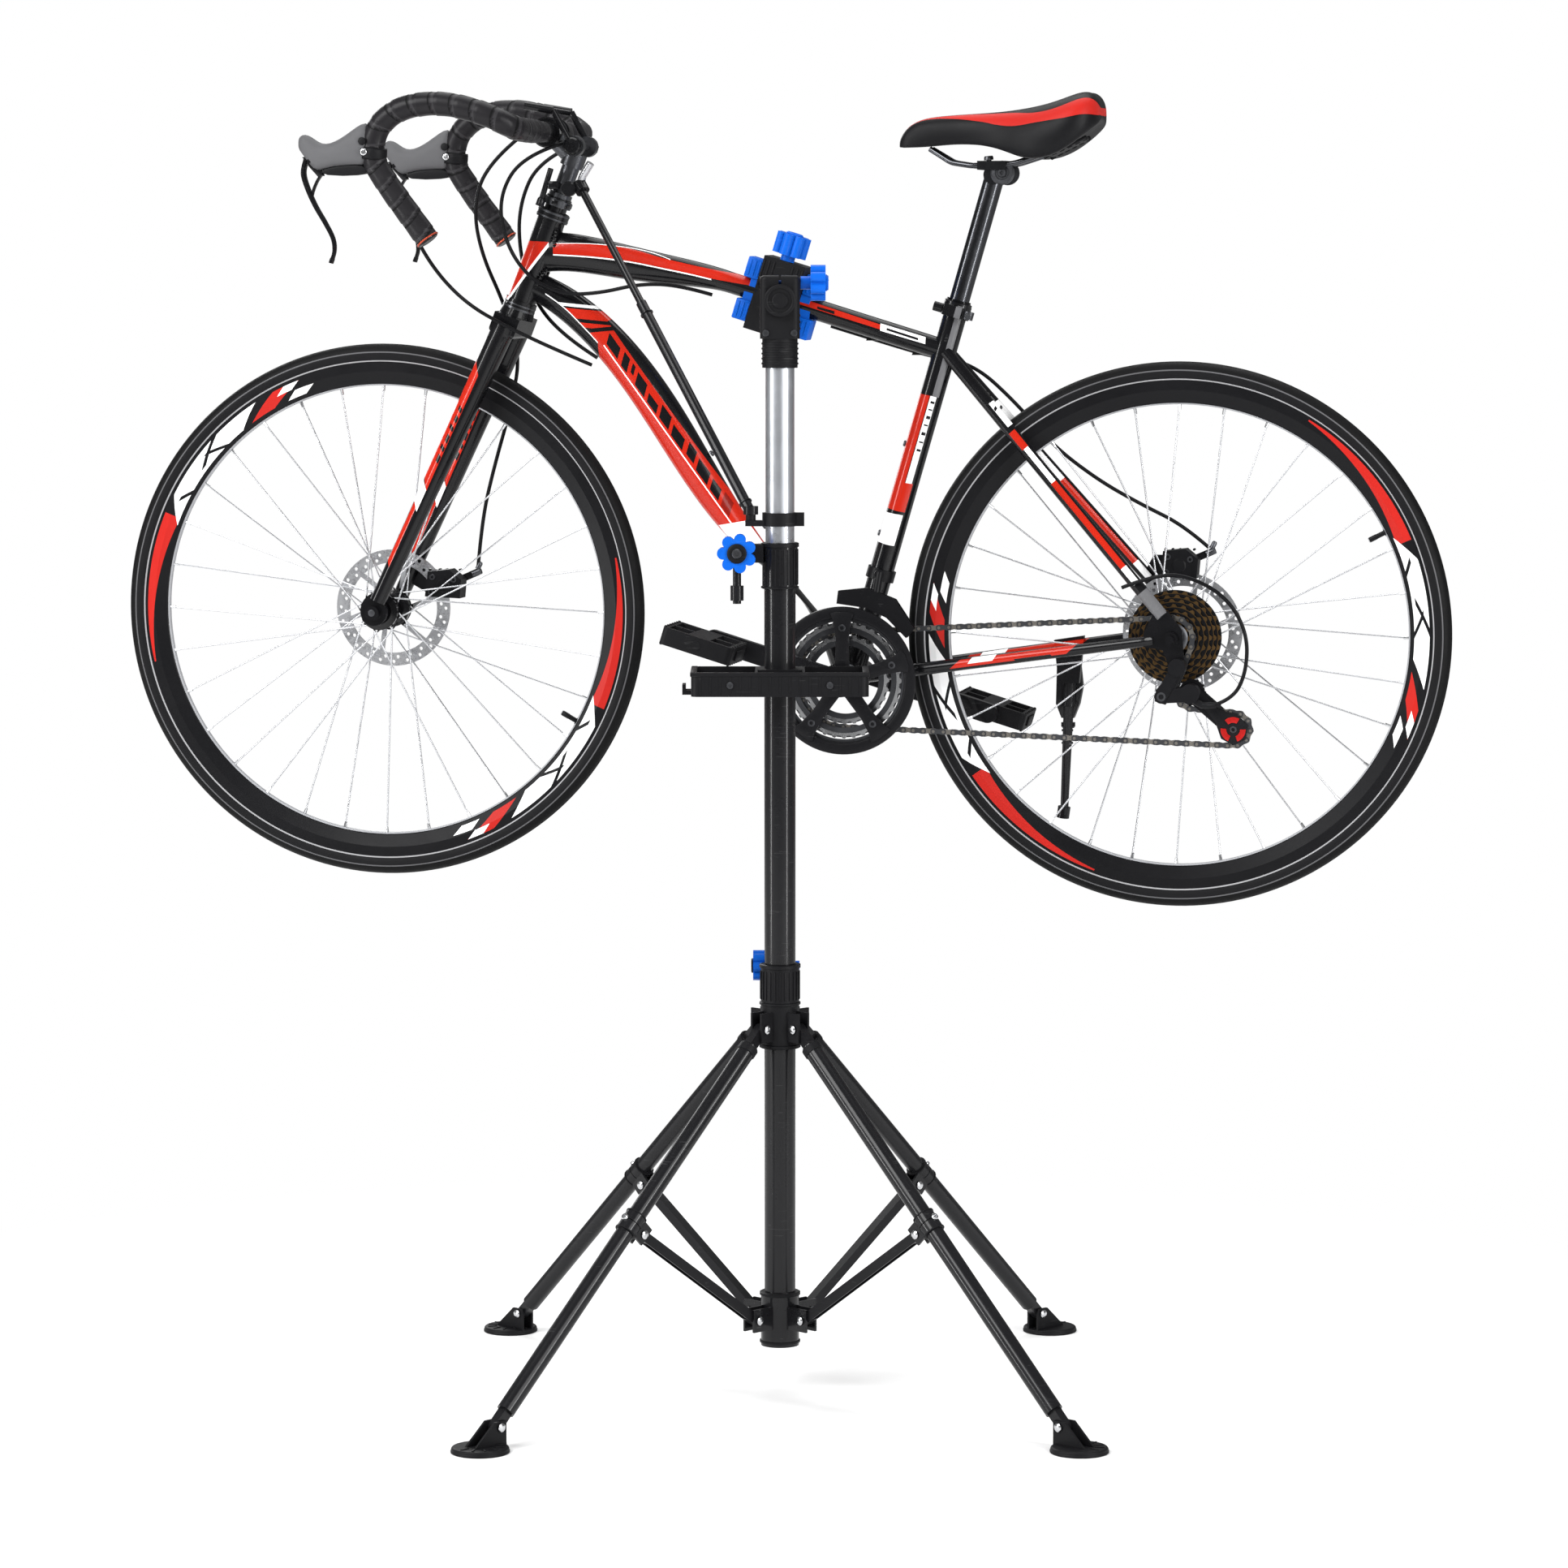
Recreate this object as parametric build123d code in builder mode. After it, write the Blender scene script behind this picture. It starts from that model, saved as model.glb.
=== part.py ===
"""Road bicycle held by its top tube in a four-legged repair stand.

Millimetres, +Z up. The bicycle faces -X with its drive side towards -Y. The origin lies on
the floor under the middle of the whole object. The stand is turned a little about its mast.
"""
from build123d import *
from copy import copy
from math import acos, asin, atan2, cos, pi, radians, sin, sqrt, tan
import os

os.makedirs("parts", exist_ok=True)

# ---------------------------------------------------------------- driving dimensions, stand
mast_x = 52.0                # mast axis from the origin
stand_yaw = 11.0             # the stand's turn about the mast, degrees
mast_radius = 19.0
mast_wall = 1.5
mast_bottom = 60.0
mast_top = 1010.0
inner_bottom = 640.0
inner_wall = 1.5
running_gap = 0.06           # radial gap of a shaft in its bearing
side_gap = 0.5               # gap beside a tongue between two ears
seat_gap = 0.3               # gap of a soft piece on its seat

hinge_radius = 32.0          # leg hinge pins from the mast axis
hinge_height = 450.0
leg_length = 609.0           # hinge pin to foot pin
foot_pin_height = 26.953052    # foot pins above the floor when the legs are spread
leg_radius = 11.0
leg_wall = 1.4
tongue_thick = 12.0
pin_radius = 3.0
ear_thick = 3.0
strut_reach = 305.0          # strut pin along the leg
strut_drop = 19.0            # strut pin below the leg's axis
strut_height = 12.0
strut_pin_radius = 45.0      # lower strut pins from the mast axis
strut_pin_height = 92.0
foot_disc_radius = 34.0
foot_disc_thick = 7.0
foot_outset = 24.0           # foot disc centre outboard of the foot pin

collar_radius = 23.5
collar_bottom = hinge_height - 26.0
collar_top = hinge_height + 77.0
tray_width = 214.0
tray_front = 72.0
tray_back = 31.0
tray_bottom = 860.0
tray_height = 29.0
tray_wall = 3.0

arm_height = 1334.0
arm_radius = 14.0
head_width = 48.0
head_depth = 44.0
head_bottom = arm_height - 46.0
head_top = arm_height + 30.0
sleeve_bottom = head_bottom - 35.0
rod_clip_height = mast_top + 60.0   # above the mast clamp
rod_radius = 6.5
rod_inner_radius = 4.8

# ---------------------------------------------------------------- driving dimensions, bicycle
bike_y = 245.0               # middle plane of the bicycle
wheel_radius = 339.0
tyre_radius = 14.0
rim_depth = 30.0
rim_width = 21.0
spoke_radius = 1.0
spoke_count = 32
flange_radius = 22.0
rotor_radius = 75.0
rotor_thick = 2.0
front_hub_width = 100.0
rear_hub_width = 135.0
front_axle = (-509.5, 936.5)
rear_axle = (508.0, 918.3)
bottom_bracket = (96.0, 860.0)
steer_angle = 69.0
head_low = (-331.5, 1322.0)  # lower end of the head tube
head_length = 127.0
head_radius = 18.0
seat_angle = 74.0
seat_tube_length = 485.0
seat_tube_radius = 15.0
post_radius = 13.0
post_length = 250.0
post_rise = 167.0            # seat tube top to the rail clamp
top_tube_radius = 13.2
top_tube_slope = 17.06
grip_rise = 12.0             # top tube in the jaws above the foot of the head tube
stay_radius = 8.0
chain_stay_radius = 8.5
bar_half = 200.0
bar_radius = 12.0
tape_radius = 15.0
crank_length = 169.5
crank_angle = 17.0           # near crank above the forward horizontal
ring_planes = (46.0, 52.0, 58.0)
ring_radii = (55.0, 72.0, 86.0)
guard_radius = 91.0
guard_plane = 63.0
cog_radii = (56.0, 51.0, 46.0, 40.0, 34.0, 28.0, 21.0)
cog_first_plane = 34.0
cog_pitch = 4.0
chain_height = 8.0
chain_width = 4.6
upper_jockey = (533.0, 852.0)
lower_jockey = (585.0, 807.5)
jockey_radius = 16.0


# ---------------------------------------------------------------- shared shapes
def bar(start, end, radius, mode=Mode.ADD):
    """A round bar between two points."""
    run = Vector(*end) - Vector(*start)
    with BuildSketch(Plane(origin=start, z_dir=run)) as section:
        Circle(radius)
    extrude(section.sketch, amount=run.length, mode=mode)


def cone(start, end, start_radius, end_radius, mode=Mode.ADD):
    """A tapered round bar between two points."""
    run = Vector(*end) - Vector(*start)
    with BuildSketch(Plane(origin=start, z_dir=run)) as first:
        Circle(start_radius)
    with BuildSketch(Plane(origin=end, z_dir=run)) as last:
        Circle(end_radius)
    loft([first.sketch.face(), last.sketch.face()], mode=mode)


def ring(plane, outer, inner, height):
    """A flat ring that rises from a plane."""
    with BuildSketch(plane) as section:
        Circle(outer)
        Circle(inner, mode=Mode.SUBTRACT)
    extrude(section.sketch, amount=height)


def block(plane, low, high, mode=Mode.ADD):
    """A box between two corners, given in a plane's own directions."""
    centre = tuple((a + b) / 2 for a, b in zip(low, high))
    size = tuple(b - a for a, b in zip(low, high))
    with Locations(plane.location * Location(centre)):
        Box(*size, mode=mode)


def lobed_knob(plane, radius, height, lobes=7):
    """A star knob whose axis is the plane's normal."""
    lobe = radius * 0.30
    with BuildSketch(plane) as section:
        Circle(radius - lobe * 0.9)
        with PolarLocations(radius - lobe, lobes):
            Circle(lobe)
    extrude(section.sketch, amount=height)


def cord(points, radii, radius):
    """A round cord along straight runs joined by tangent arcs."""
    with BuildLine() as route:
        FilletPolyline(*points, radius=radii)
    with BuildSketch(Plane(origin=route.line @ 0, z_dir=route.line % 0)) as section:
        Circle(radius)
    sweep(section.sketch, path=route.line)


def save(part, label):
    """Label a finished piece and write it."""
    part.label = label
    export_step(part, f"parts/{label}.step")


def side(x, z, offset=0.0):
    """A point beside the bicycle's middle plane; a positive offset is the far side."""
    return (x, bike_y + offset, z)


# the stand's own directions
stand = Plane(
    origin=(mast_x, 0, 0),
    x_dir=(cos(radians(stand_yaw)), sin(radians(stand_yaw)), 0),
    z_dir=(0, 0, 1),
)


def at_stand(x, y, z):
    """A point given in the stand's own directions."""
    return tuple(stand.from_local_coords(Vector(x, y, z)))


def leg_plane(number):
    """Plane through the mast and one leg: x outward, y up."""
    turn = radians(stand_yaw + 45 + 90 * number)
    return Plane(origin=(mast_x, 0, 0), x_dir=(cos(turn), sin(turn), 0), z_dir=(sin(turn), -cos(turn), 0))


# ---------------------------------------------------------------- mast
inner_radius = mast_radius - mast_wall - running_gap
clamp_radius = mast_radius + 2.5
clamp_bottom = mast_top - 24.0
clamp_top = mast_top + 32.0
knob_height = clamp_top - 12.0
knob_offset = 52.0

with BuildPart() as mast:
    ring(stand.offset(mast_bottom), mast_radius, mast_radius - mast_wall, mast_top - mast_bottom)
    # plastic clamp at the top, with two ears that a screw draws together
    ring(stand.offset(clamp_bottom), clamp_radius, mast_radius, mast_top - clamp_bottom)
    ring(stand.offset(mast_top), clamp_radius, inner_radius + running_gap, clamp_top - mast_top)
    for low_y, high_y in ((-13, -2), (2, 13)):
        block(stand, (-knob_offset - 10, low_y, knob_height - 12),
              (-clamp_radius + 1.5, high_y, clamp_top - 2))
    bar(at_stand(-knob_offset, -20, knob_height), at_stand(-knob_offset, 20, knob_height),
        pin_radius + running_gap, Mode.SUBTRACT)
    bar(at_stand(-knob_offset, -8, knob_height - 10), at_stand(-knob_offset, -8, knob_height - 62), 5)
    bar(at_stand(-knob_offset, -8, knob_height - 40), at_stand(-knob_offset, -8, knob_height - 58), 8)

    # collar at the foot of the mast, with the struts' ears
    ring(stand.offset(mast_bottom - 2), collar_radius, mast_radius, 64)
    with BuildSketch(stand.offset(mast_bottom - 5)) as cap:
        Circle(collar_radius)
    extrude(cap.sketch, amount=3)
    for number in range(4):
        plane = leg_plane(number)
        for sign in (-1, 1):
            gap = tongue_thick / 2 + side_gap
            near, far = sorted((sign * gap, sign * (gap + ear_thick)))
            block(plane, (mast_radius + 3, strut_pin_height - 14, near),
                  (strut_pin_radius + 9, strut_pin_height + 14, far))
save(mast.part, "mast_outer_tube")

with BuildPart() as inner_tube:
    ring(stand.offset(inner_bottom), inner_radius, inner_radius - inner_wall, head_bottom - inner_bottom)
save(inner_tube.part, "mast_inner_tube")

with BuildPart() as clamp_knob:
    lobed_knob(Plane(origin=at_stand(-knob_offset, -16, knob_height), z_dir=-stand.y_dir), 24, 16)
    bar(at_stand(-knob_offset, -17, knob_height), at_stand(-knob_offset, 18, knob_height), pin_radius)
save(clamp_knob.part, "mast_clamp_knob")

# ---------------------------------------------------------------- sliding leg collar
knob_level = collar_top - 7.0
back_ear = 48.0
screw_depth = 36.0

with BuildPart() as leg_collar:
    ring(stand.offset(collar_bottom), collar_radius, mast_radius + running_gap, collar_top - collar_bottom)
    for number in range(4):
        plane = leg_plane(number)
        for sign in (-1, 1):
            gap = tongue_thick / 2 + side_gap
            near, far = sorted((sign * gap, sign * (gap + ear_thick)))
            block(plane, (mast_radius + 3, hinge_height - 16, near),
                  (hinge_radius + 9, hinge_height + 20, far))
        pin_start = plane.from_local_coords(Vector(hinge_radius, hinge_height, -20))
        pin_end = plane.from_local_coords(Vector(hinge_radius, hinge_height, 20))
        bar(tuple(pin_start), tuple(pin_end), pin_radius + running_gap, Mode.SUBTRACT)
    for low_x, high_x in ((-16, -2), (2, 16)):
        block(stand, (low_x, collar_radius - 3, knob_level - 13), (high_x, back_ear, knob_level + 7))
    bar(at_stand(-30, screw_depth, knob_level), at_stand(30, screw_depth, knob_level),
        pin_radius + running_gap, Mode.SUBTRACT)
save(leg_collar.part, "upper_leg_collar")

with BuildPart() as collar_knob:
    lobed_knob(Plane(origin=at_stand(-18, screw_depth, knob_level), z_dir=-stand.x_dir), 19, 15)
    bar(at_stand(-19, screw_depth, knob_level), at_stand(24, screw_depth, knob_level), pin_radius)
    bar(at_stand(17, screw_depth, knob_level), at_stand(24, screw_depth, knob_level), 6)
save(collar_knob.part, "collar_knob")

# ---------------------------------------------------------------- legs, struts and feet
leg_turn = acos((hinge_height - foot_pin_height) / leg_length)    # from the vertical
foot_radius = hinge_radius + leg_length * sin(leg_turn)
tongue_half = tongue_thick / 2
ear_inside = tongue_half + side_gap
ear_outside = ear_inside + ear_thick


def along_leg(reach, drop=0.0, across=0.0):
    """Leg-plane coordinates of a point on a spread leg."""
    return Vector(
        hinge_radius + reach * sin(leg_turn) - drop * cos(leg_turn),
        hinge_height - reach * cos(leg_turn) - drop * sin(leg_turn),
        across,
    )


def plane_bar(plane, start, end, radius, mode=Mode.ADD):
    """A round bar between two points given in a plane's own directions."""
    first = plane.from_local_coords(Vector(*start))
    last = plane.from_local_coords(Vector(*end))
    bar(tuple(first), tuple(last), radius, mode)


def slot_plate(plane, start, end, height, low, high):
    """A round-ended plate along the plane's x axis."""
    with BuildSketch(plane.offset(low)) as outline:
        with Locations(((start + end) / 2, 0)):
            SlotCenterToCenter(end - start, height)
    extrude(outline.sketch, amount=high - low)


strut_top = along_leg(strut_reach, strut_drop)
strut_low = Vector(strut_pin_radius, strut_pin_height, 0)
strut_length = (strut_top - strut_low).length
tube_start = 28.0            # round tube from the hinge pin
tube_end = leg_length - 22.0
band_half = 12.0
channel_wall = 1.6

for number, place in enumerate(("rear_far", "front_far", "front_near", "rear_near")):
    plane = leg_plane(number)
    hinge = plane.from_local_coords(along_leg(0))
    leg_frame = Plane(origin=hinge, x_dir=plane.from_local_coords(along_leg(1)) - hinge, z_dir=plane.z_dir)

    with BuildPart() as leg:
        plane_bar(leg_frame, (tube_start, 0, 0), (tube_end, 0, 0), leg_radius)
        plane_bar(leg_frame, (tube_start + 6, 0, 0), (tube_end - 6, 0, 0), leg_radius - leg_wall,
                  Mode.SUBTRACT)
        slot_plate(leg_frame, 0, tube_start + 4, 13, -tongue_half, tongue_half)
        slot_plate(leg_frame, tube_end - 4, leg_length, 13, -tongue_half, tongue_half)
        plane_bar(leg_frame, (leg_length, 0, -tongue_thick), (leg_length, 0, tongue_thick),
                  pin_radius + running_gap, Mode.SUBTRACT)
        plane_bar(leg_frame, (0, 0, -ear_outside - 1.5), (0, 0, ear_outside + 1.5), pin_radius)
        # band round the tube, with the strut's two ears
        plane_bar(leg_frame, (strut_reach - band_half, 0, 0), (strut_reach - 0.5, 0, 0), leg_radius + 2)
        plane_bar(leg_frame, (strut_reach + 0.5, 0, 0), (strut_reach + band_half, 0, 0), leg_radius + 2)
        for sign in (-1, 1):
            near, far = sorted((sign * ear_inside, sign * ear_outside))
            block(leg_frame, (strut_reach - band_half, -strut_drop - 6, near),
                  (strut_reach + band_half, 0, far))
        plane_bar(leg_frame, (strut_reach, -strut_drop, -ear_outside - 1),
                  (strut_reach, -strut_drop, ear_outside + 1),
                  pin_radius + running_gap, Mode.SUBTRACT)
        plane_bar(leg_frame, (tube_start + 6, 0, 0), (tube_end - 6, 0, 0), leg_radius - leg_wall,
                  Mode.SUBTRACT)
        block(leg_frame, (strut_reach - strut_height, -strut_drop - 9, -ear_inside),
              (strut_reach + strut_height, -leg_radius - 0.3, ear_inside), Mode.SUBTRACT)
    save(leg.part, f"leg_{place}")

    top = plane.from_local_coords(strut_top)
    low = plane.from_local_coords(strut_low)
    strut_frame = Plane(origin=top, x_dir=low - top, z_dir=plane.z_dir)
    with BuildPart() as strut:
        slot_plate(strut_frame, 0, strut_length, strut_height, -tongue_half, tongue_half)
        block(strut_frame, (14, -strut_height / 2 + channel_wall, -tongue_half + channel_wall),
              (strut_length - 14, strut_height / 2 + 1, tongue_half - channel_wall), Mode.SUBTRACT)
        plane_bar(strut_frame, (0, 0, -ear_outside - 1.5), (0, 0, ear_outside + 1.5), pin_radius)
    save(strut.part, f"strut_{place}")

    with BuildPart() as foot:
        disc_centre = plane.from_local_coords(Vector(foot_radius + foot_outset, 0, 0))
        disc_plane = Plane(origin=disc_centre, x_dir=plane.x_dir, z_dir=(0, 0, 1))
        with BuildSketch(disc_plane) as disc:
            Circle(foot_disc_radius)
        extrude(disc.sketch, amount=foot_disc_thick)
        fillet(foot.edges().group_by(Axis.Z)[-1], foot_disc_thick * 0.4)
        for sign in (-1, 1):
            near, far = sorted((sign * ear_inside, sign * ear_outside))
            with BuildSketch(plane.offset(near)) as ear:
                with BuildLine():
                    Polyline(
                        (foot_radius - 9, foot_disc_thick - 2),
                        (foot_radius - 9, foot_pin_height + 7),
                        (foot_radius + 9, foot_pin_height + 7),
                        (foot_radius + 40, foot_disc_thick),
                        (foot_radius + 40, foot_disc_thick - 2),
                        close=True,
                    )
                make_face()
            extrude(ear.sketch, amount=far - near)
        plane_bar(plane, (foot_radius, foot_pin_height, -ear_outside - 1.5),
                  (foot_radius, foot_pin_height, ear_outside + 1.5),
                  pin_radius)
    save(foot.part, f"foot_{place}")

# ---------------------------------------------------------------- tool tray
tray_half = tray_width / 2
with BuildPart() as tray:
    block(stand, (-tray_half, -tray_front, tray_bottom), (tray_half, tray_back, tray_bottom + tray_height))
    fillet(tray.edges().filter_by(Axis.Z), 9)
    for low_x, high_x in ((-tray_half + tray_wall, -30), (30, tray_half - tray_wall)):
        block(stand, (low_x, -tray_front + tray_wall, tray_bottom + tray_wall),
              (high_x, tray_back - tray_wall, tray_bottom + tray_height + 1), Mode.SUBTRACT)
    block(stand, (-30 + tray_wall, -tray_front + tray_wall, tray_bottom + tray_wall),
          (30 - tray_wall, -mast_radius - 2 * tray_wall, tray_bottom + tray_height + 1), Mode.SUBTRACT)
    # tool hook low on the left end
    block(stand, (-tray_half - 11, -40, tray_bottom), (-tray_half + 4, -10, tray_bottom + 5))
    block(stand, (-tray_half - 11, -40, tray_bottom), (-tray_half - 7, -10, tray_bottom + 12))
    bar(at_stand(0, 0, tray_bottom - 5), at_stand(0, 0, tray_bottom + tray_height + 5), mast_radius,
        Mode.SUBTRACT)
save(tray.part, "tool_tray")

# ---------------------------------------------------------------- stand head
clamp_x = mast_x - bike_y * tan(radians(stand_yaw))
lock_height = head_top - 9.0
half_width = head_width / 2
half_depth = head_depth / 2

with BuildPart() as housing:
    block(stand, (-half_width, -half_depth, head_bottom), (half_width, half_depth, head_top))
    fillet(housing.edges().filter_by(Axis.Z), 8)
    fillet(housing.edges().group_by(Axis.Z)[-1], 5)
    ring(stand.offset(sleeve_bottom), inner_radius + 4, inner_radius, head_bottom - sleeve_bottom)
    bar(at_stand(0, -half_depth - 1, arm_height), at_stand(0, half_depth + 1, arm_height),
        arm_radius + running_gap, Mode.SUBTRACT)
    block(stand, (-1.5, -half_depth - 1, arm_height + arm_radius - 2), (1.5, half_depth + 1, head_top + 1),
          Mode.SUBTRACT)
    bar(at_stand(-half_width - 1, 0, lock_height), at_stand(half_width + 1, 0, lock_height),
        pin_radius + running_gap, Mode.SUBTRACT)
save(housing.part, "head_housing")

with BuildPart() as lock_knob:
    lobed_knob(Plane(origin=at_stand(half_width + 13, 0, lock_height), z_dir=stand.x_dir), 22, 18)
    bar(at_stand(half_width + 1, 0, lock_height), at_stand(half_width + 14, 0, lock_height), 8)
    bar(at_stand(-half_width + 2, 0, lock_height), at_stand(half_width + 2, 0, lock_height), pin_radius)
save(lock_knob.part, "tilt_lock_knob")

slope = radians(top_tube_slope)
grip = Plane(origin=(clamp_x, bike_y, arm_height), x_dir=(cos(slope), 0, -sin(slope)),
             z_dir=(sin(slope), 0, cos(slope)))
jaw_half = 27.0
jaw_near = -40.0
jaw_screw = -28.0            # clamp screw on the near side of the tube
jaw_split = 4.0
pad_half = 13.0
pad_deep = 36.0
lower_pad_half = 44.0
upper_pad_half = 40.0
screw_radius = 4.0

with BuildPart() as clamp_head:
    bar(at_stand(0, -half_depth - 8.5, arm_height), at_stand(0, -half_depth - 0.5, arm_height), 19.5)
    bar(at_stand(0, -half_depth - 1, arm_height), at_stand(0, half_depth + 1, arm_height), arm_radius)
    arm_end = (bike_y + jaw_near - 4) / cos(radians(stand_yaw))
    bar(at_stand(0, half_depth + 0.5, arm_height), at_stand(0, arm_end, arm_height), arm_radius + 2)
    plane_bar(grip, (0, jaw_near - 9, 0), (0, jaw_near - 0.3, 0), 22)
    block(grip, (-jaw_half, jaw_near - 1, -pad_deep - 10), (jaw_half, -pad_half - 3, jaw_split - 2))
    block(grip, (-jaw_half, jaw_near - 1, -pad_deep - 10), (jaw_half, pad_half + 3, -pad_deep))
    plane_bar(grip, (0, jaw_screw, -pad_deep - 2), (0, jaw_screw, jaw_split), screw_radius + running_gap,
              Mode.SUBTRACT)
    # soft pad, grooved for the tube
    block(grip, (-lower_pad_half, -pad_half, -pad_deep), (lower_pad_half, pad_half, -jaw_split))
    plane_bar(grip, (-lower_pad_half - 1, 0, 0), (lower_pad_half + 1, 0, 0), top_tube_radius + seat_gap,
              Mode.SUBTRACT)
save(clamp_head.part, "clamp_head")

with BuildPart() as clamp_jaw:
    block(grip, (-jaw_half, jaw_near, pad_deep), (jaw_half, pad_half + 3, pad_deep + 12))
    block(grip, (-jaw_half, jaw_near, jaw_split), (jaw_half, -pad_half - 3, pad_deep))
    block(grip, (-upper_pad_half, -pad_half, jaw_split), (upper_pad_half, pad_half, pad_deep))
    plane_bar(grip, (-upper_pad_half - 1, 0, 0), (upper_pad_half + 1, 0, 0), top_tube_radius + seat_gap,
              Mode.SUBTRACT)
    plane_bar(grip, (0, jaw_screw, 0), (0, jaw_screw, pad_deep + 13), screw_radius + running_gap,
              Mode.SUBTRACT)
save(clamp_jaw.part, "clamp_jaw")

with BuildPart() as screw_knob:
    knob_base = grip.from_local_coords(Vector(0, jaw_screw, pad_deep + 20))
    lobed_knob(Plane(origin=knob_base, z_dir=grip.z_dir), 22, 26)
    plane_bar(grip, (0, jaw_screw, pad_deep + 12.4), (0, jaw_screw, pad_deep + 21), 9)
    plane_bar(grip, (0, jaw_screw, -pad_deep + 1), (0, jaw_screw, pad_deep + 14), screw_radius)
save(screw_knob.part, "clamp_screw_knob")

# ---------------------------------------------------------------- handlebar holder
rod_foot = Vector(18.0, -10.0, rod_clip_height + 8.0)
rod_head = Vector(-243.0, 205.0, arm_height + 140.0)
rod_run = (rod_head - rod_foot).normalized()
rod_split = rod_foot + rod_run * 330.0
rod_inner_start = 190.0
clip_half = 8.0

with BuildPart() as rod_clip:
    ring(stand.offset(rod_clip_height - clip_half), inner_radius + 4, inner_radius, 2 * clip_half)
    block(stand, (-42, -12, rod_clip_height - clip_half), (-inner_radius - 1, 0, rod_clip_height - 1))
    block(stand, (inner_radius + 1, -8, rod_clip_height - clip_half),
          (inner_radius + 12, 8, rod_clip_height + clip_half))
    bar(tuple(rod_foot - Vector(0, 0, 16)), tuple(rod_foot - Vector(0, 0, 2.5)), 6)
save(rod_clip.part, "rod_clip")

with BuildPart() as rod_outer:
    bar(tuple(rod_foot - Vector(0, 0, 2)), tuple(rod_foot + Vector(0, 0, 8)), 9)
    bar(tuple(rod_foot + rod_run * 6), tuple(rod_split), rod_radius)
    bar(tuple(rod_foot + rod_run * 15), tuple(rod_split + rod_run), rod_inner_radius + running_gap,
        Mode.SUBTRACT)
save(rod_outer.part, "holder_rod_outer")

with BuildPart() as rod_inner:
    bar(tuple(rod_foot + rod_run * rod_inner_start), tuple(rod_head), rod_inner_radius)
    bar(tuple(rod_head - rod_run * 10), tuple(rod_head + rod_run * 4), 9)
    cord([tuple(rod_head), tuple(rod_head + Vector(4, -2, 12)), tuple(rod_head + Vector(15, -5, 28))], [10],
         5)
save(rod_inner.part, "holder_rod_inner")


# ---------------------------------------------------------------- bicycle: shared points
def save_hung(part, label):
    """Write a piece of the bicycle at the height where the jaws hold its top tube."""
    save(copy(part).move(Location((0, 0, arm_height - grip_height))), label)


steer = Vector(cos(radians(steer_angle)), 0, sin(radians(steer_angle)))
seat_axis = Vector(cos(radians(seat_angle)), 0, sin(radians(seat_angle)))
head_foot = Vector(head_low[0], bike_y, head_low[1])
head_crest = head_foot + steer * head_length
front_hub_centre = Vector(front_axle[0], bike_y, front_axle[1])
rear_hub_centre = Vector(rear_axle[0], bike_y, rear_axle[1])
crank_centre = Vector(bottom_bracket[0], bike_y, bottom_bracket[1])
seat_crest = crank_centre + seat_axis * seat_tube_length
across = Vector(0, 1, 0)     # towards the far side
post_head = seat_crest + seat_axis * post_rise
steerer_radius = 14.3
cup_radius = 20.5
cup_height = 9.0
shell_radius = 20.0
shell_half = 34.0
spindle_radius = 8.0

# the top tube passes through the jaws; its rear end lies on the seat tube's axis
grip_height = head_low[1] + grip_rise
drop = tan(slope)
seat_join = (grip_height - bottom_bracket[1] - (bottom_bracket[0] - clamp_x) * drop) / (seat_axis.Z + seat_axis.X * drop)
top_rear = crank_centre + seat_axis * seat_join


def top_tube_at(x):
    """A point on the straight stretch of the top tube."""
    return Vector(x, bike_y, grip_height - (x - clamp_x) * drop)


def tube_sections(stations):
    """Elliptical sections along a shaped tube, each square to the run of its neighbours."""
    faces = []
    for index, (x, z, tall, wide) in enumerate(stations):
        before = stations[max(index - 1, 0)]
        after = stations[min(index + 1, len(stations) - 1)]
        run = Vector(after[0] - before[0], 0, after[1] - before[1])
        with BuildSketch(Plane(origin=side(x, z), x_dir=(0, 1, 0), z_dir=run)) as section:
            Ellipse(wide, tall)
        faces.append(section.sketch.face())
    return faces


def spin(profile, axle):
    """Turn a profile about a wheel's axle."""
    revolve(profile, axis=Axis(tuple(axle), (0, 1, 0)))


def disc(centre, low, high, radius, mode=Mode.ADD):
    """A cylinder along the axle between two offsets from the middle plane."""
    bar(tuple(centre + across * low), tuple(centre + across * high), radius, mode)


def washer(centre, low, high, outer, inner):
    """A flat ring along the axle between two offsets from the middle plane."""
    ring(Plane(origin=tuple(centre + across * low), z_dir=(0, 1, 0)), outer, inner, high - low)


def side_plate(points, low, high, mode=Mode.ADD):
    """A plate with a polygon outline in the side view, between two offsets."""
    with BuildSketch(Plane(origin=(0, bike_y + high, 0), x_dir=(1, 0, 0), z_dir=(0, -1, 0))) as outline:
        with BuildLine():
            Polyline(*points, close=True)
        make_face()
    extrude(outline.sketch, amount=high - low, mode=mode)


def side_link(start, end, width, low, high):
    """A round-ended link in the side view, between two offsets."""
    run = Vector(end[0] - start[0], end[1] - start[1], 0)
    frame = Plane(origin=(start[0], bike_y + high, start[1]), x_dir=(run.X, 0, run.Y), z_dir=(0, -1, 0))
    slot_plate(frame, 0, run.length, width, 0, high - low)


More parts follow.
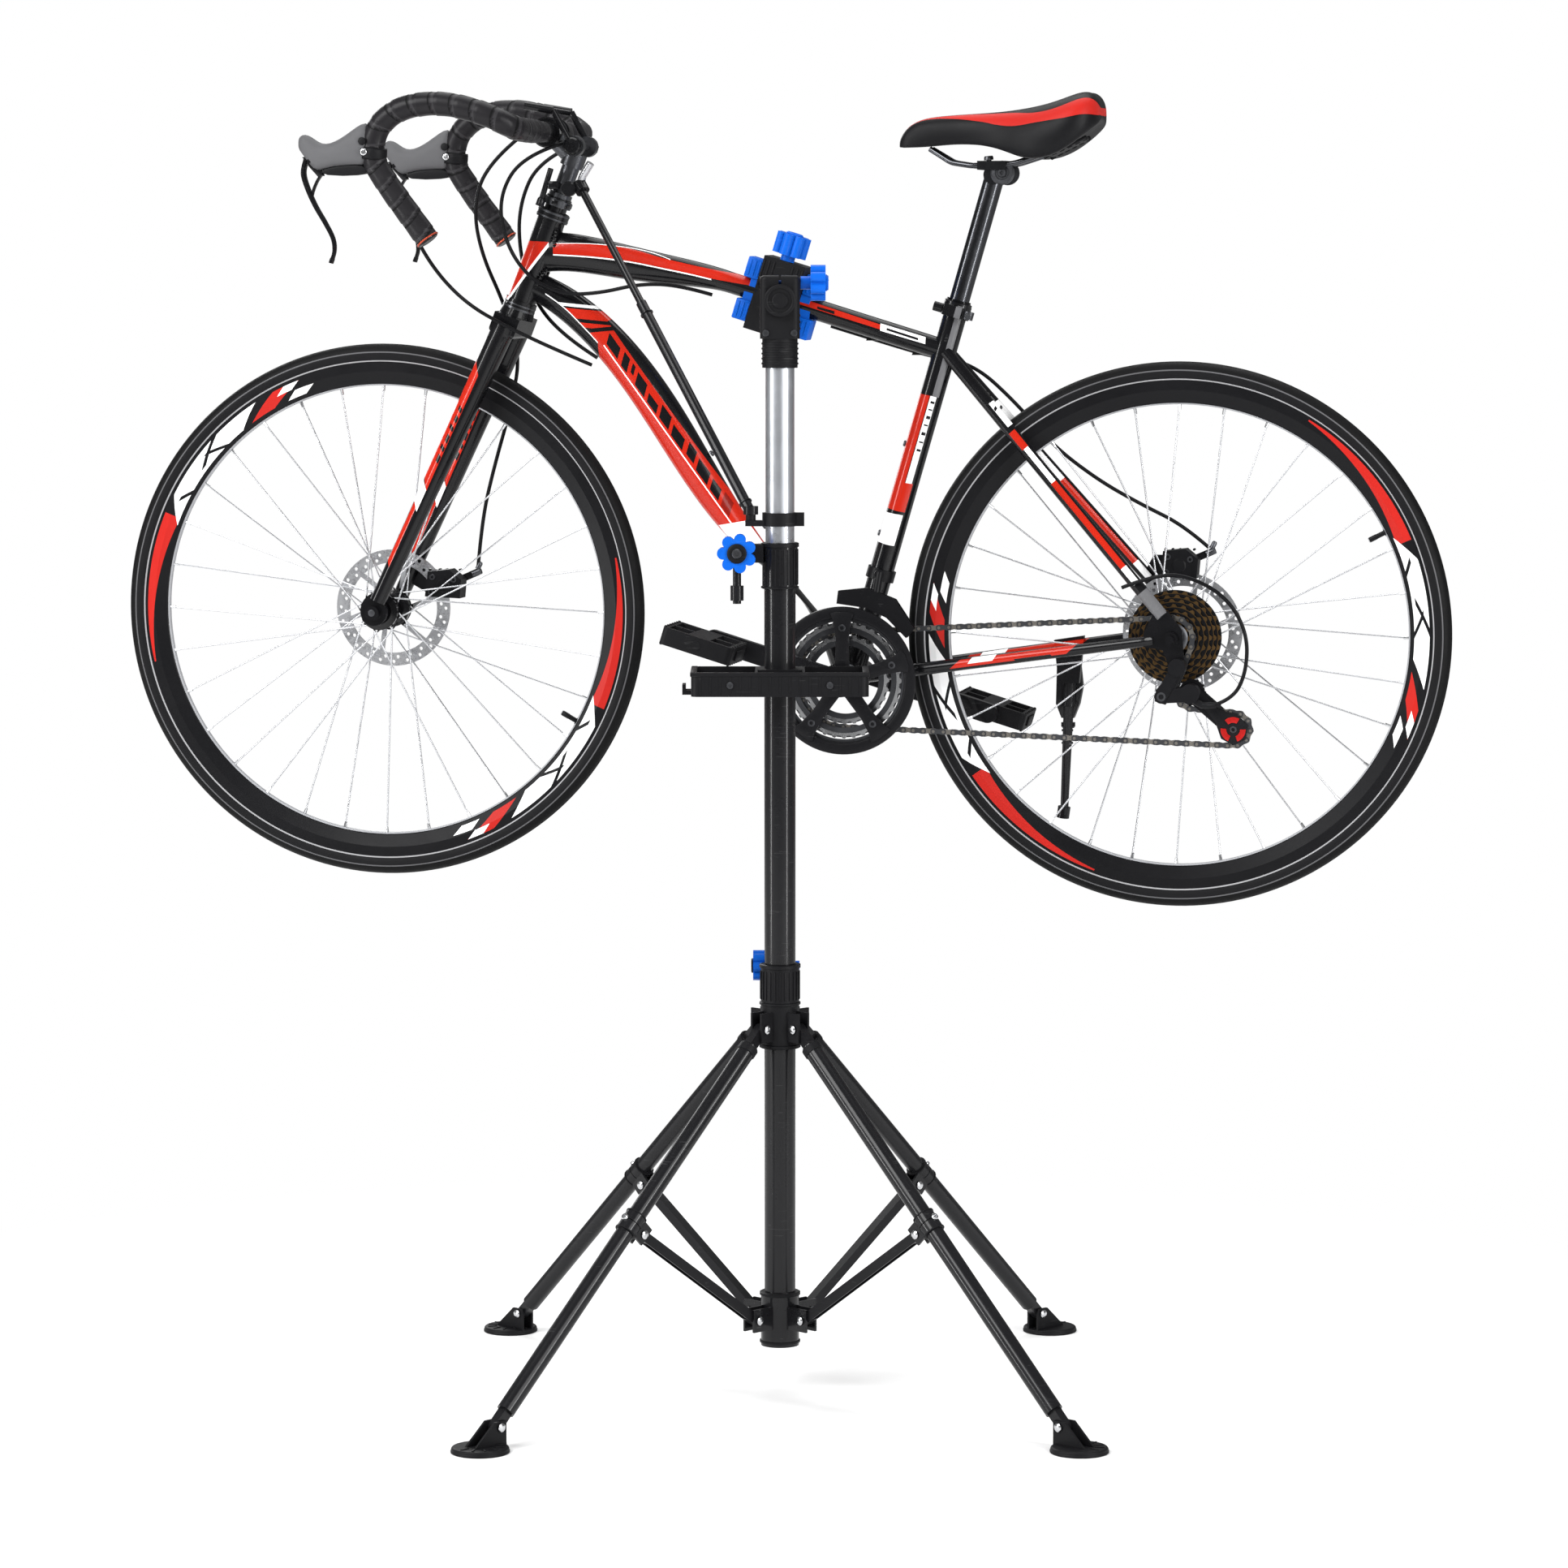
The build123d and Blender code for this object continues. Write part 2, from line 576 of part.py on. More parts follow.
# ---------------------------------------------------------------- frame
tube_taper = [
    (-296.0, 1391.0, 25.0, 15.0),
    (-220.0, 1384.0, 22.5, 15.0),
    (-140.0, 1369.5, 18.5, 14.0),
]
straight_x = -56.0
down_taper = [
    (-318.0, 1352.0, 17.0, 14.0),
    (-282.0, 1334.0, 19.5, 16.0),
    (-236.0, 1299.0, 22.0, 18.0),
    (-194.5, 1255.5, 23.5, 19.0),
    (-126.0, 1158.0, 24.0, 19.0),
    (-51.5, 1048.0, 17.5, 17.5),
    (bottom_bracket[0] - 12.0, bottom_bracket[1] + 17.0, 16.0, 16.0),
]

with BuildPart() as front_triangle:
    bar(tuple(head_foot), tuple(head_crest), head_radius)
    bar(tuple(head_foot), tuple(head_foot + steer * cup_height), cup_radius)
    bar(tuple(head_crest - steer * cup_height), tuple(head_crest), cup_radius)
    front_end = top_tube_at(straight_x)
    lead_in = top_tube_at(straight_x - 12)
    stations = tube_taper + [
        (lead_in.X, lead_in.Z, top_tube_radius + 0.5, top_tube_radius),
        (front_end.X, front_end.Z, top_tube_radius, top_tube_radius),
    ]
    loft(tube_sections(stations))
    bar(tuple(front_end), tuple(top_rear), top_tube_radius)
    bar(tuple(crank_centre), tuple(seat_crest), seat_tube_radius, Mode.SUBTRACT)
    bar(tuple(head_foot - steer), tuple(head_crest + steer), steerer_radius + running_gap, Mode.SUBTRACT)
save_hung(front_triangle.part, "head_and_top_tube")

with BuildPart() as down_tube:
    loft(tube_sections(down_taper))
    bar(tuple(head_foot), tuple(head_foot + steer * cup_height), cup_radius, Mode.SUBTRACT)
    bar(tuple(head_foot), tuple(head_crest), head_radius, Mode.SUBTRACT)
    add(front_triangle.part, mode=Mode.SUBTRACT)
    disc(crank_centre, -shell_half - 1, shell_half + 1, shell_radius, Mode.SUBTRACT)
    bar(tuple(crank_centre), tuple(seat_crest), seat_tube_radius, Mode.SUBTRACT)
save_hung(down_tube.part, "down_tube")

clamp_skewer = Vector(0, -seat_tube_radius - 8.0, 0)
lever_base = seat_crest - seat_axis * 8 + clamp_skewer
skewer_run = Vector(seat_axis.Z, 0, -seat_axis.X)
with BuildPart() as seat_tube:
    bar(tuple(crank_centre), tuple(seat_crest), seat_tube_radius)
    bar(tuple(seat_crest - seat_axis * 16), tuple(seat_crest), seat_tube_radius + 3)
    disc(crank_centre, -shell_half, shell_half, shell_radius)
    ears = Plane(origin=seat_crest - seat_axis * 8, x_dir=skewer_run, z_dir=seat_axis)
    block(ears, (-12, -seat_tube_radius - 13, -7), (12, -seat_tube_radius, 7))
    bar(tuple(lever_base - skewer_run * 22), tuple(lever_base + skewer_run * 13), 2.5)
    bar(tuple(lever_base - skewer_run * 25), tuple(lever_base - skewer_run * 14), 6)
    bar(tuple(seat_crest - seat_axis * 270), tuple(seat_crest + seat_axis), post_radius + running_gap,
        Mode.SUBTRACT)
    disc(crank_centre, -shell_half - 1, shell_half + 1, spindle_radius + running_gap, Mode.SUBTRACT)
save_hung(seat_tube.part, "seat_tube")

with BuildPart() as clamp_lever:
    cam = lever_base + skewer_run * 20
    bar(tuple(cam - seat_axis * 5), tuple(cam + seat_axis * 5), 6.5)
    tip = cam + skewer_run * 6 + Vector(0, -42, 0)
    bar(tuple(cam + Vector(0, -5, 0)), tuple(tip), 3.5)
save_hung(clamp_lever.part, "seat_clamp_lever")

stay_top = Vector(216.0, bike_y, 1268.0)
stay_low = Vector(497.0, bike_y, 946.0)
stay_spread = 70.0
dropout_inner = rear_hub_width / 2 + 0.3
dropout_thick = 5.0
with BuildPart() as seat_stays:
    for sign in (-1, 1):
        bar(tuple(stay_top + across * sign * 9), tuple(stay_low + across * sign * stay_spread), stay_radius)
    brace = stay_top + (stay_low - stay_top) * 0.17
    brace_half = 9 + (stay_spread - 9) * 0.17
    bar(tuple(brace - across * brace_half), tuple(brace + across * brace_half), 6)
    bar(tuple(crank_centre), tuple(seat_crest), seat_tube_radius, Mode.SUBTRACT)
    add(front_triangle.part, mode=Mode.SUBTRACT)
save_hung(seat_stays.part, "seat_stays")

stand_pivot = (364.0, 862.0)
hanger = (517.0, 884.0)
with BuildPart() as chain_stays:
    stay_end = rear_hub_centre + Vector(-22, 0, -2)
    for sign in (-1, 1):
        cone(tuple(crank_centre + across * sign * 25), tuple(stay_end + across * sign * stay_spread),
             chain_stay_radius, 6.5)
    for low, high in ((-dropout_inner - dropout_thick, -dropout_inner),
                      (dropout_inner, dropout_inner + dropout_thick)):
        x, z = rear_axle
        side_plate([(x - 34, z - 10), (x - 34, z + 6), (x - 20, z + 36), (x - 4, z + 34), (x + 14, z + 10),
                    (x + 15, z - 14), (x + 18, z - 40), (x, z - 42), (x - 10, z - 14)], low, high)
    add(seat_stays.part, mode=Mode.SUBTRACT)
    bar(tuple(crank_centre + Vector(70, -30, 12)), tuple(crank_centre + Vector(70, 30, 12)), 5)
    # kickstand bracket on the far stay
    side_plate([(stand_pivot[0] - 18, stand_pivot[1] + 44), (stand_pivot[0] + 20, stand_pivot[1] + 50),
                (stand_pivot[0] + 14, stand_pivot[1] - 10), (stand_pivot[0] - 12,
                                                             stand_pivot[1] - 10)], 46, 58)
    disc(Vector(stand_pivot[0], bike_y, stand_pivot[1]), 57, 76, 4)
    disc(crank_centre, -2 * shell_half, 2 * shell_half, shell_radius, Mode.SUBTRACT)
    disc(rear_hub_centre, -90, 90, 5)
    disc(rear_hub_centre, -82, -dropout_inner - dropout_thick, 9)
    disc(rear_hub_centre, dropout_inner + dropout_thick, 82, 9)
save_hung(chain_stays.part, "chain_stays")

with BuildPart() as kickstand:
    pivot = Vector(stand_pivot[0], bike_y + 68, stand_pivot[1])
    pin = Vector(stand_pivot[0], bike_y, stand_pivot[1])
    bar(tuple(pivot - across * 7), tuple(pivot + across * 7), 12)
    bar(tuple(pivot), tuple(pivot + Vector(-2, 1, -40)), 9)
    cone(tuple(pivot + Vector(-2, 1, -40)), tuple(pivot + Vector(-9, 16, -176)), 6.5, 5)
    bar(tuple(pivot + Vector(-9, 16, -170)), tuple(pivot + Vector(-11, 17, -184)), 8)
    disc(pin, 50, 80, 4 + running_gap, Mode.SUBTRACT)
save_hung(kickstand.part, "kickstand")

# ---------------------------------------------------------------- fork, stem and bar
fork_half = front_hub_width / 2 + 6.0
blade_half = 40.0
with BuildPart() as fork:
    bar(tuple(head_foot - steer * 30), tuple(head_crest + steer * 9), steerer_radius)
    cone(tuple(head_foot - steer * 12), tuple(head_foot - steer * 0.4), 23, 20)
    crown = Plane(origin=head_foot - steer * 24, x_dir=(0, 1, 0), z_dir=steer)
    block(crown, (-blade_half - 8, -17, -14), (blade_half + 8, 17, 13))
    fillet(fork.edges().group_by(Axis(tuple(crown.origin), tuple(crown.z_dir)))[0], 6)
    for sign in (-1, 1):
        start = head_foot - steer * 22 + across * sign * blade_half
        end = front_hub_centre + Vector(5, 0, 14) + across * sign * fork_half
        cone(tuple(start), tuple(end), 15.5, 10)
        inner, outer = sorted((sign * (fork_half - 5), sign * (fork_half + 2)))
        disc(front_hub_centre, inner, outer, 17)
        inner, outer = sorted((sign * (fork_half + 2), sign * (fork_half + 12)))
        disc(front_hub_centre, inner, outer, 9)
    disc(front_hub_centre, -fork_half, fork_half, 4.5)
save_hung(fork.part, "fork")

stem_top = head_crest + steer * 76
bar_centre = Vector(-290.0, bike_y, 1541.0)
quill_radius = 11.5
with BuildPart() as stem:
    bar(tuple(head_crest + steer * 9.3), tuple(head_crest + steer * 18), 18)
    bar(tuple(head_crest + steer * 18), tuple(head_crest + steer * 26), 15)
    bar(tuple(head_crest + steer * 20), tuple(stem_top), quill_radius)
    bar(tuple(stem_top - steer * 14), tuple(stem_top + steer * 4), 15)
    bar(tuple(stem_top - steer * 2), tuple(bar_centre), 13)
    disc(bar_centre, -23, 23, 18)
    # pods of the two shift levers
    for sign in (-1, 1):
        low, high = sorted((sign * 30, sign * 42))
        disc(stem_top + Vector(8, 0, 12), min(low, 0), max(high, 0) if sign > 0 else 0, 4)
        disc(stem_top + Vector(8, 0, 12), low, high, 13)
    disc(bar_centre, -24, 24, bar_radius, Mode.SUBTRACT)
save_hung(stem.part, "stem")

pod = stem_top + Vector(8, 0, 12)
with BuildPart() as shift_levers:
    for sign in (-1, 1):
        low, high = sorted((sign * 42.4, sign * 48))
        disc(pod, low, high, 11)
        outer = pod + across * sign * 46.8
        bar(tuple(outer), tuple(outer + Vector(-24, sign * 3, 44)), 4)
        bar(tuple(outer + Vector(-24, sign * 3, 44)), tuple(outer + Vector(-60, sign * 4, 50)), 5)
save_hung(shift_levers.part, "shift_levers")

near_bar = [
    (bar_centre.X, -50.0, bar_centre.Z),
    (-288.0, -bar_half, 1539.0),
    (-345.0, -bar_half, 1563.0),
    (-405.0, -bar_half, 1566.0),
    (-453.0, -bar_half, 1545.0),
    (-470.0, -bar_half, 1507.0),
    (-451.0, -bar_half, 1464.0),
    (-404.0, -bar_half, 1400.0),
]
bar_radii = [38, 80, 90, 55, 45, 110]


def bar_points(sign):
    """The centre line of one half of the handlebar."""
    return [(x, bike_y - sign * offset, z) for x, offset, z in near_bar]


with BuildPart() as handlebar:
    disc(bar_centre, -52, 52, bar_radius)
    for sign in (-1, 1):
        points = bar_points(sign)
        cord(points, bar_radii, tape_radius)
        end_run = (Vector(*points[-1]) - Vector(*points[-2])).normalized()
        bar(tuple(Vector(*points[-1]) - end_run), tuple(Vector(*points[-1]) + end_run * 5), tape_radius + 1)
save_hung(handlebar.part, "handlebar")

hood_half = 14.0
lever_pivot = (-545.0, 1503.0)
with BuildPart() as hoods:
    for sign in (-1, 1):
        low, high = sign * bar_half - hood_half, sign * bar_half + hood_half
        side_plate([(-468, 1533), (-500, 1527), (-534, 1528), (-552, 1541), (-564, 1538), (-563, 1520),
                    (-550, 1494), (-512, 1489), (-464, 1484), (-474, 1507)], low, high)
    fillet(hoods.edges().filter_by(Axis.Y, reverse=True), 5)
    add(handlebar.part, mode=Mode.SUBTRACT)
    for sign in (-1, 1):
        low, high = sign * bar_half - 6.5, sign * bar_half + 6.5
        side_plate([(-580, 1480), (-580, 1512), (-536, 1512), (-528, 1480)], low, high, Mode.SUBTRACT)
    disc(Vector(lever_pivot[0], bike_y, lever_pivot[1]), -bar_half - 12, bar_half + 12, 2 + running_gap,
         Mode.SUBTRACT)
save_hung(hoods.part, "brake_hoods")

for sign, name in ((-1, "near"), (1, "far")):
    with BuildPart() as brake_lever:
        pivot = Vector(lever_pivot[0], bike_y + sign * bar_half, lever_pivot[1])
        bar(tuple(pivot - across * 6), tuple(pivot + across * 6), 6)
        bar(tuple(pivot - across * 12), tuple(pivot + across * 12), 2)
        route = [(-545, 1500), (-546, 1460), (-529, 1418), (-524, 1371)]
        with BuildLine() as blade:
            FilletPolyline(*[(x, pivot.Y, z) for x, z in route], radius=[45, 55])
        with BuildSketch(Plane(origin=blade.line @ 0, x_dir=(0, 1, 0), z_dir=blade.line % 0)) as section:
            RectangleRounded(11, 5.5, 2)
        sweep(section.sketch, path=blade.line)
    save_hung(brake_lever.part, f"brake_lever_{name}")

# ---------------------------------------------------------------- wheels
rim_outer = wheel_radius - 2 * tyre_radius + 5.0
rim_inner = rim_outer - rim_depth


def wheel_plane(axle):
    """Half plane through an axle: x along the radius, y towards the far side."""
    return Plane(origin=tuple(axle), x_dir=(1, 0, 0), z_dir=(0, 0, 1))


def make_tyre(axle):
    with BuildSketch(wheel_plane(axle)) as section:
        with Locations((wheel_radius - tyre_radius, 0)):
            Circle(tyre_radius)
        with Locations((rim_outer + seat_gap - 50, 0)):
            Rectangle(100, 60, mode=Mode.SUBTRACT)
    spin(section.sketch, axle)


def make_rim(axle, valve_angle):
    half = rim_width / 2
    with BuildSketch(wheel_plane(axle)) as section:
        with BuildLine():
            Polyline((rim_outer, -half), (rim_outer, half), (rim_outer - 12, half),
                     (rim_inner + 3, half * 0.55),
                     (rim_inner, half * 0.3), (rim_inner, -half * 0.3), (rim_inner + 3, -half * 0.55),
                     (rim_outer - 12, -half), close=True)
        make_face()
    spin(section.sketch, axle)
    out = Vector(cos(radians(valve_angle)), 0, sin(radians(valve_angle)))
    bar(tuple(axle + out * (rim_inner - 22)), tuple(axle + out * (rim_inner + 2)), 3)


def make_spokes(axle, near_flange, far_flange, hub_radius):
    """Crossed spokes from both flanges to the rim."""
    spokes = []
    per_side = spoke_count // 2
    pitch = 2 * pi / per_side
    for flange, shift in ((near_flange, 0.0), (far_flange, pitch / 2)):
        for number in range(per_side):
            lean = 1 if number % 2 == 0 else -1
            hub_angle = number * pitch + shift
            rim_angle = hub_angle + lean * 3 * pitch
            start = axle + Vector(hub_radius * cos(hub_angle), flange + lean * 2.2,
                                  hub_radius * sin(hub_angle))
            end = axle + Vector(rim_inner * cos(rim_angle), 0, rim_inner * sin(rim_angle))
            run = end - start
            with BuildSketch(Plane(origin=tuple(start), z_dir=run)) as section:
                Circle(spoke_radius)
            spokes.append(extrude(section.sketch, amount=run.length - 0.4, mode=Mode.PRIVATE))
    add(spokes)


def make_rotor(axle, plane_offset):
    """Vented brake disc: outer track, swept arms and centre."""
    face = Plane(origin=tuple(axle + across * (plane_offset + rotor_thick)), x_dir=(1, 0, 0),
                 z_dir=(0, -1, 0))
    with BuildSketch(face) as section:
        Circle(rotor_radius)
        Circle(rotor_radius - 17, mode=Mode.SUBTRACT)
        with PolarLocations(rotor_radius - 5.5, 24):
            Circle(2.2, mode=Mode.SUBTRACT)
        with PolarLocations(rotor_radius - 11.5, 24, start_angle=5):
            Circle(2.2, mode=Mode.SUBTRACT)
        Circle(24)
        for number in range(6):
            turn = number * 60
            with Locations(Location((0, 0, 0), (0, 0, 1), turn)):
                with Locations(Location((40, 8, 0), (0, 0, 1), 22)):
                    Rectangle(46, 6)
        Circle(12, mode=Mode.SUBTRACT)
    extrude(section.sketch, amount=rotor_thick)


front_rotor_plane = 38.0
rear_rotor_plane = 47.0
front_flanges = (-29.0, 29.0)
rear_flanges = (-24.0, 32.0)

for name, axle, valve_angle in (("front", front_hub_centre, -29.0), ("rear", rear_hub_centre, 27.0)):
    with BuildPart() as tyre:
        make_tyre(axle)
    save_hung(tyre.part, f"{name}_tyre")
    with BuildPart() as rim:
        make_rim(axle, valve_angle)
    save_hung(rim.part, f"{name}_rim")

with BuildPart() as front_hub:
    disc(front_hub_centre, -40, 40, 13)
    for plane_offset in front_flanges:
        disc(front_hub_centre, plane_offset - 3, plane_offset + 3, flange_radius)
    disc(front_hub_centre, -front_hub_width / 2 + 0.3, front_hub_width / 2 - 0.3, 9)
    make_rotor(front_hub_centre, front_rotor_plane)
    make_spokes(front_hub_centre, *front_flanges, flange_radius - 3)
    disc(front_hub_centre, -60, 60, 4.5 + running_gap, Mode.SUBTRACT)
save_hung(front_hub.part, "front_hub")

with BuildPart() as rear_hub:
    disc(rear_hub_centre, -28, 48, 16)
    for plane_offset in rear_flanges:
        disc(rear_hub_centre, plane_offset - 3, plane_offset + 3, flange_radius + 4)
    disc(rear_hub_centre, -63, -28, 13)
    disc(rear_hub_centre, -rear_hub_width / 2 + 0.3, rear_hub_width / 2 - 0.3, 9)
    make_rotor(rear_hub_centre, rear_rotor_plane)
    make_spokes(rear_hub_centre, *rear_flanges, flange_radius + 1)
    disc(rear_hub_centre, -80, 80, 5 + running_gap, Mode.SUBTRACT)
save_hung(rear_hub.part, "rear_hub")

# ---------------------------------------------------------------- transmission
with BuildPart() as cassette:
    disc(rear_hub_centre, -cog_first_plane - cog_pitch * len(cog_radii) + 1, -cog_first_plane + 3, 19)
    for number, radius in enumerate(cog_radii):
        plane_offset = -cog_first_plane - cog_pitch * number
        disc(rear_hub_centre, plane_offset - 1, plane_offset + 1, radius)
    disc(rear_hub_centre, -64, -29, 13 + running_gap, Mode.SUBTRACT)
save_hung(cassette.part, "cassette")

small_cog_plane = cog_first_plane + cog_pitch * (len(cog_radii) - 1)
chain_gap = 0.6
chain_lift = chain_height / 2 + chain_gap
chain_wheels = [
    (*bottom_bracket, ring_radii[0] + chain_lift, 1),
    (*lower_jockey, jockey_radius + chain_lift, 1),
    (*upper_jockey, jockey_radius + chain_lift, -1),
    (*rear_axle, cog_radii[-1] + chain_lift, 1),
]


def belt_runs(wheels):
    """Straight runs of a belt round wheels given as (x, z, radius, turning sense)."""
    runs = []
    for index, (x1, z1, r1, s1) in enumerate(wheels):
        x2, z2, r2, s2 = wheels[(index + 1) % len(wheels)]
        reach = sqrt((x2 - x1) ** 2 + (z2 - z1) ** 2)
        heading = atan2(z2 - z1, x2 - x1) - asin((s2 * r2 - s1 * r1) / reach)
        left = (-sin(heading), cos(heading))
        start = (x1 - left[0] * s1 * r1, z1 - left[1] * s1 * r1)
        end = (x2 - left[0] * s2 * r2, z2 - left[1] * s2 * r2)
        runs.append((start, end))
    return runs


with BuildSketch() as loop:
    with BuildLine():
        runs = belt_runs(chain_wheels)
        for index, (start, end) in enumerate(runs):
            Line(start, end)
            x, z, radius, sense = chain_wheels[(index + 1) % len(chain_wheels)]
            leaving = runs[(index + 1) % len(runs)][0]
            first = atan2(end[1] - z, end[0] - x)
            last = atan2(leaving[1] - z, leaving[0] - x)
            turn = (last - first) % (2 * pi) if sense > 0 else -((first - last) % (2 * pi))
            middle = first + turn / 2
            ThreePointArc(end, (x + radius * cos(middle), z + radius * sin(middle)), leaving)
    make_face()
outside = offset(loop.sketch, amount=chain_height / 2)
inside = offset(loop.sketch, amount=-chain_height / 2)

# the chain slants from the small ring's plane to the small cog's
slant = atan2(small_cog_plane - ring_planes[0], rear_axle[0] - bottom_bracket[0])
chain_origin = crank_centre - across * (ring_planes[0] - chain_width / 2)
chain_origin -= Vector(cos(slant), -sin(slant), 0) * bottom_bracket[0] + Vector(0, 0, bottom_bracket[1])
chain_plane = Plane(origin=chain_origin, x_dir=(cos(slant), -sin(slant), 0),
                    z_dir=(-sin(slant), -cos(slant), 0))
with BuildPart() as chain:
    with BuildSketch(chain_plane) as band:
        add(outside)
        add(inside, mode=Mode.SUBTRACT)
    extrude(band.sketch, amount=chain_width)
save_hung(chain.part, "chain")

crank_turn = radians(crank_angle)
near_pedal = crank_centre + Vector(-cos(crank_turn), 0, sin(crank_turn)) * crank_length
far_pedal = crank_centre - Vector(-cos(crank_turn), 0, sin(crank_turn)) * crank_length
arm_inner = 68.0
arm_outer = 80.0
pedal_inner = 88.0
pedal_outer = 182.0
axle_radius = 5.0
ring_half = 1.1
spider_face = guard_plane + 1.0

with BuildPart() as chainset:
    for plane_offset, radius in zip(ring_planes, ring_radii):
        washer(crank_centre, -plane_offset - ring_half, -plane_offset + ring_half, radius, radius - 11)
    washer(crank_centre, -guard_plane - 3, -guard_plane, guard_radius, guard_radius - 13)
    spider_plane = Plane(origin=tuple(crank_centre - across * (ring_planes[2] + 1)), x_dir=(1, 0, 0),
                         z_dir=(0, -1, 0))
    with BuildSketch(spider_plane) as spider:
        Circle(20)
        for number in range(5):
            with Locations(Location((0, 0, 0), (0, 0, 1), 90 + 72 * number)):
                with Locations((45, 0)):
                    Rectangle(74, 15)
    extrude(spider.sketch, amount=spider_face - ring_planes[2])
    for number in range(5):
        turn = radians(90 + 72 * number)
        out = Vector(cos(turn), 0, sin(turn))
        disc(crank_centre + out * 66, -ring_planes[2] - 2, -ring_planes[1], 4)
        disc(crank_centre + out * 49, -ring_planes[2] - 2, -ring_planes[0], 4)
    disc(crank_centre, -arm_outer - 3, arm_outer + 3, spindle_radius)
    disc(crank_centre, -arm_outer - 3, -ring_planes[2] - 1, 17)
    disc(crank_centre, arm_inner - 8, arm_outer + 3, 15)
    side_link(bottom_bracket, (near_pedal.X, near_pedal.Z), 25, -arm_outer, -arm_inner)
    side_link(bottom_bracket, (far_pedal.X, far_pedal.Z), 25, arm_inner, arm_outer)
    disc(near_pedal, -pedal_outer + 10, -arm_inner - 1, axle_radius)
    disc(far_pedal, arm_inner + 1, pedal_outer - 10, axle_radius)
save_hung(chainset.part, "chainset")

pedal_half = 46.0
pedal_tall = 11.0
for sign, centre, name in ((-1, near_pedal, "near"), (1, far_pedal, "far")):
    low, high = sorted((sign * pedal_inner, sign * pedal_outer))
    frame_x = (cos(crank_turn), 0, -sin(crank_turn))
    pedal_frame = Plane(origin=tuple(centre), x_dir=frame_x, z_dir=(sin(crank_turn), 0, cos(crank_turn)))
    with BuildPart() as pedal:
        block(pedal_frame, (-pedal_half, low, -pedal_tall), (pedal_half, high, pedal_tall))
        fillet(pedal.edges().filter_by(Axis(tuple(centre), tuple(pedal_frame.z_dir))), 7)
        for start, end in ((-pedal_half + 7, -14), (14, pedal_half - 7)):
            for first, last in ((low + 8, low + 40), (high - 46, high - 8)):
                block(pedal_frame, (start, first, -pedal_tall - 1), (end, last, pedal_tall + 1),
                      Mode.SUBTRACT)
        near_end, far_end = sorted((sign * (pedal_inner - 1), sign * (pedal_outer - 9)))
        disc(centre, near_end, far_end, axle_radius + running_gap, Mode.SUBTRACT)
    save_hung(pedal.part, f"pedal_{name}")

with BuildPart() as rear_mech:
    hanger_bolt = Vector(hanger[0], bike_y, hanger[1])
    cage_pivot = Vector(upper_jockey[0], bike_y, upper_jockey[1])
    knuckle = (498.0, 848.0)
    outer_face = -dropout_inner - dropout_thick
    disc(hanger_bolt, outer_face - 16, outer_face - 0.3, 11)
    side_link(hanger, knuckle, 15, outer_face - 14, outer_face - 4)
    side_link(knuckle, upper_jockey, 17, outer_face - 13, outer_face - 1)
    disc(cage_pivot, outer_face - 13, outer_face + 6.5, 12)
    bar(side(546, 838, outer_face - 7), side(560, 838, outer_face - 7), 4)
    bar(side(536, 844, outer_face - 7), side(548, 838, outer_face - 7), 4)
    disc(cage_pivot, outer_face - 9, outer_face + 8, 4 + running_gap, Mode.SUBTRACT)
save_hung(rear_mech.part, "rear_derailleur")

cage_plane = -small_cog_plane - 1.4
cage_half = 6.3
with BuildPart() as cage:
    side_link(upper_jockey, lower_jockey, 21, cage_plane - cage_half, cage_plane - cage_half + 1.5)
    side_link(upper_jockey, lower_jockey, 21, cage_plane + cage_half - 1.5, cage_plane + cage_half)
    for x, z in (upper_jockey, lower_jockey):
        centre = Vector(x, bike_y, z)
        disc(centre, cage_plane - 1.5, cage_plane + 1.5, jockey_radius)
        disc(centre, cage_plane - cage_half, cage_plane + cage_half, 4)
    disc(cage_pivot, outer_face - 7, cage_plane - cage_half + 1, 4)
save_hung(cage.part, "derailleur_cage")

with BuildPart() as front_mech:
    band_height = 128.0
    band = Plane(origin=tuple(crank_centre + seat_axis * band_height), z_dir=seat_axis)
    ring(band, seat_tube_radius + 3, seat_tube_radius, 14)
    mount = crank_centre + seat_axis * (band_height + 7)
    bar(tuple(mount + Vector(0, -seat_tube_radius - 2, 0)), tuple(mount + Vector(6, -48, 2)), 6)
    bar(tuple(mount + Vector(6, -44, 4)), tuple(mount + Vector(3, -53, -22)), 5)
    outline = [(88, 956), (125, 951), (151, 939), (176, 914), (186, 926), (162, 962), (126, 976), (90, 972)]
    side_plate(outline, -52.7, -51.3)
    side_plate(outline, -62.7, -61.3)
    side_plate([(90, 966), (126, 970), (126, 976), (90, 972)], -62, -52)
save_hung(front_mech.part, "front_derailleur")

# ---------------------------------------------------------------- disc brake calipers
disc_gap = 0.5


def caliper(centre, disc_offset, axle):
    """Body that straddles the brake disc, with its arm and adjuster."""
    x, z = centre
    middle = disc_offset + rotor_thick / 2
    side_plate([(x - 24, z - 14), (x - 20, z + 18), (x + 8, z + 21), (x + 24, z + 8), (x + 22, z - 16)],
               middle - 11, middle + 19)
    disc(axle, disc_offset - disc_gap, disc_offset + rotor_thick + disc_gap, rotor_radius + 1, Mode.SUBTRACT)
    disc(Vector(x, bike_y, z), middle + 18, middle + 26, 12)
    side_link((x, z), (x + 37, z + 16), 9, middle + 22, middle + 27)


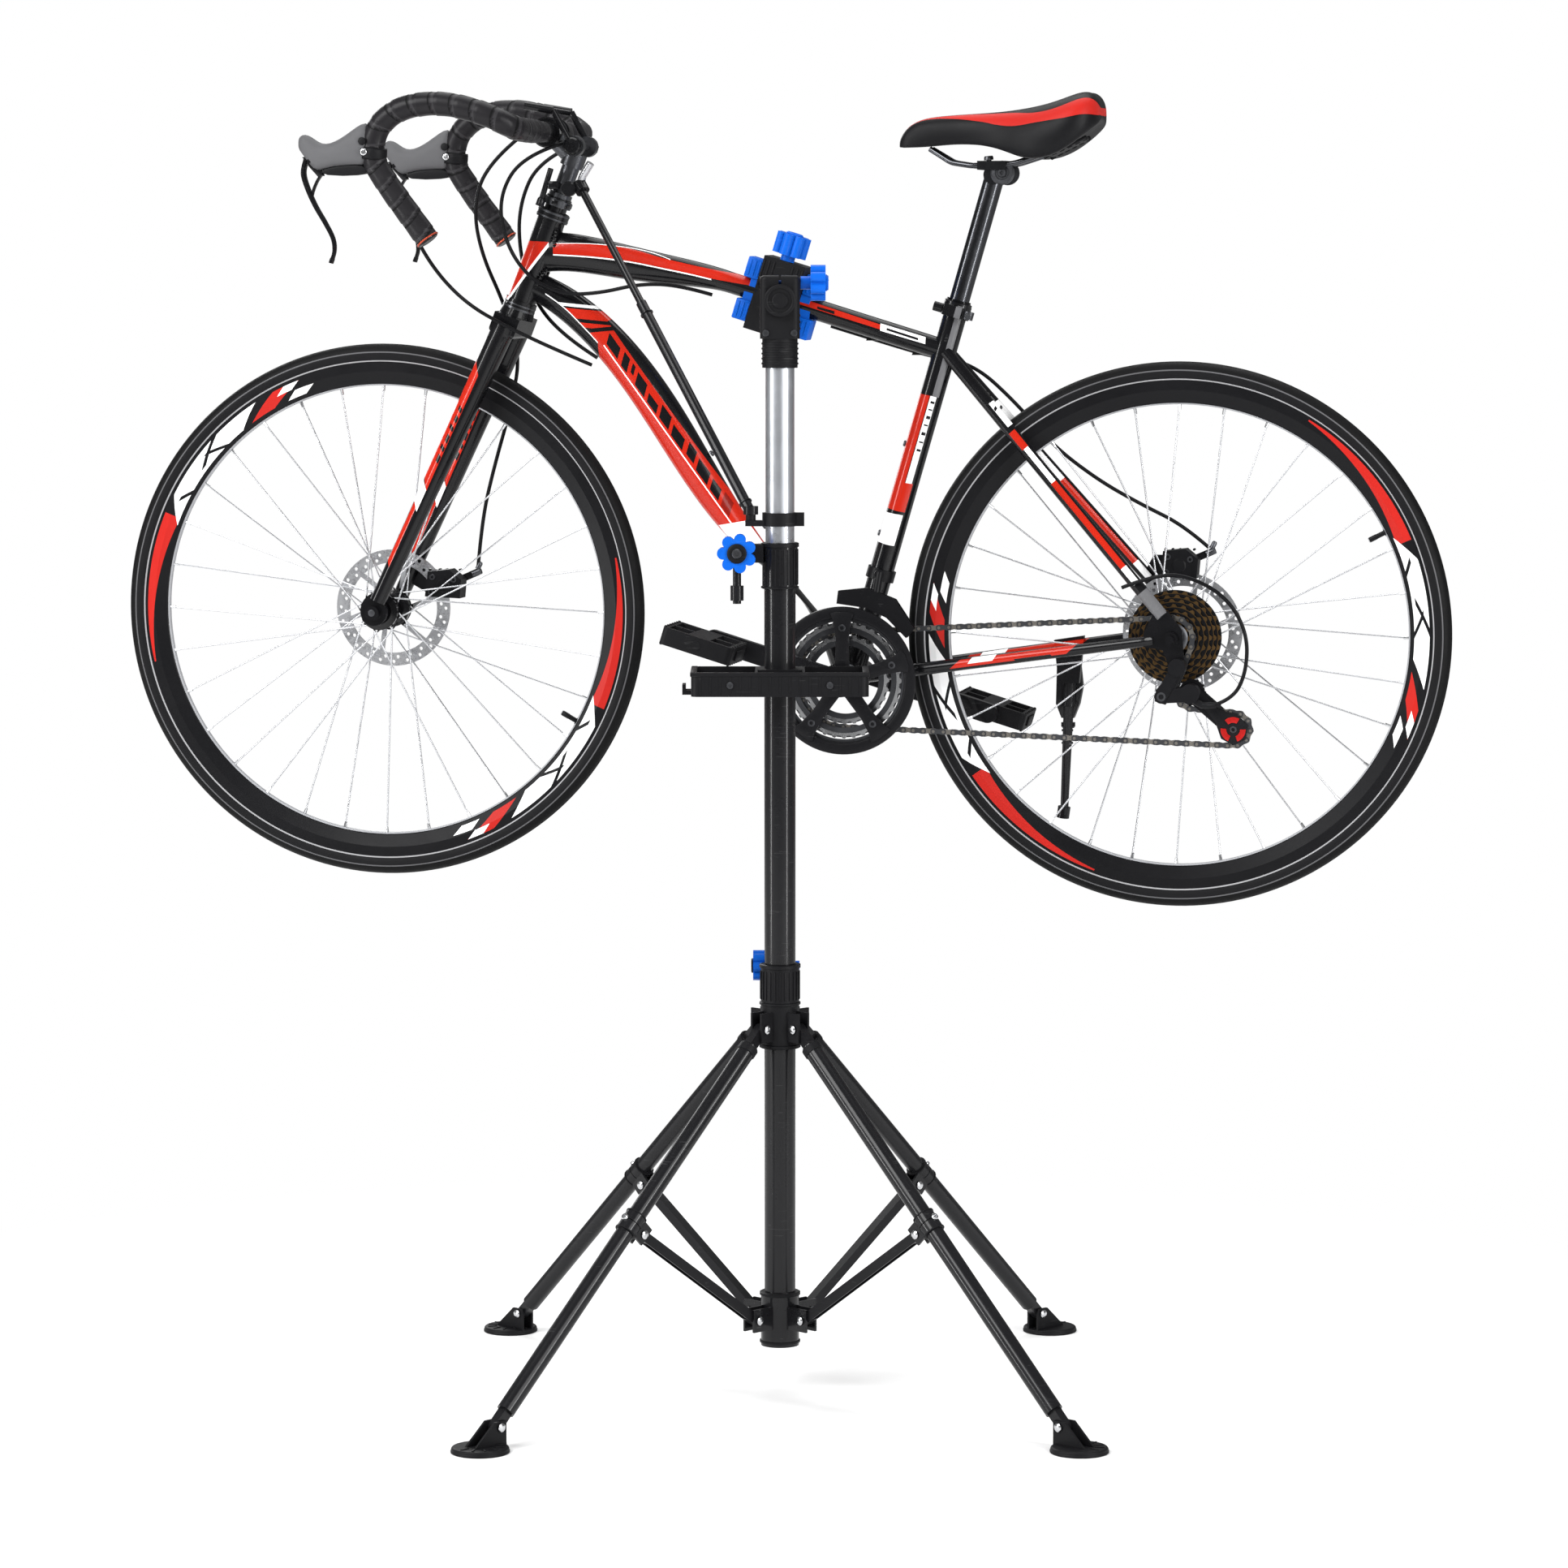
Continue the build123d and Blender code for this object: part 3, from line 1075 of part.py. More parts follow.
with BuildPart() as front_caliper:
    front_place = (-441.0, 966.0)
    caliper(front_place, front_rotor_plane, front_hub_centre)
    side_plate([(-486, 988), (-490, 968), (-458, 950), (-455, 985)], 50, 58)
    add(fork.part, mode=Mode.SUBTRACT)
save_hung(front_caliper.part, "front_caliper")

with BuildPart() as rear_caliper:
    rear_place = (504.0, 1002.0)
    caliper(rear_place, rear_rotor_plane, rear_hub_centre)
    side_plate([(462, 999), (475, 984), (490, 990), (490, 1014), (470, 1014)], 57, 65)
    add(seat_stays.part, mode=Mode.SUBTRACT)
save_hung(rear_caliper.part, "rear_caliper")

# ---------------------------------------------------------------- saddle and post
rail_radius = 3.5
rail_points = [
    (-80.0, 9.0, 32.0),
    (-52.0, 17.0, 15.0),
    (-26.0, 22.0, 11.0),
    (26.0, 22.0, 13.0),
    (66.0, 24.0, 26.0),
    (100.0, 26.0, 54.0),
]
rail_radii = [25, 25, 60, 60]


def rail_route(sign):
    return [(post_head.X + x, bike_y + sign * y, post_head.Z + z) for x, y, z in rail_points]


with BuildPart() as seat_post:
    bar(tuple(seat_crest - seat_axis * (post_length - post_rise)), tuple(post_head), post_radius)
    for sign in (-1, 1):
        cord(rail_route(sign), rail_radii, rail_radius)
    head = Plane(origin=post_head + Vector(0, 0, 11), z_dir=(0, 0, 1))
    block(head, (-18, -28, -5), (18, 28, 6))
    disc(post_head, -16, 16, 12)
    disc(post_head + Vector(11, 0, 2), -24, 24, 6)
save_hung(seat_post.part, "seat_post")

# saddle sections: distance from the post head, lowest, highest, half width
saddle_profile = [
    (-117.0, 33.0, 48.0, 13.0),
    (-92.0, 27.0, 62.0, 19.0),
    (-38.0, 20.0, 69.0, 26.0),
    (22.0, 19.0, 76.0, 46.0),
    (72.0, 31.0, 89.0, 70.0),
    (112.0, 53.0, 101.0, 72.0),
    (134.0, 70.0, 98.0, 52.0),
]
with BuildPart() as saddle:
    faces = []
    for x, low, high, half in saddle_profile:
        origin = (post_head.X + x, bike_y, post_head.Z + (low + high) / 2)
        with BuildSketch(Plane(origin=origin, x_dir=(0, 1, 0), z_dir=(1, 0, 0))) as section:
            Ellipse(half, (high - low) / 2)
        faces.append(section.sketch.face())
    loft(faces)
    for sign in (-1, 1):
        with BuildLine() as route:
            FilletPolyline(*rail_route(sign), radius=rail_radii)
        with BuildSketch(Plane(origin=route.line @ 0, z_dir=route.line % 0)) as section:
            Circle(rail_radius + seat_gap)
        sweep(section.sketch, path=route.line, mode=Mode.SUBTRACT)
    for sign in (-1, 1):
        first = Vector(*rail_route(sign)[0])
        second = Vector(*rail_route(sign)[1])
        last = Vector(*rail_route(sign)[-1])
        before = Vector(*rail_route(sign)[-2])
        bar(tuple(first), tuple(first + (first - second).normalized() * seat_gap), rail_radius + seat_gap,
            Mode.SUBTRACT)
        bar(tuple(last), tuple(last + (last - before).normalized() * seat_gap), rail_radius + seat_gap,
            Mode.SUBTRACT)
    block(head, (-19, -29, -6), (19, 29, 7), Mode.SUBTRACT)
save_hung(saddle.part, "saddle")

# ---------------------------------------------------------------- cables
cable_radius = 2.4


def cable(points):
    """A housing through points, with an arc as large as its runs allow at each one."""
    places = [Vector(*point) for point in points]
    radii = []
    for before, here, after in zip(places, places[1:], places[2:]):
        turn = radians((here - before).get_angle(after - here))
        shorter = min((here - before).length, (after - here).length)
        radii.append(0.45 * shorter / tan(turn / 2))
    cord(points, radii, cable_radius)


front_routes = [
    # front brake, down the back of the far fork blade
    [(-321, 205, 1534), (-366, 212, 1500), (-388, 234, 1445), (-386, 268, 1388), (-366, 299, 1328),
     (-346, 310, 1262), (-358, 303, 1192), (-379, 299, 1118), (-396, 301, 1050), (-403.4, 308, 986.9)],
    # rear brake, from the near drop to the down tube
    [(-441, 60, 1458), (-428, 96, 1410), (-410, 144, 1362), (-378, 174, 1324), (-330, 184, 1297),
     (-280, 200, 1272), (-232, 219.5, 1250)],
    # shift cable looping under the top tube
    [(-265.0, 209, 1527), (-312, 190, 1512), (-344, 190, 1462), (-340, 204, 1404), (-312, 216, 1358),
     (-268, 221, 1338), (-222, 223, 1340), (-170, 224, 1352), (-120, 227, 1350), (-80, 234, 1338)],
    # shift cable to the far side of the down tube
    [(-265.0, 281, 1527), (-318, 298, 1508), (-346, 302, 1450), (-342, 292, 1384), (-318, 280, 1324),
     (-276, 272, 1282), (-236, 268, 1258)],
]
rear_routes = [
    # under the top tube, past the seat tube, down the far seat stay to the rear brake
    [(66, 263, 1299), (130, 265, 1279.5), (190, 268, 1262), (246, 272, 1252), (298, 281, 1204),
     (344, 289, 1150), (402, 297, 1106), (456, 303, 1076), (506, 312, 1051), (537.6, 317.4, 1023.1)],
    # loop to the rear derailleur
    [(447, 171, 981), (494, 167, 1000), (538, 166, 994), (580, 166, 968), (603, 164, 926), (602, 164, 880),
     (586, 165.8, 846), (561.2, 165.2, 838)],
]
with BuildPart() as front_cables:
    for route in front_routes:
        cable(route)
save_hung(front_cables.part, "front_cables")

with BuildPart() as rear_cables:
    for route in rear_routes:
        cable(route)
save_hung(rear_cables.part, "rear_cables")
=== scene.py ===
from math import asin, atan2, cos, degrees, hypot, pi, radians, sin, tan

import bmesh
import bpy
from mathutils import Matrix, Vector


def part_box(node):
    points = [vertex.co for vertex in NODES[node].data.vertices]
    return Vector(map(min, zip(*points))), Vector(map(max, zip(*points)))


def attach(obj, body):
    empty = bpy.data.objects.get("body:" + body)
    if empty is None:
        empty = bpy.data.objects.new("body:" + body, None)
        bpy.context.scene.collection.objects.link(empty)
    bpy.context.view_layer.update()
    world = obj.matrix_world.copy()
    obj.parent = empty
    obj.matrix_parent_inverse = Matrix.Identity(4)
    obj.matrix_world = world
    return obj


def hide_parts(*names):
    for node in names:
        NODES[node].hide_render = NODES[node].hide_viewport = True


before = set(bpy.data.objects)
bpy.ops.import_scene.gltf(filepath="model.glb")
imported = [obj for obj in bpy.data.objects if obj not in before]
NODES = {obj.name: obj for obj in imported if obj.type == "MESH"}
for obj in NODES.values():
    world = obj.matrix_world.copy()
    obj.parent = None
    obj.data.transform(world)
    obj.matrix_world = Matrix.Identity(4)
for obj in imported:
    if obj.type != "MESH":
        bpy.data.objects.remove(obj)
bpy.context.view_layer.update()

bl_info = {
    "name": "Bicycle on a repair stand",
    "version": (1, 0, 0),
    "blender": (4, 5, 0),
    "location": "View3D > Sidebar > Bike Stand",
    "description": "Dresses a road bicycle held in a folding repair stand",
    "category": "Object",
}

MM = 0.001
BIKE_Y = 245.0  # the bicycle's middle plane


# ---- places, in millimetres
def on_bike(point, off=0.0):
    """A point of the side view, set off from the bicycle's middle plane."""
    return Vector((point[0], BIKE_Y + off, point[1]))


def across(distance):
    """A step square to the bicycle's middle plane."""
    return Vector((0, distance, 0))


def spoke(turn):
    """The direction at an angle in the side view."""
    return Vector((cos(turn), 0, sin(turn)))


FRONT_AXLE = (-509.5, 936.5)
REAR_AXLE = (508.0, 918.3)
CRANK = (96.0, 860.0)
STEER = spoke(radians(69))  # up along the steering axis
HEAD = on_bike((-331.5, 1322.0))
STEM_TOP = HEAD + STEER * 127
SEAT_RUN = spoke(radians(74))  # up along the seat tube
SEAT_LENGTH = 485
SEAT_TOP = on_bike(CRANK) + SEAT_RUN * SEAT_LENGTH
BAR_CENTRE = on_bike((-290, 1541))
BAR_HALF = 200  # from the middle plane to a drop of the bar
MAST_X = 52.0
YAW = radians(11)  # the stand's turn about its mast
RIM_OUTER = 316.0
RIM_INNER = 286.0
TYRE_OUTER = 339.0
TYRE_RADIUS = 14.0
CLAMP = Vector((MAST_X - BIKE_Y * tan(YAW), BIKE_Y, 1334.0))
SLOPE = radians(17.06)  # the top tube's fall in the jaws
LEG_PLACES = ("rear_far", "front_far", "front_near", "rear_near")


def stand_place(x=0.0, y=0.0, z=0.0):
    """The stand's own directions at one of its points."""
    return Matrix.Translation((MAST_X, 0, 0)) @ Matrix.Rotation(YAW, 4, "Z") @ Matrix.Translation((x, y, z))


def grip_place(x=0.0, y=0.0, z=0.0):
    """The clamp's directions: x along the top tube, z across it."""
    return Matrix.Translation(CLAMP) @ Matrix.Rotation(SLOPE, 4, "Y") @ Matrix.Translation((x, y, z))


def aim(origin, run, up=Vector((0, 0, 1))):
    """A place whose z axis follows a direction."""
    z = Vector(run).normalized()
    x = Vector(up).cross(z)
    if x.length < 1e-6:
        x = Vector((1, 0, 0)).cross(z)
    x.normalize()
    turn = Matrix((x, z.cross(x), z)).transposed().to_4x4()
    return Matrix.Translation(Vector(origin)) @ turn


def stand_aim(origin, run):
    """A place on the stand that faces one of the stand's own directions."""
    return aim(stand_place() @ Vector(origin), stand_place().to_3x3() @ Vector(run))


def turn_y(angle):
    """A turn about an axis that lies across the bicycle."""
    return Matrix.Rotation(angle, 4, "Y")


# ---- adjustable sizes and colours
def shade(red, green, blue):
    """A linear colour from the 0 to 255 values that a display shows."""
    linear = []
    for value in (red, green, blue):
        value /= 255
        linear.append(value / 12.92 if value <= 0.04045 else ((value + 0.055) / 1.055) ** 2.4)
    return (*linear, 1.0)


def colour_property(name, description, value):
    return bpy.props.FloatVectorProperty(name=name, description=description, subtype="COLOR", size=4,
                                         min=0.0, max=1.0, default=value)


def length_property(name, description, value):
    return bpy.props.FloatProperty(name=name, description=description, subtype="DISTANCE", unit="LENGTH",
                                   min=0.0, default=value)


def power_property(name, description, value):
    return bpy.props.FloatProperty(name=name, description=description, unit="POWER", min=0.0, default=value)


class BikeColours(bpy.types.PropertyGroup):
    frame_black: colour_property("Frame black", "Base coat of the bicycle frame", shade(13, 13, 15))
    frame_red: colour_property("Frame red", "Red panels of frame and fork", shade(174, 32, 15))
    rim_red: colour_property("Rim red", "Red bands on the rims", shade(172, 33, 27))
    frame_white: colour_property("Frame white", "White patches and lines", shade(232, 232, 232))
    tyre: colour_property("Tyre", "Tyre rubber", shade(9, 9, 10))
    tape: colour_property("Bar tape", "Handlebar tape", shade(30, 29, 31))
    saddle: colour_property("Saddle", "Saddle cover", shade(15, 15, 17))
    bronze: colour_property("Sprockets", "Bronze finish of the sprockets", shade(98, 76, 48))


class StandColours(bpy.types.PropertyGroup):
    plastic: colour_property("Stand plastic", "Moulded collars, feet and clamp", shade(16, 16, 18))
    tube: colour_property("Stand tube", "Coated tube of mast and legs", shade(20, 20, 22))
    silver: colour_property("Mast silver", "Bare inner mast", shade(176, 179, 184))
    blue: colour_property("Blue knobs", "Knobs and pad ends", shade(8, 86, 186))


class DetailSizes(bpy.types.PropertyGroup):
    tread_depth: length_property("Tread depth", "Depth of the grooves in the tyre tread", 0.0006)
    tape_step: length_property("Tape step", "Distance between the turns of the handlebar tape", 0.026)
    cable_diameter: length_property("Cable diameter", "Outer diameter of the cable housings", 0.0048)
    bead_radius: length_property("Weld bead", "Radius of the weld beads of the frame", 0.0022)
    chain_pitch: length_property("Chain pitch", "Distance between the chain's pins", 0.0127)


class StageSettings(bpy.types.PropertyGroup):
    floor: colour_property("Floor", "Pale studio floor", shade(236, 236, 236))
    key_power: power_property("Key lamp", "Power of the main soft lamp", 290.0)
    fill_power: power_property("Fill lamp", "Power of the filling lamp", 130.0)
    strip_power: power_property("Strip lamps", "Power of the two tall lamps", 90.0)
    world_light: bpy.props.FloatProperty(name="World light", description="Even white light from all round",
                                         subtype="FACTOR", min=0.0, default=0.2)
    lens: bpy.props.FloatProperty(name="Lens", description="Focal length of the camera",
                                  subtype="DISTANCE_CAMERA", unit="CAMERA", min=1.0, default=122.64)


def colours(*names):
    """Colours of the two colour groups, as plain tuples."""
    scene = bpy.context.scene
    groups = (scene.bike_colours, scene.stand_colours)
    return [tuple(getattr(group, name)) for name in names for group in groups if hasattr(group, name)]


def sizes():
    return bpy.context.scene.detail_sizes


# ---- shader helpers
class Number:
    """A value in a shader: arithmetic and comparisons on it make math nodes."""

    def __init__(self, tree, socket):
        self.tree, self.socket = tree, socket

    def __add__(self, other):
        return calc(self.tree, "ADD", self, other)

    def __sub__(self, other):
        return calc(self.tree, "SUBTRACT", self, other)

    def __mul__(self, other):
        return calc(self.tree, "MULTIPLY", self, other)

    def __gt__(self, other):
        return calc(self.tree, "GREATER_THAN", self, other)

    def __lt__(self, other):
        return calc(self.tree, "LESS_THAN", self, other)

    def __abs__(self):
        return calc(self.tree, "ABSOLUTE", self)


def put(tree, socket, value):
    """Link a socket to another, or give it a plain value."""
    if isinstance(value, Number):
        value = value.socket
    if isinstance(value, bpy.types.NodeSocket):
        tree.links.new(value, socket)
    else:
        socket.default_value = value


def node(tree, kind, output=0, **values):
    """A new node with its inputs set or linked; names with spaces are written with underscores."""
    made = tree.nodes.new("ShaderNode" + kind)
    for key, value in values.items():
        put(tree, made.inputs[key.replace("_", " ")], value)
    return Number(tree, made.outputs[output])


def calc(tree, operation, *values):
    made = tree.nodes.new("ShaderNodeMath")
    made.operation = operation
    for socket, value in zip(made.inputs, values):
        put(tree, socket, value)
    return Number(tree, made.outputs[0])


def vector_calc(tree, operation, *values):
    made = tree.nodes.new("ShaderNodeVectorMath")
    made.operation = operation
    for socket, value in zip(made.inputs, values):
        put(tree, socket, value)
    return Number(tree, made.outputs["Value" if operation in ("DOT_PRODUCT", "LENGTH") else "Vector"])


def mixed(tree, mask, first, second):
    """Second colour over the first where the mask is one."""
    made = tree.nodes.new("ShaderNodeMix")
    made.data_type = "RGBA"
    for number, value in ((0, mask), (6, first), (7, second)):
        put(tree, made.inputs[number], value)
    return Number(tree, made.outputs[2])


def shaders_mixed(tree, mask, first, second):
    """Second shader over the first where the mask is one."""
    made = tree.nodes.new("ShaderNodeMixShader")
    for socket, value in zip(made.inputs, (mask, first, second)):
        put(tree, socket, value)
    return Number(tree, made.outputs[0])


def spread(tree, value, low, high):
    """A value from 0 to 1 brought between two limits."""
    return node(tree, "MapRange", "Result", Value=value, To_Min=low, To_Max=high)


def share(tree, value, first, last):
    """How far a value has come from a first limit to a last, from 0 to 1."""
    return node(tree, "MapRange", "Result", Value=value, From_Min=first, From_Max=last)


def float_curve(tree, value, points):
    """A smooth curve through points from 0 to 1."""
    made = tree.nodes.new("ShaderNodeFloatCurve")
    line = made.mapping.curves[0]
    while len(line.points) < len(points):
        line.points.new(0.5, 0.5)
    for point, place in zip(line.points, points):
        point.location = place
    made.mapping.update()
    put(tree, made.inputs["Value"], value)
    return Number(tree, made.outputs[0])


def attribute(tree, name):
    made = tree.nodes.new("ShaderNodeAttribute")
    made.attribute_name = name
    return Number(tree, made.outputs["Fac"])


def noise(tree, place, scale, detail=3.0, roughness=0.55):
    return node(tree, "TexNoise", Vector=place, Scale=scale, Detail=detail, Roughness=roughness)


def object_place(tree):
    return node(tree, "TexCoord", "Object")


def parts_of(tree, vector):
    made = tree.nodes.new("ShaderNodeSeparateXYZ")
    put(tree, made.inputs[0], vector)
    return [Number(tree, socket) for socket in made.outputs]


def inside(value, low, high):
    """One where a value lies between two limits."""
    return (value > low) * (value < high)


EFFECTS = {}


def effect(name, inputs, outputs, fill):
    """A node group that several finishes share; a star marks a vector among its sockets."""
    tree = bpy.data.node_groups.new(name, "ShaderNodeTree")
    for labels, way in ((inputs, "INPUT"), (outputs, "OUTPUT")):
        for label in labels.split():
            kind = "NodeSocketVector" if "*" in label else "NodeSocketFloat"
            tree.interface.new_socket(label.strip("*"), in_out=way, socket_type=kind)
    given = [Number(tree, socket) for socket in tree.nodes.new("NodeGroupInput").outputs[:-1]]
    for socket, value in zip(tree.nodes.new("NodeGroupOutput").inputs, fill(tree, *given)):
        put(tree, socket, value)
    EFFECTS[name] = tree


def use(tree, name, **values):
    """The outputs of an effect placed in a finish."""
    made = tree.nodes.new("ShaderNodeGroup")
    made.node_tree = EFFECTS[name]
    made.label = name
    for key, value in values.items():
        put(tree, made.inputs[key], value)
    return [Number(tree, socket) for socket in made.outputs]


def tube_place(tree, start, axis, up):
    """Distance along and across a straight tube, in millimetres."""
    offset = vector_calc(tree, "SUBTRACT", object_place(tree), start)
    return [vector_calc(tree, "DOT_PRODUCT", offset, run) * 1000.0 for run in (axis, up)]


def painted_panel(tree, along, over, start, end, low, high, slant):
    """One where a place lies in a slanted panel."""
    return [inside(along + slant * over, start, end) * (over > low) * (over < high)]


def wheel_place(tree, centre):
    """Radius in millimetres, turn in degrees and distance to the side, about a wheel's axle."""
    x, y, z = parts_of(tree, vector_calc(tree, "SUBTRACT", object_place(tree), centre))
    turn = calc(tree, "DEGREES", calc(tree, "ARCTAN2", z, x))
    return calc(tree, "SQRT", x * x + z * z) * 1000.0, turn, y * 1000.0


def ring_arc(tree, radius, turn, first, sweep, inner, outer, slant, taper):
    """One where a place lies in an arc of a ring, whose inner edge moves out along it by the taper."""
    turn = calc(tree, "FLOORED_MODULO", turn - first + slant * (radius - inner), 360.0)
    return [(turn < sweep) * (radius > inner + taper * turn) * (radius < outer)]


def fine_grain(tree, size):
    """Fine moulded or cast grain, as a height."""
    return [noise(tree, object_place(tree), calc(tree, "DIVIDE", 1.0, size), 2.0, 0.6)]


def handled_surface(tree, low, high):
    """Rougher and smoother patches left by handling."""
    place = object_place(tree)
    patch = noise(tree, place, 14.0, 4.0, 0.6) * 0.7 + noise(tree, place, 160.0, 2.0, 0.5) * 0.3
    return node(tree, "MapRange", "Result", Value=patch, From_Min=0.3, From_Max=0.7, To_Min=low,
                To_Max=high), patch


def thin_scuffs(tree, amount):
    """Sparse thin scratches, as a mask."""
    lines = noise(tree, vector_calc(tree, "MULTIPLY", object_place(tree), (40.0, 40.0, 900.0)), 1.0, 2.0, 0.5)
    where = noise(tree, object_place(tree), 30.0, 2.0, 0.5)
    return [(lines > 0.66) * (where > 0.56) * amount]


def brushed_lines(tree, stretch):
    """Fine lines across one direction of a worked metal."""
    return [noise(tree, vector_calc(tree, "MULTIPLY", object_place(tree), stretch), 1.0, 3.0, 0.6)]


def make_effects():
    effect("Tube place", "Start* Axis* Up*", "Along Across", tube_place)
    effect("Painted panel", "Along Across Start End Low High Slant", "Mask", painted_panel)
    effect("Wheel place", "Centre*", "Radius Turn Side", wheel_place)
    effect("Ring arc", "Radius Turn From Sweep Inner Outer Slant Taper", "Mask", ring_arc)
    effect("Fine grain", "Size", "Height", fine_grain)
    effect("Handled surface", "Low High", "Roughness Patch", handled_surface)
    effect("Thin scuffs", "Amount", "Mask", thin_scuffs)
    effect("Brushed lines", "Stretch*", "Lines", brushed_lines)


# ---- finishes
MATERIALS = {}


class Look:
    """The colour, roughness and metal of a finish while its layers are laid."""

    def __init__(self, tree, colour, roughness, metal):
        self.tree, self.colour, self.roughness, self.metal = tree, colour, roughness, metal

    def cover(self, mask, colour):
        """Lay a colour over what is there where the mask is one."""
        self.colour = mixed(self.tree, mask, self.colour, colour)


def scaled(colour, factor, lift=0.0):
    """A colour made darker or lighter."""
    return tuple(min(c * factor + lift, 1.0) for c in colour[:3]) + (1.0,)


def finish(name, colour, rough=(0.35, 0.5), metallic=0.0, grain=None, coat=0.0, scuffs=0.0, tone=0.12,
           brushed=None, layers=None, height=None):
    """A surface: base colour with tone variation, layers over it, handled roughness and fine relief."""
    made = MATERIALS[name] = bpy.data.materials.new(name)
    made.use_nodes = True
    tree = made.node_tree
    shader = tree.nodes["Principled BSDF"]
    roughness, patch = use(tree, "Handled surface", Low=rough[0], High=rough[1])
    look = Look(tree, mixed(tree, patch, scaled(colour, 1 - tone), scaled(colour, 1 + tone)), roughness,
                metallic)
    if layers:
        layers(look)
    if scuffs:
        look.cover(use(tree, "Thin scuffs", Amount=scuffs)[0], scaled(colour, 1.6, 0.05))
    if brushed:
        lines, = use(tree, "Brushed lines", Stretch=brushed)
        look.cover(spread(tree, lines, 0.0, 0.5), scaled(colour, 0.7))
        look.roughness = look.roughness + spread(tree, lines, -0.08, 0.08)
    for label, value in (("Base Color", look.colour), ("Roughness", look.roughness), ("Metallic", look.metal),
                         ("Specular IOR Level", 0.12)):
        put(tree, shader.inputs[label], value)
    if coat:
        shader.inputs["Coat Weight"].default_value = coat
        shader.inputs["Coat Roughness"].default_value = 0.06
    relief = height(tree) if height else None
    if grain:
        fine = use(tree, "Fine grain", Size=grain[0])[0] * grain[1]
        relief = relief + fine if relief else fine
    if relief:
        bump = node(tree, "Bump", "Normal", Strength=1.0, Distance=0.001, Height=relief)
        put(tree, shader.inputs["Normal"], bump)


# ---- mesh helpers
def join(bm, part, place=None, index=0):
    """Put a finished part into a piece's mesh, with its faces outwards."""
    if place is not None:
        part.transform(place)
    bmesh.ops.recalc_face_normals(part, faces=part.faces)
    for face in part.faces:
        if index:
            face.material_index = index
    data = bpy.data.meshes.new("part")
    part.to_mesh(data)
    part.free()
    bm.from_mesh(data)
    bpy.data.meshes.remove(data)


def put_in_scene(name, data):
    made = bpy.data.objects.new(name, data)
    bpy.context.scene.collection.objects.link(made)
    return made


def piece(name, bm, body, materials, smooth=35.0, replaces=()):
    """A finished object from a mesh in millimetres, riding on a body."""
    bmesh.ops.scale(bm, vec=(MM, MM, MM), verts=bm.verts)
    limit = radians(smooth)
    for face in bm.faces:
        face.smooth = True
    for edge in bm.edges:
        if len(edge.link_faces) == 2 and edge.calc_face_angle(0.0) > limit:
            edge.smooth = False
    data = bpy.data.meshes.new(name)
    bm.to_mesh(data)
    bm.free()
    for material in (materials if isinstance(materials, list) else [materials]):
        data.materials.append(MATERIALS[material])
    made = put_in_scene(name, data)
    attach(made, body)
    if replaces:
        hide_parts(*replaces)
    return made


def grown_items(grown, kind=bmesh.types.BMVert):
    """What an extrusion has added, of one kind."""
    return [item for item in grown["geom"] if isinstance(item, kind)]


def soften(part, edges, width, segments=2):
    """Round some edges of a part."""
    bmesh.ops.bevel(part, geom=edges, offset=width, segments=segments, profile=0.5, affect="EDGES",
                    material=-1)


def turned(bm, profile, place, steps=32, closed=False, index=0):
    """A profile of (radius, height) turned about the z axis of a place."""
    part = bmesh.new()
    verts = [part.verts.new((radius, 0, height)) for radius, height in profile]
    pairs = list(zip(verts, verts[1:])) + ([(verts[-1], verts[0])] if closed else [])
    edges = [part.edges.new(pair) for pair in pairs]
    bmesh.ops.spin(part, geom=verts + edges, cent=(0, 0, 0), axis=(0, 0, 1), angle=2 * pi, steps=steps,
                   use_merge=True)
    bmesh.ops.remove_doubles(part, verts=part.verts, dist=0.001)
    join(bm, part, place, index)


def band(bm, place, low, high, inner, outer, soft, steps=48, index=0):
    """A ring between two heights, with its outer edges softened."""
    turned(bm, [(inner, low), (outer, low + soft), (outer, high - soft), (inner, high)], place, steps, True,
           index)


def cap(bm, place, radius, side, top, height, steps=28, index=0):
    """A round cap with a straight side and a narrower top."""
    turned(bm, [(0, 0), (radius, 0), (radius, side), (top, height), (0, height)], place, steps, index=index)


def pin(bm, centre, radius, half, steps, index=0):
    """A round pin across the bicycle."""
    turned(bm, [(0, -half), (radius, -half), (radius, half), (0, half)], aim(centre, (0, 1, 0)), steps,
           index=index)


def rod(bm, start, end, radius, end_radius=None, sides=20, soft=0.0, index=0):
    """A round bar or cone between two points."""
    start, end = Vector(start), Vector(end)
    part = bmesh.new()
    length = (end - start).length
    bmesh.ops.create_cone(part, cap_ends=True, segments=sides, radius1=radius,
                          radius2=radius if end_radius is None else end_radius, depth=length)
    if soft:
        soften(part, [e for e in part.edges if abs(e.verts[0].co.z - e.verts[1].co.z) < 1e-6], soft, 3)
    join(bm, part, aim(start, end - start) @ Matrix.Translation((0, 0, length / 2)), index)


def slab(bm, outline, low, high, place=None, soft=0.0, index=0):
    """A flat outline of (x, z) points, thickened along y from low to high."""
    part = bmesh.new()
    face = part.faces.new([part.verts.new((x, low, z)) for x, z in outline])
    grown = bmesh.ops.extrude_face_region(part, geom=[face])
    bmesh.ops.translate(part, vec=(0, high - low, 0), verts=grown_items(grown))
    if soft:
        bmesh.ops.recalc_face_normals(part, faces=part.faces)
        soften(part, [e for e in part.edges if abs(e.verts[0].co.y - e.verts[1].co.y) < 1e-6], soft)
    join(bm, part, place, index)


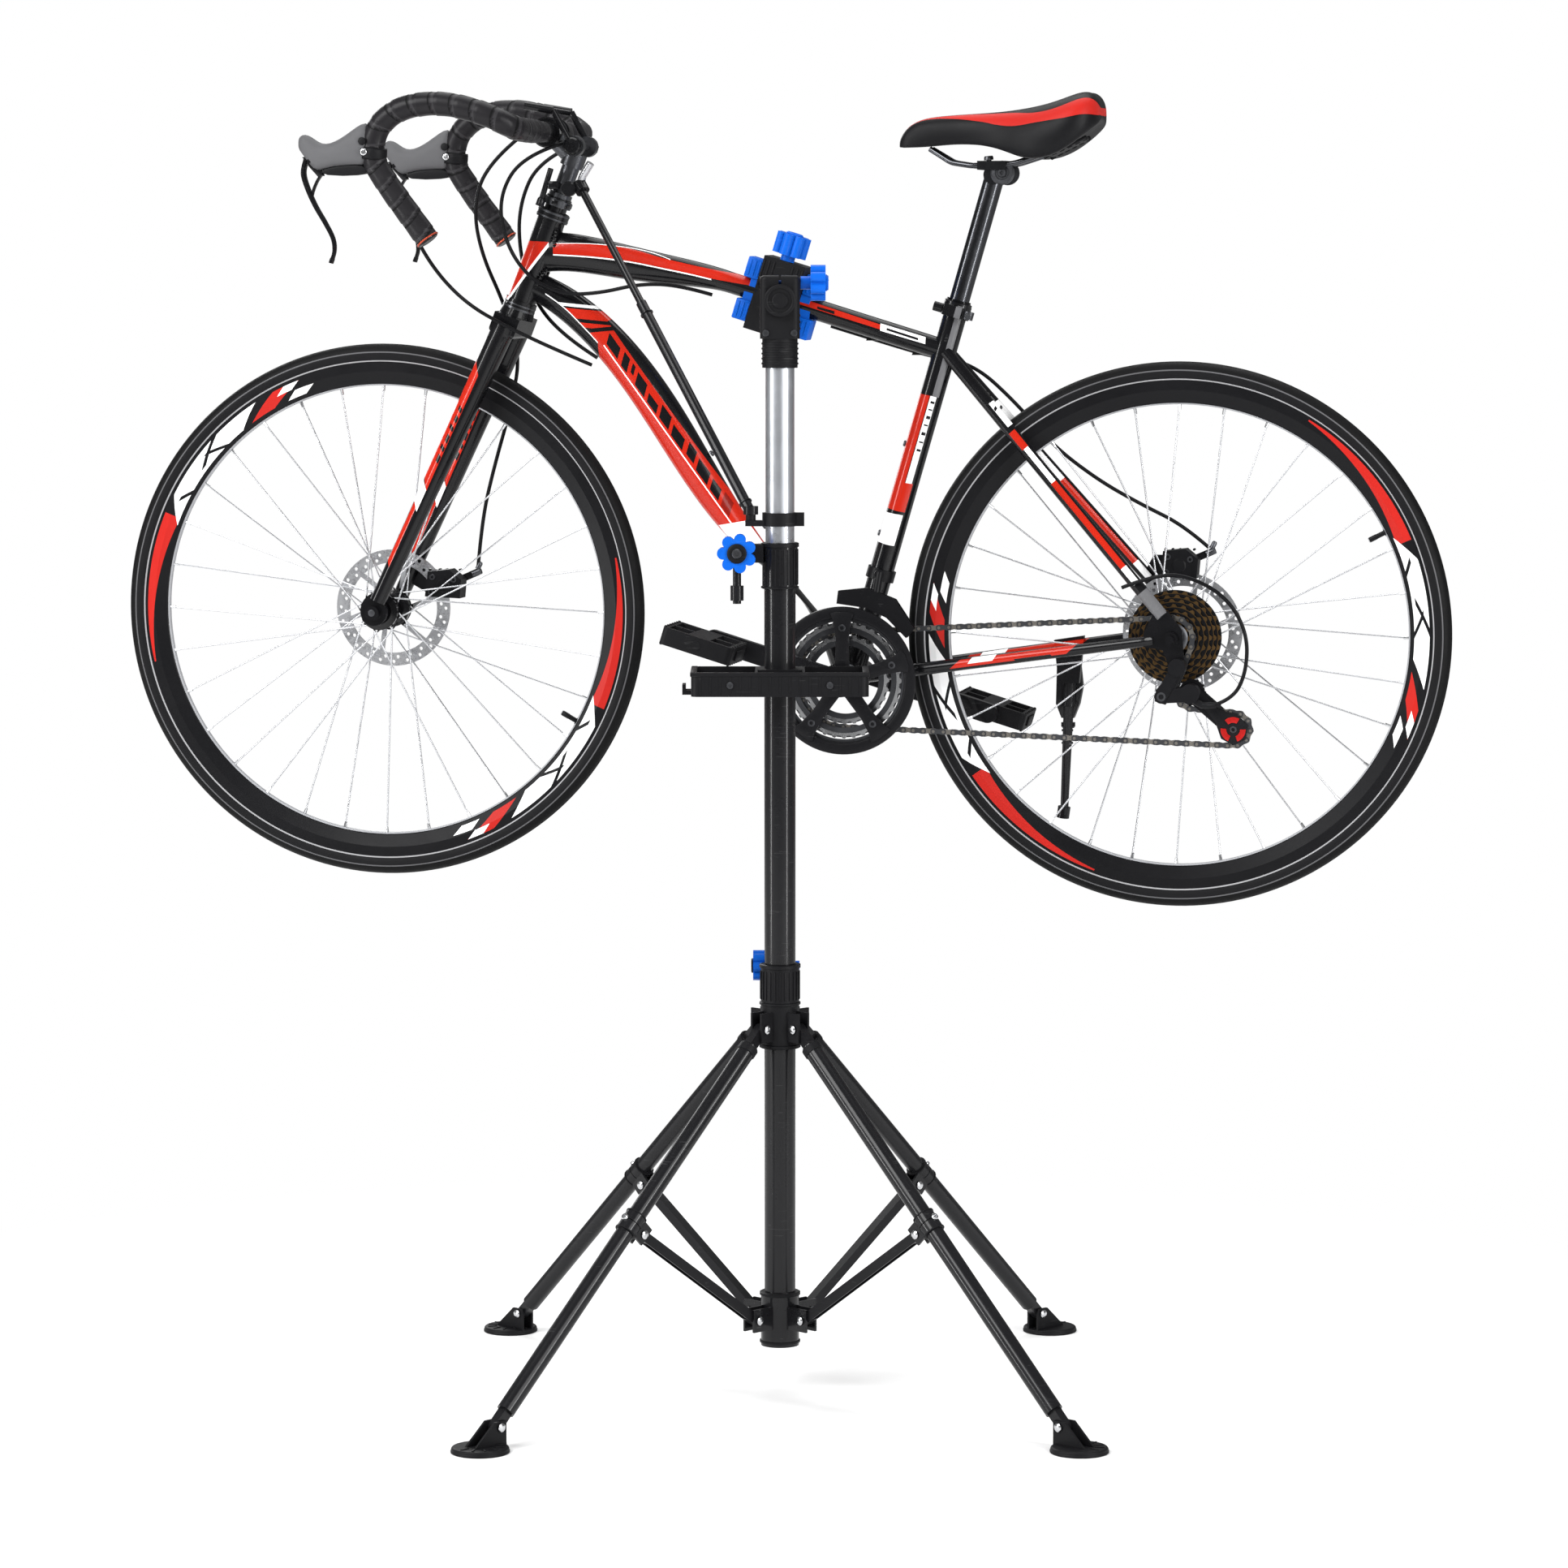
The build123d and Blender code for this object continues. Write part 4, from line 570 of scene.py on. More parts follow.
def brick(bm, low, high, place=None, soft=1.0, index=0):
    """A block between two corners with softened edges."""
    part = bmesh.new()
    bmesh.ops.create_cube(part, size=1.0)
    bmesh.ops.scale(part, vec=[b - a for a, b in zip(low, high)], verts=part.verts)
    bmesh.ops.translate(part, vec=[(a + b) / 2 for a, b in zip(low, high)], verts=part.verts)
    if soft:
        soften(part, part.edges[:], soft)
    join(bm, part, place, index)


def ring_band(bm, rim, hole, low, high, place, index=0):
    """A plate with an outer and an inner loop of (x, y) points, thickened along z."""
    part = bmesh.new()
    loops = []
    for points in (rim, hole):
        verts = [part.verts.new((x, y, low)) for x, y in points]
        loops += [part.edges.new(pair) for pair in zip(verts, verts[1:] + verts[:1])]
    bmesh.ops.bridge_loops(part, edges=loops)
    grown = bmesh.ops.extrude_face_region(part, geom=part.faces[:])
    bmesh.ops.translate(part, vec=(0, 0, high - low), verts=grown_items(grown))
    join(bm, part, place, index)


def circle_points(radius, count, phase=0.0):
    """Points at equal angles round a circle."""
    turns = [phase + 2 * pi * n / count for n in range(count)]
    return [(radius * cos(turn), radius * sin(turn)) for turn in turns]


def squared(count, power):
    """A circle of points that bulges towards a square."""
    return [(abs(x) ** power * (1 if x > 0 else -1), abs(y) ** power * (1 if y > 0 else -1))
            for x, y in circle_points(1, count)]


def pulled(bm, edges, places):
    """Draw a loop of edges through places, ring by ring, and close its end."""
    for before, after in zip(places, places[1:]):
        grown = bmesh.ops.extrude_edge_only(bm, edges=edges)
        edges = grown_items(grown, bmesh.types.BMEdge)
        bmesh.ops.transform(bm, matrix=after @ before.inverted(), verts=grown_items(grown))
    bmesh.ops.contextual_create(bm, geom=edges)


def swept(bm, stations, sides=16, index=0, section=None):
    """A bar through stations of (point, direction, half width, half height)."""
    part = bmesh.new()
    places, up = [], Vector((0, 0, 1))
    for point, run, wide, tall in stations:
        place = aim(point, run, up)
        up = place.col[1].to_3d()
        places.append(place @ Matrix.Diagonal((wide, tall, 1, 1)))
    if section:
        verts = [part.verts.new((x, y, 0)) for x, y in section]
        edges = list(part.faces.new(verts).edges)
        bmesh.ops.transform(part, matrix=places[0], verts=verts)
    else:
        made = bmesh.ops.create_circle(part, cap_ends=True, radius=1.0, segments=sides, matrix=places[0])
        edges = [e for e in part.edges if all(v in made["verts"] for v in e.verts)]
    pulled(part, edges, places)
    join(bm, part, None, index)


def smooth_line(points, steps=8):
    """A smooth line through given points, as (point, direction) pairs."""
    points = [Vector(p) for p in points]
    ends = [2 * points[0] - points[1]] + points + [2 * points[-1] - points[-2]]
    line = []
    for a, b, c, d in zip(ends, ends[1:], ends[2:], ends[3:]):
        bend, twist = 2 * a - 5 * b + 4 * c - d, 3 * b - a - 3 * c + d
        for step in range(steps):
            t = step / steps
            place = 0.5 * (2 * b + (c - a) * t + bend * t * t + twist * t ** 3)
            run = 0.5 * ((c - a) + 2 * bend * t + 3 * twist * t * t)
            line.append((place, run.normalized()))
    line.append((points[-1], (points[-1] - points[-2]).normalized()))
    return line


def hex_bolt(bm, centre, run, radius=5.0, tall=3.5, index=0):
    """A socket bolt head: a turned cap with a recess."""
    turned(bm, [(0, 0), (radius, 0), (radius, tall * 0.7), (radius * 0.86, tall), (radius * 0.5, tall),
                (radius * 0.5, tall * 0.35), (0, tall * 0.35)], aim(centre, run), 18, index=index)


def wheel(tree, axle):
    """Radius in millimetres, turn in degrees and distance to the side, about an axle."""
    return use(tree, "Wheel place", Centre=on_bike(axle) * MM)


def tube_coordinates(tree, start, end):
    """Distance along and above the line between two points of the side view, in millimetres."""
    run = Vector((end[0] - start[0], 0, end[1] - start[1])).normalized()
    up = Vector((-run.z, 0, run.x))
    return use(tree, "Tube place", Start=on_bike(start) * MM, Axis=run, Up=-up if up.z < 0 else up)


def painted(start, end, panels):
    """Layers of slanted panels along a tube: (colour, start, end, low, high, slant)."""
    def layers(look):
        along, over = tube_coordinates(look.tree, start, end)
        for colour, first, last, low, high, slant in panels:
            mask, = use(look.tree, "Painted panel", Along=along, Across=over, Start=first, End=last, Low=low,
                        High=high, Slant=slant)
            look.cover(mask, colour)
    return layers


def edge_height(x, points):
    """Height in mm of a smooth line through points of the side view."""
    heights = [z for _, z in points]
    low, high = min(heights) - 1.0, max(heights) + 1.0
    first, length = points[0][0], points[-1][0] - points[0][0]
    run = share(x.tree, x, first * MM, points[-1][0] * MM)
    marks = [((at - first) / length, (z - low) / (high - low)) for at, z in points]
    return float_curve(x.tree, run, marks) * (high - low) + low


def banded(bands, inner=None):
    """Bands between two lines of the side view, (colour, low, lift, high, lift), over other layers."""
    def layers(look):
        if inner:
            inner(look)
        x, _, z = parts_of(look.tree, object_place(look.tree))
        height = z * (1 / MM)
        for colour, low, low_lift, high, high_lift in bands:
            mask = inside(height, edge_height(x, low) + low_lift, edge_height(x, high) + high_lift)
            look.cover(mask * inside(x, low[0][0] * MM, low[-1][0] * MM), colour)
    return layers


TOP_RED_LOW = [(-284, 1389), (-214, 1384), (-134, 1370), (-81, 1358.4), (-24, 1348.6)]
TOP_RED_HIGH = [(-284, 1402), (-214, 1399.6), (-134, 1381.5), (-81, 1370), (-24, 1360.4)]
HEAD_EDGE = [(-345, 1333), (-331.3, 1350.3), (-289.5, 1403.5)]
HEAD_TOP = [(-345, 1406.5), (-331.3, 1406), (-289.5, 1404)]
CRESCENT = [(-302, 1351), (-262, 1344), (-232, 1328), (-206, 1311), (-176, 1283)]
DOWN_LINE = [(-294, 1338), (-270, 1321), (-250, 1302), (-226, 1277)]


def strokes(colour, slant, *spans):
    """Panels of one colour and slant, from their (start, end, low, high)."""
    return [(colour, *span, slant) for span in spans]


def make_frame_finishes():
    black, red, white = colours("frame_black", "frame_red", "frame_white")
    # This grey is the seat stays' real grey paint at their rear ends, and also a painted highlight down the
    # seat tube.
    grey_paint_and_highlight = shade(96, 96, 98)

    def paint(name, layers=None, rough=0.34, relief=0.004):
        finish(name + " paint", black, (0.2, rough), coat=0.3, grain=(0.0012, relief), layers=layers)

    down = [
        (red, 8, 352, -30, 30, -0.25),
        (white, -34, -29, -20, 30, -0.9), (red, -26, -10, -20, 30, -0.9), (black, -10, -4, -20, 30, -0.9),
        (red, -4, 4, -20, 30, -0.9), (black, 4, 10, -30, 30, -0.6),
        (black, 8, 352, 20.5, 30, 0), (black, 8, 352, -30, -20.5, 0), (white, 30, 318, -0.8, 0.8, 0.0),
        *strokes(black, 0.8, (34, 58, 4, 15), (66, 78, 3, 17), (84, 90, 8, 17), (96, 116, 3, 16),
                 (122, 142, 3, 12), (148, 168, 4, 17), (174, 198, 3, 14), (206, 222, 5, 17),
                 (228, 252, 3, 15), (258, 276, 3, 14)),
        (shade(122, 22, 14), 282, 300, 2, 16, 0.8), (white, 306, 346, -16, 16, -0.5),
        (black, 346, 600, -40, 40, -0.5),
    ]
    paint("down tube", banded([
        (black, CRESCENT, 0.0, [(-302, 1420), (-176, 1420)], 0.0),
        (black, [(-294, 1290), (-226, 1240)], 0.0, DOWN_LINE, 0.0), (white, DOWN_LINE, 0.0, DOWN_LINE, 1.8),
    ], painted((-236, 1299), (-51.5, 1048), down)))
    paint("top tube", banded([
        (red, TOP_RED_LOW, 0.0, TOP_RED_HIGH, 0.0), (white, TOP_RED_HIGH[:3], 0.0, TOP_RED_HIGH[:3], 0.9),
        (white, TOP_RED_LOW[:4], -2.0, TOP_RED_LOW[:4], -0.3),
        (red, [(32, 1326.5), (134, 1295.5)], 0.0, [(32, 1334.5), (134, 1301.5)], 0.0),
        (black, [(54, 1321), (76, 1314)], 0.0, [(54, 1324), (76, 1318)], 0.0),
        (white, [(134, 1294), (191, 1277.5)], 0.0, [(134, 1303), (191, 1286)], 0.0),
        (black, [(142, 1294.5), (182, 1282)], 0.0, [(142, 1297.5), (182, 1285)], 0.0),
        (white, HEAD_EDGE, -5.5, HEAD_EDGE, 0.0), (red, HEAD_EDGE, 0.0, HEAD_TOP, 0.0),
    ]))
    marks = ((143, 146), (153, 155), (162, 166), (173, 175), (183, 187), (195, 197), (205, 208))
    paint("seat tube", painted((236.2, 1345), (96, 860), [
        # The grey band from 5 to 137 along the seat tube is a painted highlight on its black paint.
        (grey_paint_and_highlight, 5, 137, -10, -2, 0.0), (red, 137, 287, 1, 30, -0.1), (white, 137, 250, -7.5, 0, 0),
        *[(black, first, last, -7, -2, 0) for first, last in marks],
        (red, 250, 287, -9, 30, -0.1), (black, 287, 291, -30, 30, 0), (white, 291, 331, -8, 30, -0.1),
        (black, 331, 645, -40, 40, 0),
    ]), 0.32, 0.003)
    paint("seat stay", painted((216, 1268), (497, 946), [
        (white, 86, 124, 1.5, 9, 0), (black, 96, 100, 2, 6, 0.5), (red, 131, 158, -3, 6, 0),
        (white, 158, 213, -1, 5.5, 0), (red, 213, 350, -2, 5.5, 0), (white, 350, 376, -2, 6, 0),
        (grey_paint_and_highlight, 388, 458, -30, 30, 0),
    ]))
    paint("chain stay", painted((96, 860), (497, 920), [
        (red, 140, 290, -4.5, 5, -1.5), (black, 215, 262, -5, -2.5, 0.6), (white, 158, 190, -1, 6, -0.9),
    ]))
    paint("fork", painted((-341, 1303), (-504.5, 950), [
        (red, 72, 232, -0.5, 30, 1.3), (white, 232, 262, 0, 30, 1.0), (red, 262, 345, 3, 9, 1.2),
        *strokes(black, 0.6, (120, 126, 0, 6), (132, 140, 0, 5), (146, 152, 0, 7), (158, 168, 0, 5),
                 (174, 180, 0, 7), (186, 196, 0, 5)),
    ]), 0.32, 0.003)
    paint("weld")


HUB_BARREL = 26.5
TREAD_EDGE = 326.0
HOOK_HEIGHT = 1481.0
PAD_HALF = 27.3
PAD_NEAR = 228.0


def rim_layers(axle, *bases):
    """Bands and marks on each half of a rim, from the low end of its red band, and a painted highlight along
    the inner edge.
    """
    black, red, white = colours("frame_black", "rim_red", "frame_white")
    marks = (  # colour, turn from the band's end, sweep, inner, outer, slant, taper
        (red, 0, 36, 293, 313, 0.0, 0.5), (black, -30, 66, 313.5, 317, 0, 0),
        (white, -28, 30, 293, 312, 0.35, 0.0), (black, -23, 1.6, 293, 306, -0.4, 0.0),
        (black, -15, 2.0, 297, 312, 0.5, 0.0), (black, -8, 1.4, 293, 303, -0.3, 0.0),
        (red, -38, 7, 293, 312, 0.45, 0.0), (white, -47, 5, 293, 302, 0.3, 0.0),
        (white, -44, 4, 304, 312, 0.3, 0.0),
    )

    def layers(look):
        radius, turn, _ = wheel(look.tree, axle)
        for base in bases:
            for colour, start, sweep, inner, outer, slant, taper in marks:
                mask, = use(look.tree, "Ring arc", Radius=radius, Turn=turn, From=base + start, Sweep=sweep,
                            Inner=inner, Outer=outer, Slant=slant, Taper=taper)
                look.cover(mask, colour)
        # A painted highlight: a light grey line along the rim's inner edge.
        look.cover(radius < RIM_INNER + 1.8, shade(150, 151, 154))
    return layers


def hub_layers(axle):
    """Black barrel with steel spokes and rotor outside it."""
    def layers(look):
        tree = look.tree
        outside = wheel(tree, axle)[0] > HUB_BARREL
        look.cover(outside, shade(188, 189, 192))
        look.metal = outside * 0.95
        swirl = noise(tree, vector_calc(tree, "MULTIPLY", object_place(tree), (300.0, 30.0, 300.0)), 1.0, 2.0)
        look.roughness = look.roughness + spread(tree, swirl, -0.08, 0.06)
    return layers


def chainset_layers(look):
    """Black arms, spider and guard over darker steel rings."""
    ring = inside(wheel(look.tree, CRANK)[2], -62.0, -40.0)
    look.cover(ring, shade(74, 75, 78))
    look.metal = ring * 0.9


def tape_layers(look):
    """Dark seams where one wrap of the tape overlaps the next, and a painted highlight along the raised edge
    beside them.
    """
    phase = attribute(look.tree, "wrap")
    seam = inside(phase, 0.01, 0.12)
    # A painted highlight on the raised edge of each wrap.
    look.cover(phase > 0.84, shade(46, 45, 47))
    look.cover(seam, shade(6, 6, 7))
    look.roughness = look.roughness + seam * 0.3


def pad_layers(look):
    """Blue ends of the soft pad outside the moulded jaw."""
    reach = 200.0
    start = CLAMP - Vector((cos(SLOPE), 0, -sin(SLOPE))) * reach
    along, _ = tube_coordinates(look.tree, (start.x, start.z), (CLAMP.x, CLAMP.z))
    y = parts_of(look.tree, object_place(look.tree))[1]
    look.cover((abs(along - reach) > PAD_HALF) * (y > PAD_NEAR / 1000), *colours("blue"))


def hook_layers(look):
    """Bare steel hook above the black rod."""
    above = parts_of(look.tree, object_place(look.tree))[2] > HOOK_HEIGHT / 1000
    look.cover(above, shade(190, 191, 194))
    look.metal = above * 0.95


def tyre_layers(axle):
    """A paler side wall with two thin rings of painted highlight."""
    def layers(look):
        radius = wheel(look.tree, axle)[0]
        look.cover((radius < 329.0) * 0.75, shade(18, 18, 20))
        # Painted highlights: a grey ring over the wall's moulded rib, and a near white ring where the tyre
        # meets the rim. Each rib value is the radius of one painted ring.
        for rib, colour in ((328.4, shade(84, 84, 86)), (317.2, shade(150, 150, 152))):
            look.cover(calc(look.tree, "COMPARE", radius, rib, 0.8), colour)
    return layers


def tread_height(axle):
    """Slanted sipes on the tyre's shoulders."""
    def height(tree):
        radius, turn, side = wheel(tree, axle)
        side = abs(side)
        sipe = calc(tree, "FRACT", turn * 0.72 + side * 0.09)
        tread = (sipe < 0.16) * inside(side, 4.5, 10.5) * (radius > TREAD_EDGE)
        return tread * (-sizes().tread_depth / MM)
    return height


def saddle_layers(look):
    """Red side band with stitched edges, widening to the rear."""
    tree = look.tree
    level = attribute(tree, "rise")
    run = share(tree, parts_of(tree, object_place(tree))[0], 0.156, 0.416)
    low, high = (float_curve(tree, run, points) for points in (
        [(0, 0.96), (0.2, 0.9), (0.4, 0.73), (0.52, 0.62), (0.7, 0.66), (0.84, 0.56), (1, 0.3)],
        [(0, 1.0), (0.3, 1.0), (0.42, 0.99), (0.56, 0.95), (0.7, 0.88), (0.84, 0.86), (1, 0.9)]))
    look.cover(inside(level, low, high), *colours("rim_red"))
    for edge in (low, high):
        look.cover(abs(level - edge) < 0.018, shade(10, 10, 11))


def ink(level):
    """A near black."""
    return shade(level, level, level + 2)


def make_finishes():
    plastic, tube, silver, blue, black = colours("plastic", "tube", "silver", "blue", "frame_black")
    tyre, tape, saddle, bronze = colours("tyre", "tape", "saddle", "bronze")
    make_frame_finishes()
    moulded = {"rough": (0.42, 0.6), "grain": (0.0007, 0.05), "scuffs": 0.25}
    finish("moulded black", plastic, **moulded)
    finish("jaw plastic", plastic, **moulded, layers=pad_layers)
    finish("coated tube", tube, (0.24, 0.36), grain=(0.0016, 0.012), coat=0.25, scuffs=0.35)
    finish("coated strut", ink(22), (0.28, 0.4), grain=(0.0016, 0.012), scuffs=0.3)
    finish("bare mast", silver, (0.26, 0.4), metallic=0.85, brushed=(500.0, 500.0, 12.0), tone=0.06)
    finish("bright steel", shade(205, 206, 208), (0.16, 0.3), metallic=1.0, brushed=(260.0, 260.0, 260.0),
           tone=0.05)
    finish("dark steel", shade(78, 79, 82), (0.26, 0.4), metallic=0.9, tone=0.1, grain=(0.001, 0.01))
    finish("knob blue", blue, (0.3, 0.46), grain=(0.0007, 0.03), tone=0.08, scuffs=0.15)
    finish("polished post", shade(72, 73, 76), (0.14, 0.24), metallic=1.0, tone=0.05)
    finish("hooked rod", ink(18), (0.2, 0.32), coat=0.3, layers=hook_layers)
    finish("rod black", ink(20), (0.24, 0.36), grain=(0.0016, 0.01), coat=0.2)
    for name, axle, bases in (("front", FRONT_AXLE, (-23, 157)), ("rear", REAR_AXLE, (23, -145))):
        finish(name + " rim", ink(16), (0.3, 0.42), grain=(0.0012, 0.01), tone=0.1,
               layers=rim_layers(axle, *bases))
        finish(name + " hub", ink(15), (0.22, 0.36), layers=hub_layers(axle))
        finish(name + " tyre", tyre, (0.52, 0.7), grain=(0.0006, 0.05), height=tread_height(axle),
               layers=tyre_layers(axle))
    finish("crank black", ink(18), (0.24, 0.38), coat=0.3, layers=chainset_layers, scuffs=0.3)
    finish("guard black", ink(20), (0.3, 0.44), grain=(0.0008, 0.02), scuffs=0.3)
    finish("sprocket bronze", bronze, (0.26, 0.4), metallic=0.85, tone=0.2, brushed=(300.0, 900.0, 300.0))
    finish("chain steel", shade(126, 122, 116), (0.26, 0.46), metallic=0.9, tone=0.25)
    finish("mech black", ink(17), (0.3, 0.45), grain=(0.0008, 0.03), scuffs=0.4)
    finish("mech red", shade(164, 28, 26), (0.26, 0.38), metallic=0.3, tone=0.1, grain=(0.001, 0.01))
    finish("pedal resin", ink(18), (0.44, 0.62), grain=(0.0006, 0.06), scuffs=0.4)
    finish("bar tape", tape, (0.24, 0.4), grain=(0.0009, 0.05), layers=tape_layers)
    finish("bar black", ink(16), (0.24, 0.34), coat=0.2, grain=(0.0012, 0.008))
    finish("hood rubber", shade(86, 86, 88), (0.5, 0.66), grain=(0.0005, 0.06))
    finish("lever black", ink(14), (0.22, 0.34), coat=0.3, grain=(0.0012, 0.01), scuffs=0.3)
    finish("copper end", shade(176, 74, 52), (0.24, 0.34), metallic=0.6, tone=0.05)
    finish("saddle cover", saddle, (0.3, 0.42), grain=(0.0008, 0.05))
    finish("saddle banded", saddle, (0.38, 0.52), grain=(0.0009, 0.06), layers=saddle_layers)
    finish("cable black", ink(13), (0.3, 0.42), grain=(0.0008, 0.02))
    finish("black satin", black, (0.2, 0.34), coat=0.4, grain=(0.0012, 0.006))


WORN_BY = {  # the solids that wear each finish; a star stands for the four corners of the stand
    "coated tube": "mast_outer_tube leg_*",
    "coated strut": "strut_*",
    "bare mast": "mast_inner_tube",
    "hooked rod": "holder_rod_inner",
    "moulded black": "upper_leg_collar head_housing rod_clip tool_tray foot_*",
    "jaw plastic": "clamp_head clamp_jaw",
    "knob blue": "tilt_lock_knob clamp_screw_knob mast_clamp_knob collar_knob",
    "rod black": "holder_rod_outer kickstand",
    "polished post": "seat_post",
    "down tube paint": "down_tube",
    "top tube paint": "head_and_top_tube",
    "seat tube paint": "seat_tube",
    "seat stay paint": "seat_stays",
    "chain stay paint": "chain_stays",
    "fork paint": "fork",
    "front rim": "front_rim",
    "rear rim": "rear_rim",
    "front hub": "front_hub",
    "rear hub": "rear_hub",
    "crank black": "chainset",
    "mech black": "rear_derailleur front_derailleur derailleur_cage front_caliper rear_caliper",
    "pedal resin": "pedal_near pedal_far",
    "lever black": "brake_lever_near brake_lever_far shift_levers",
    "dark steel": "stem seat_clamp_lever",
    "sprocket bronze": "cassette",
    "chain steel": "chain",
    "bar tape": "handlebar",
    "hood rubber": "brake_hoods",
    "saddle cover": "saddle",
    "cable black": "front_cables rear_cables",
}


class BIKESTAND_OT_finishes(bpy.types.Operator):
    """Give every solid of the bicycle and the stand its finish"""
    bl_idname = "bikestand.finishes"
    bl_label = "Finishes"

    def execute(self, context):
        make_effects()
        make_finishes()
        for name, solids in WORN_BY.items():
            for solid in solids.split():
                for corner in (LEG_PLACES if "*" in solid else ("",)):
                    data = NODES[solid.replace("*", corner)].data
                    data.materials.clear()
                    data.materials.append(MATERIALS[name])
        return {"FINISHED"}


# ---- control cables
CABLES = {  # body, solid that the cables replace, length in metres, route
    "brake_cable_front": ("steering", "front_cables", 0.6, [
        (-321, 205, 1534), (-366, 212, 1500), (-388, 234, 1445), (-386, 268, 1388), (-366, 299, 1328),
        (-346, 310, 1262), (-358, 303, 1192), (-379, 299, 1118), (-396, 301, 1050), (-403.4, 308, 986.9)]),
    "brake_cable_down": ("steering", None, 0.35, [
        (-441, 60, 1458), (-428, 96, 1410), (-410, 144, 1362), (-378, 174, 1324), (-330, 184, 1297),
        (-280, 200, 1272), (-232, 219.5, 1250)]),
    "shift_cable_near": ("steering", None, 0.47, [
        (-265, 209, 1527), (-312, 190, 1512), (-344, 190, 1462), (-340, 204, 1404), (-312, 216, 1358),
        (-268, 221, 1338), (-222, 223, 1340), (-170, 224, 1352), (-120, 227, 1350), (-80, 234, 1338)]),
    "shift_cable_far": ("steering", None, 0.37, [
        (-265, 281, 1527), (-318, 298, 1508), (-346, 302, 1450), (-342, 292, 1384), (-318, 280, 1324),
        (-276, 272, 1282), (-236, 268, 1258)]),
    "brake_cable_rear": ("frame", "rear_cables", 0.58, [
        (66, 263, 1299), (130, 265, 1279.5), (190, 268, 1262), (246, 272, 1252), (298, 281, 1204),
        (344, 289, 1150), (402, 297, 1106), (456, 303, 1076), (506, 312, 1051), (537.6, 317.4, 1023.1)]),
    "shift_cable_rear": ("frame", None, 0.28, [
        (447, 171, 981), (494, 167, 1000), (538, 166, 994), (580, 166, 968), (603, 164, 926), (602, 164, 880),
        (586, 165.8, 846), (561.2, 165.2, 838)]),
}


def lay_cable(name, body, replaced, length, route):
    """One housing along a smooth curve through its route."""
    data = bpy.data.curves.new(name, "CURVE")
    data.dimensions = "3D"
    spline = data.splines.new("NURBS")
    spline.points.add(len(route) - 1)
    for point, place in zip(spline.points, route):
        point.co = (*Vector(place) * MM, 1.0)
    spline.order_u = 3
    spline.use_endpoint_u = True
    spline.resolution_u = 10
    data.bevel_depth = sizes().cable_diameter / 2
    data.bevel_resolution = 3
    data.use_fill_caps = True
    data.materials.append(MATERIALS["cable black"])
    made = put_in_scene(name, data)
    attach(made, body)
    if replaced:
        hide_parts(replaced)


class BIKESTAND_OT_cables(bpy.types.Operator):
    """Lay the six control cables along their routes"""
    bl_idname = "bikestand.cables"
    bl_label = "Control Cables"

    def execute(self, context):
        for name, cable in CABLES.items():
            lay_cable(name, *cable)
        return {"FINISHED"}


# ---- stage, in metres
CAMERA_PLACE, CAMERA_TARGET = (1.291, -6.348, 1.405), (0.057, 0, 0.7478)
SENSOR_WIDTH, CLIP_END = 36.0, 60.0  # in millimetres and in metres
LAMP_TARGET = (0, 0.1, 0.8)
STRIP_HEIGHT = 3.2
FLOOR_RADIUS = 14.0
FADE_START, FADE_END = 0.75, 1.5


def stand_at(name, data, place, target):
    """A camera or lamp that looks at a target."""
    made = put_in_scene(name, data)
    made.location = place
    made.rotation_mode = "QUATERNION"
    made.rotation_quaternion = (Vector(target) - made.location).to_track_quat("-Z", "Y")
    return made


def make_world(settings):
    world = bpy.context.scene.world = bpy.data.worlds.new("studio")
    world.use_nodes = True
    tree = world.node_tree
    tree.nodes.clear()
    path = tree.nodes.new("ShaderNodeLightPath").outputs
    seen = calc(tree, "MAXIMUM", path["Is Camera Ray"], path["Is Transmission Ray"])
    dim, white = (node(tree, "Background", Color=(1, 1, 1, 1), Strength=strength)
                  for strength in (settings.world_light, 1.0))
    output = tree.nodes.new("ShaderNodeOutputWorld")
    put(tree, output.inputs[0], shaders_mixed(tree, seen, dim, white))


def make_floor(settings):
    """A pale disc that the camera sees fade to white."""
    bm = bmesh.new()
    bmesh.ops.create_circle(bm, cap_ends=True, segments=96, radius=FLOOR_RADIUS)
    data = bpy.data.meshes.new("floor")
    bm.to_mesh(data)
    bm.free()
    put_in_scene("floor", data)
    made = bpy.data.materials.new("studio floor")
    made.use_nodes = True
    tree = made.node_tree
    shader = tree.nodes["Principled BSDF"]
    for label, value in (("Base Color", tuple(settings.floor)), ("Roughness", 0.85),
                         ("Specular IOR Level", 0.2)):
        shader.inputs[label].default_value = value
    far = share(tree, vector_calc(tree, "LENGTH", object_place(tree)), FADE_START, FADE_END)
    far.socket.node.interpolation_type = "SMOOTHSTEP"
    seen = far * tree.nodes.new("ShaderNodeLightPath").outputs["Is Camera Ray"]
    mix = shaders_mixed(tree, seen, shader.outputs[0], node(tree, "Emission", Strength=1.0))
    put(tree, tree.nodes["Material Output"].inputs[0], mix)
    data.materials.append(made)


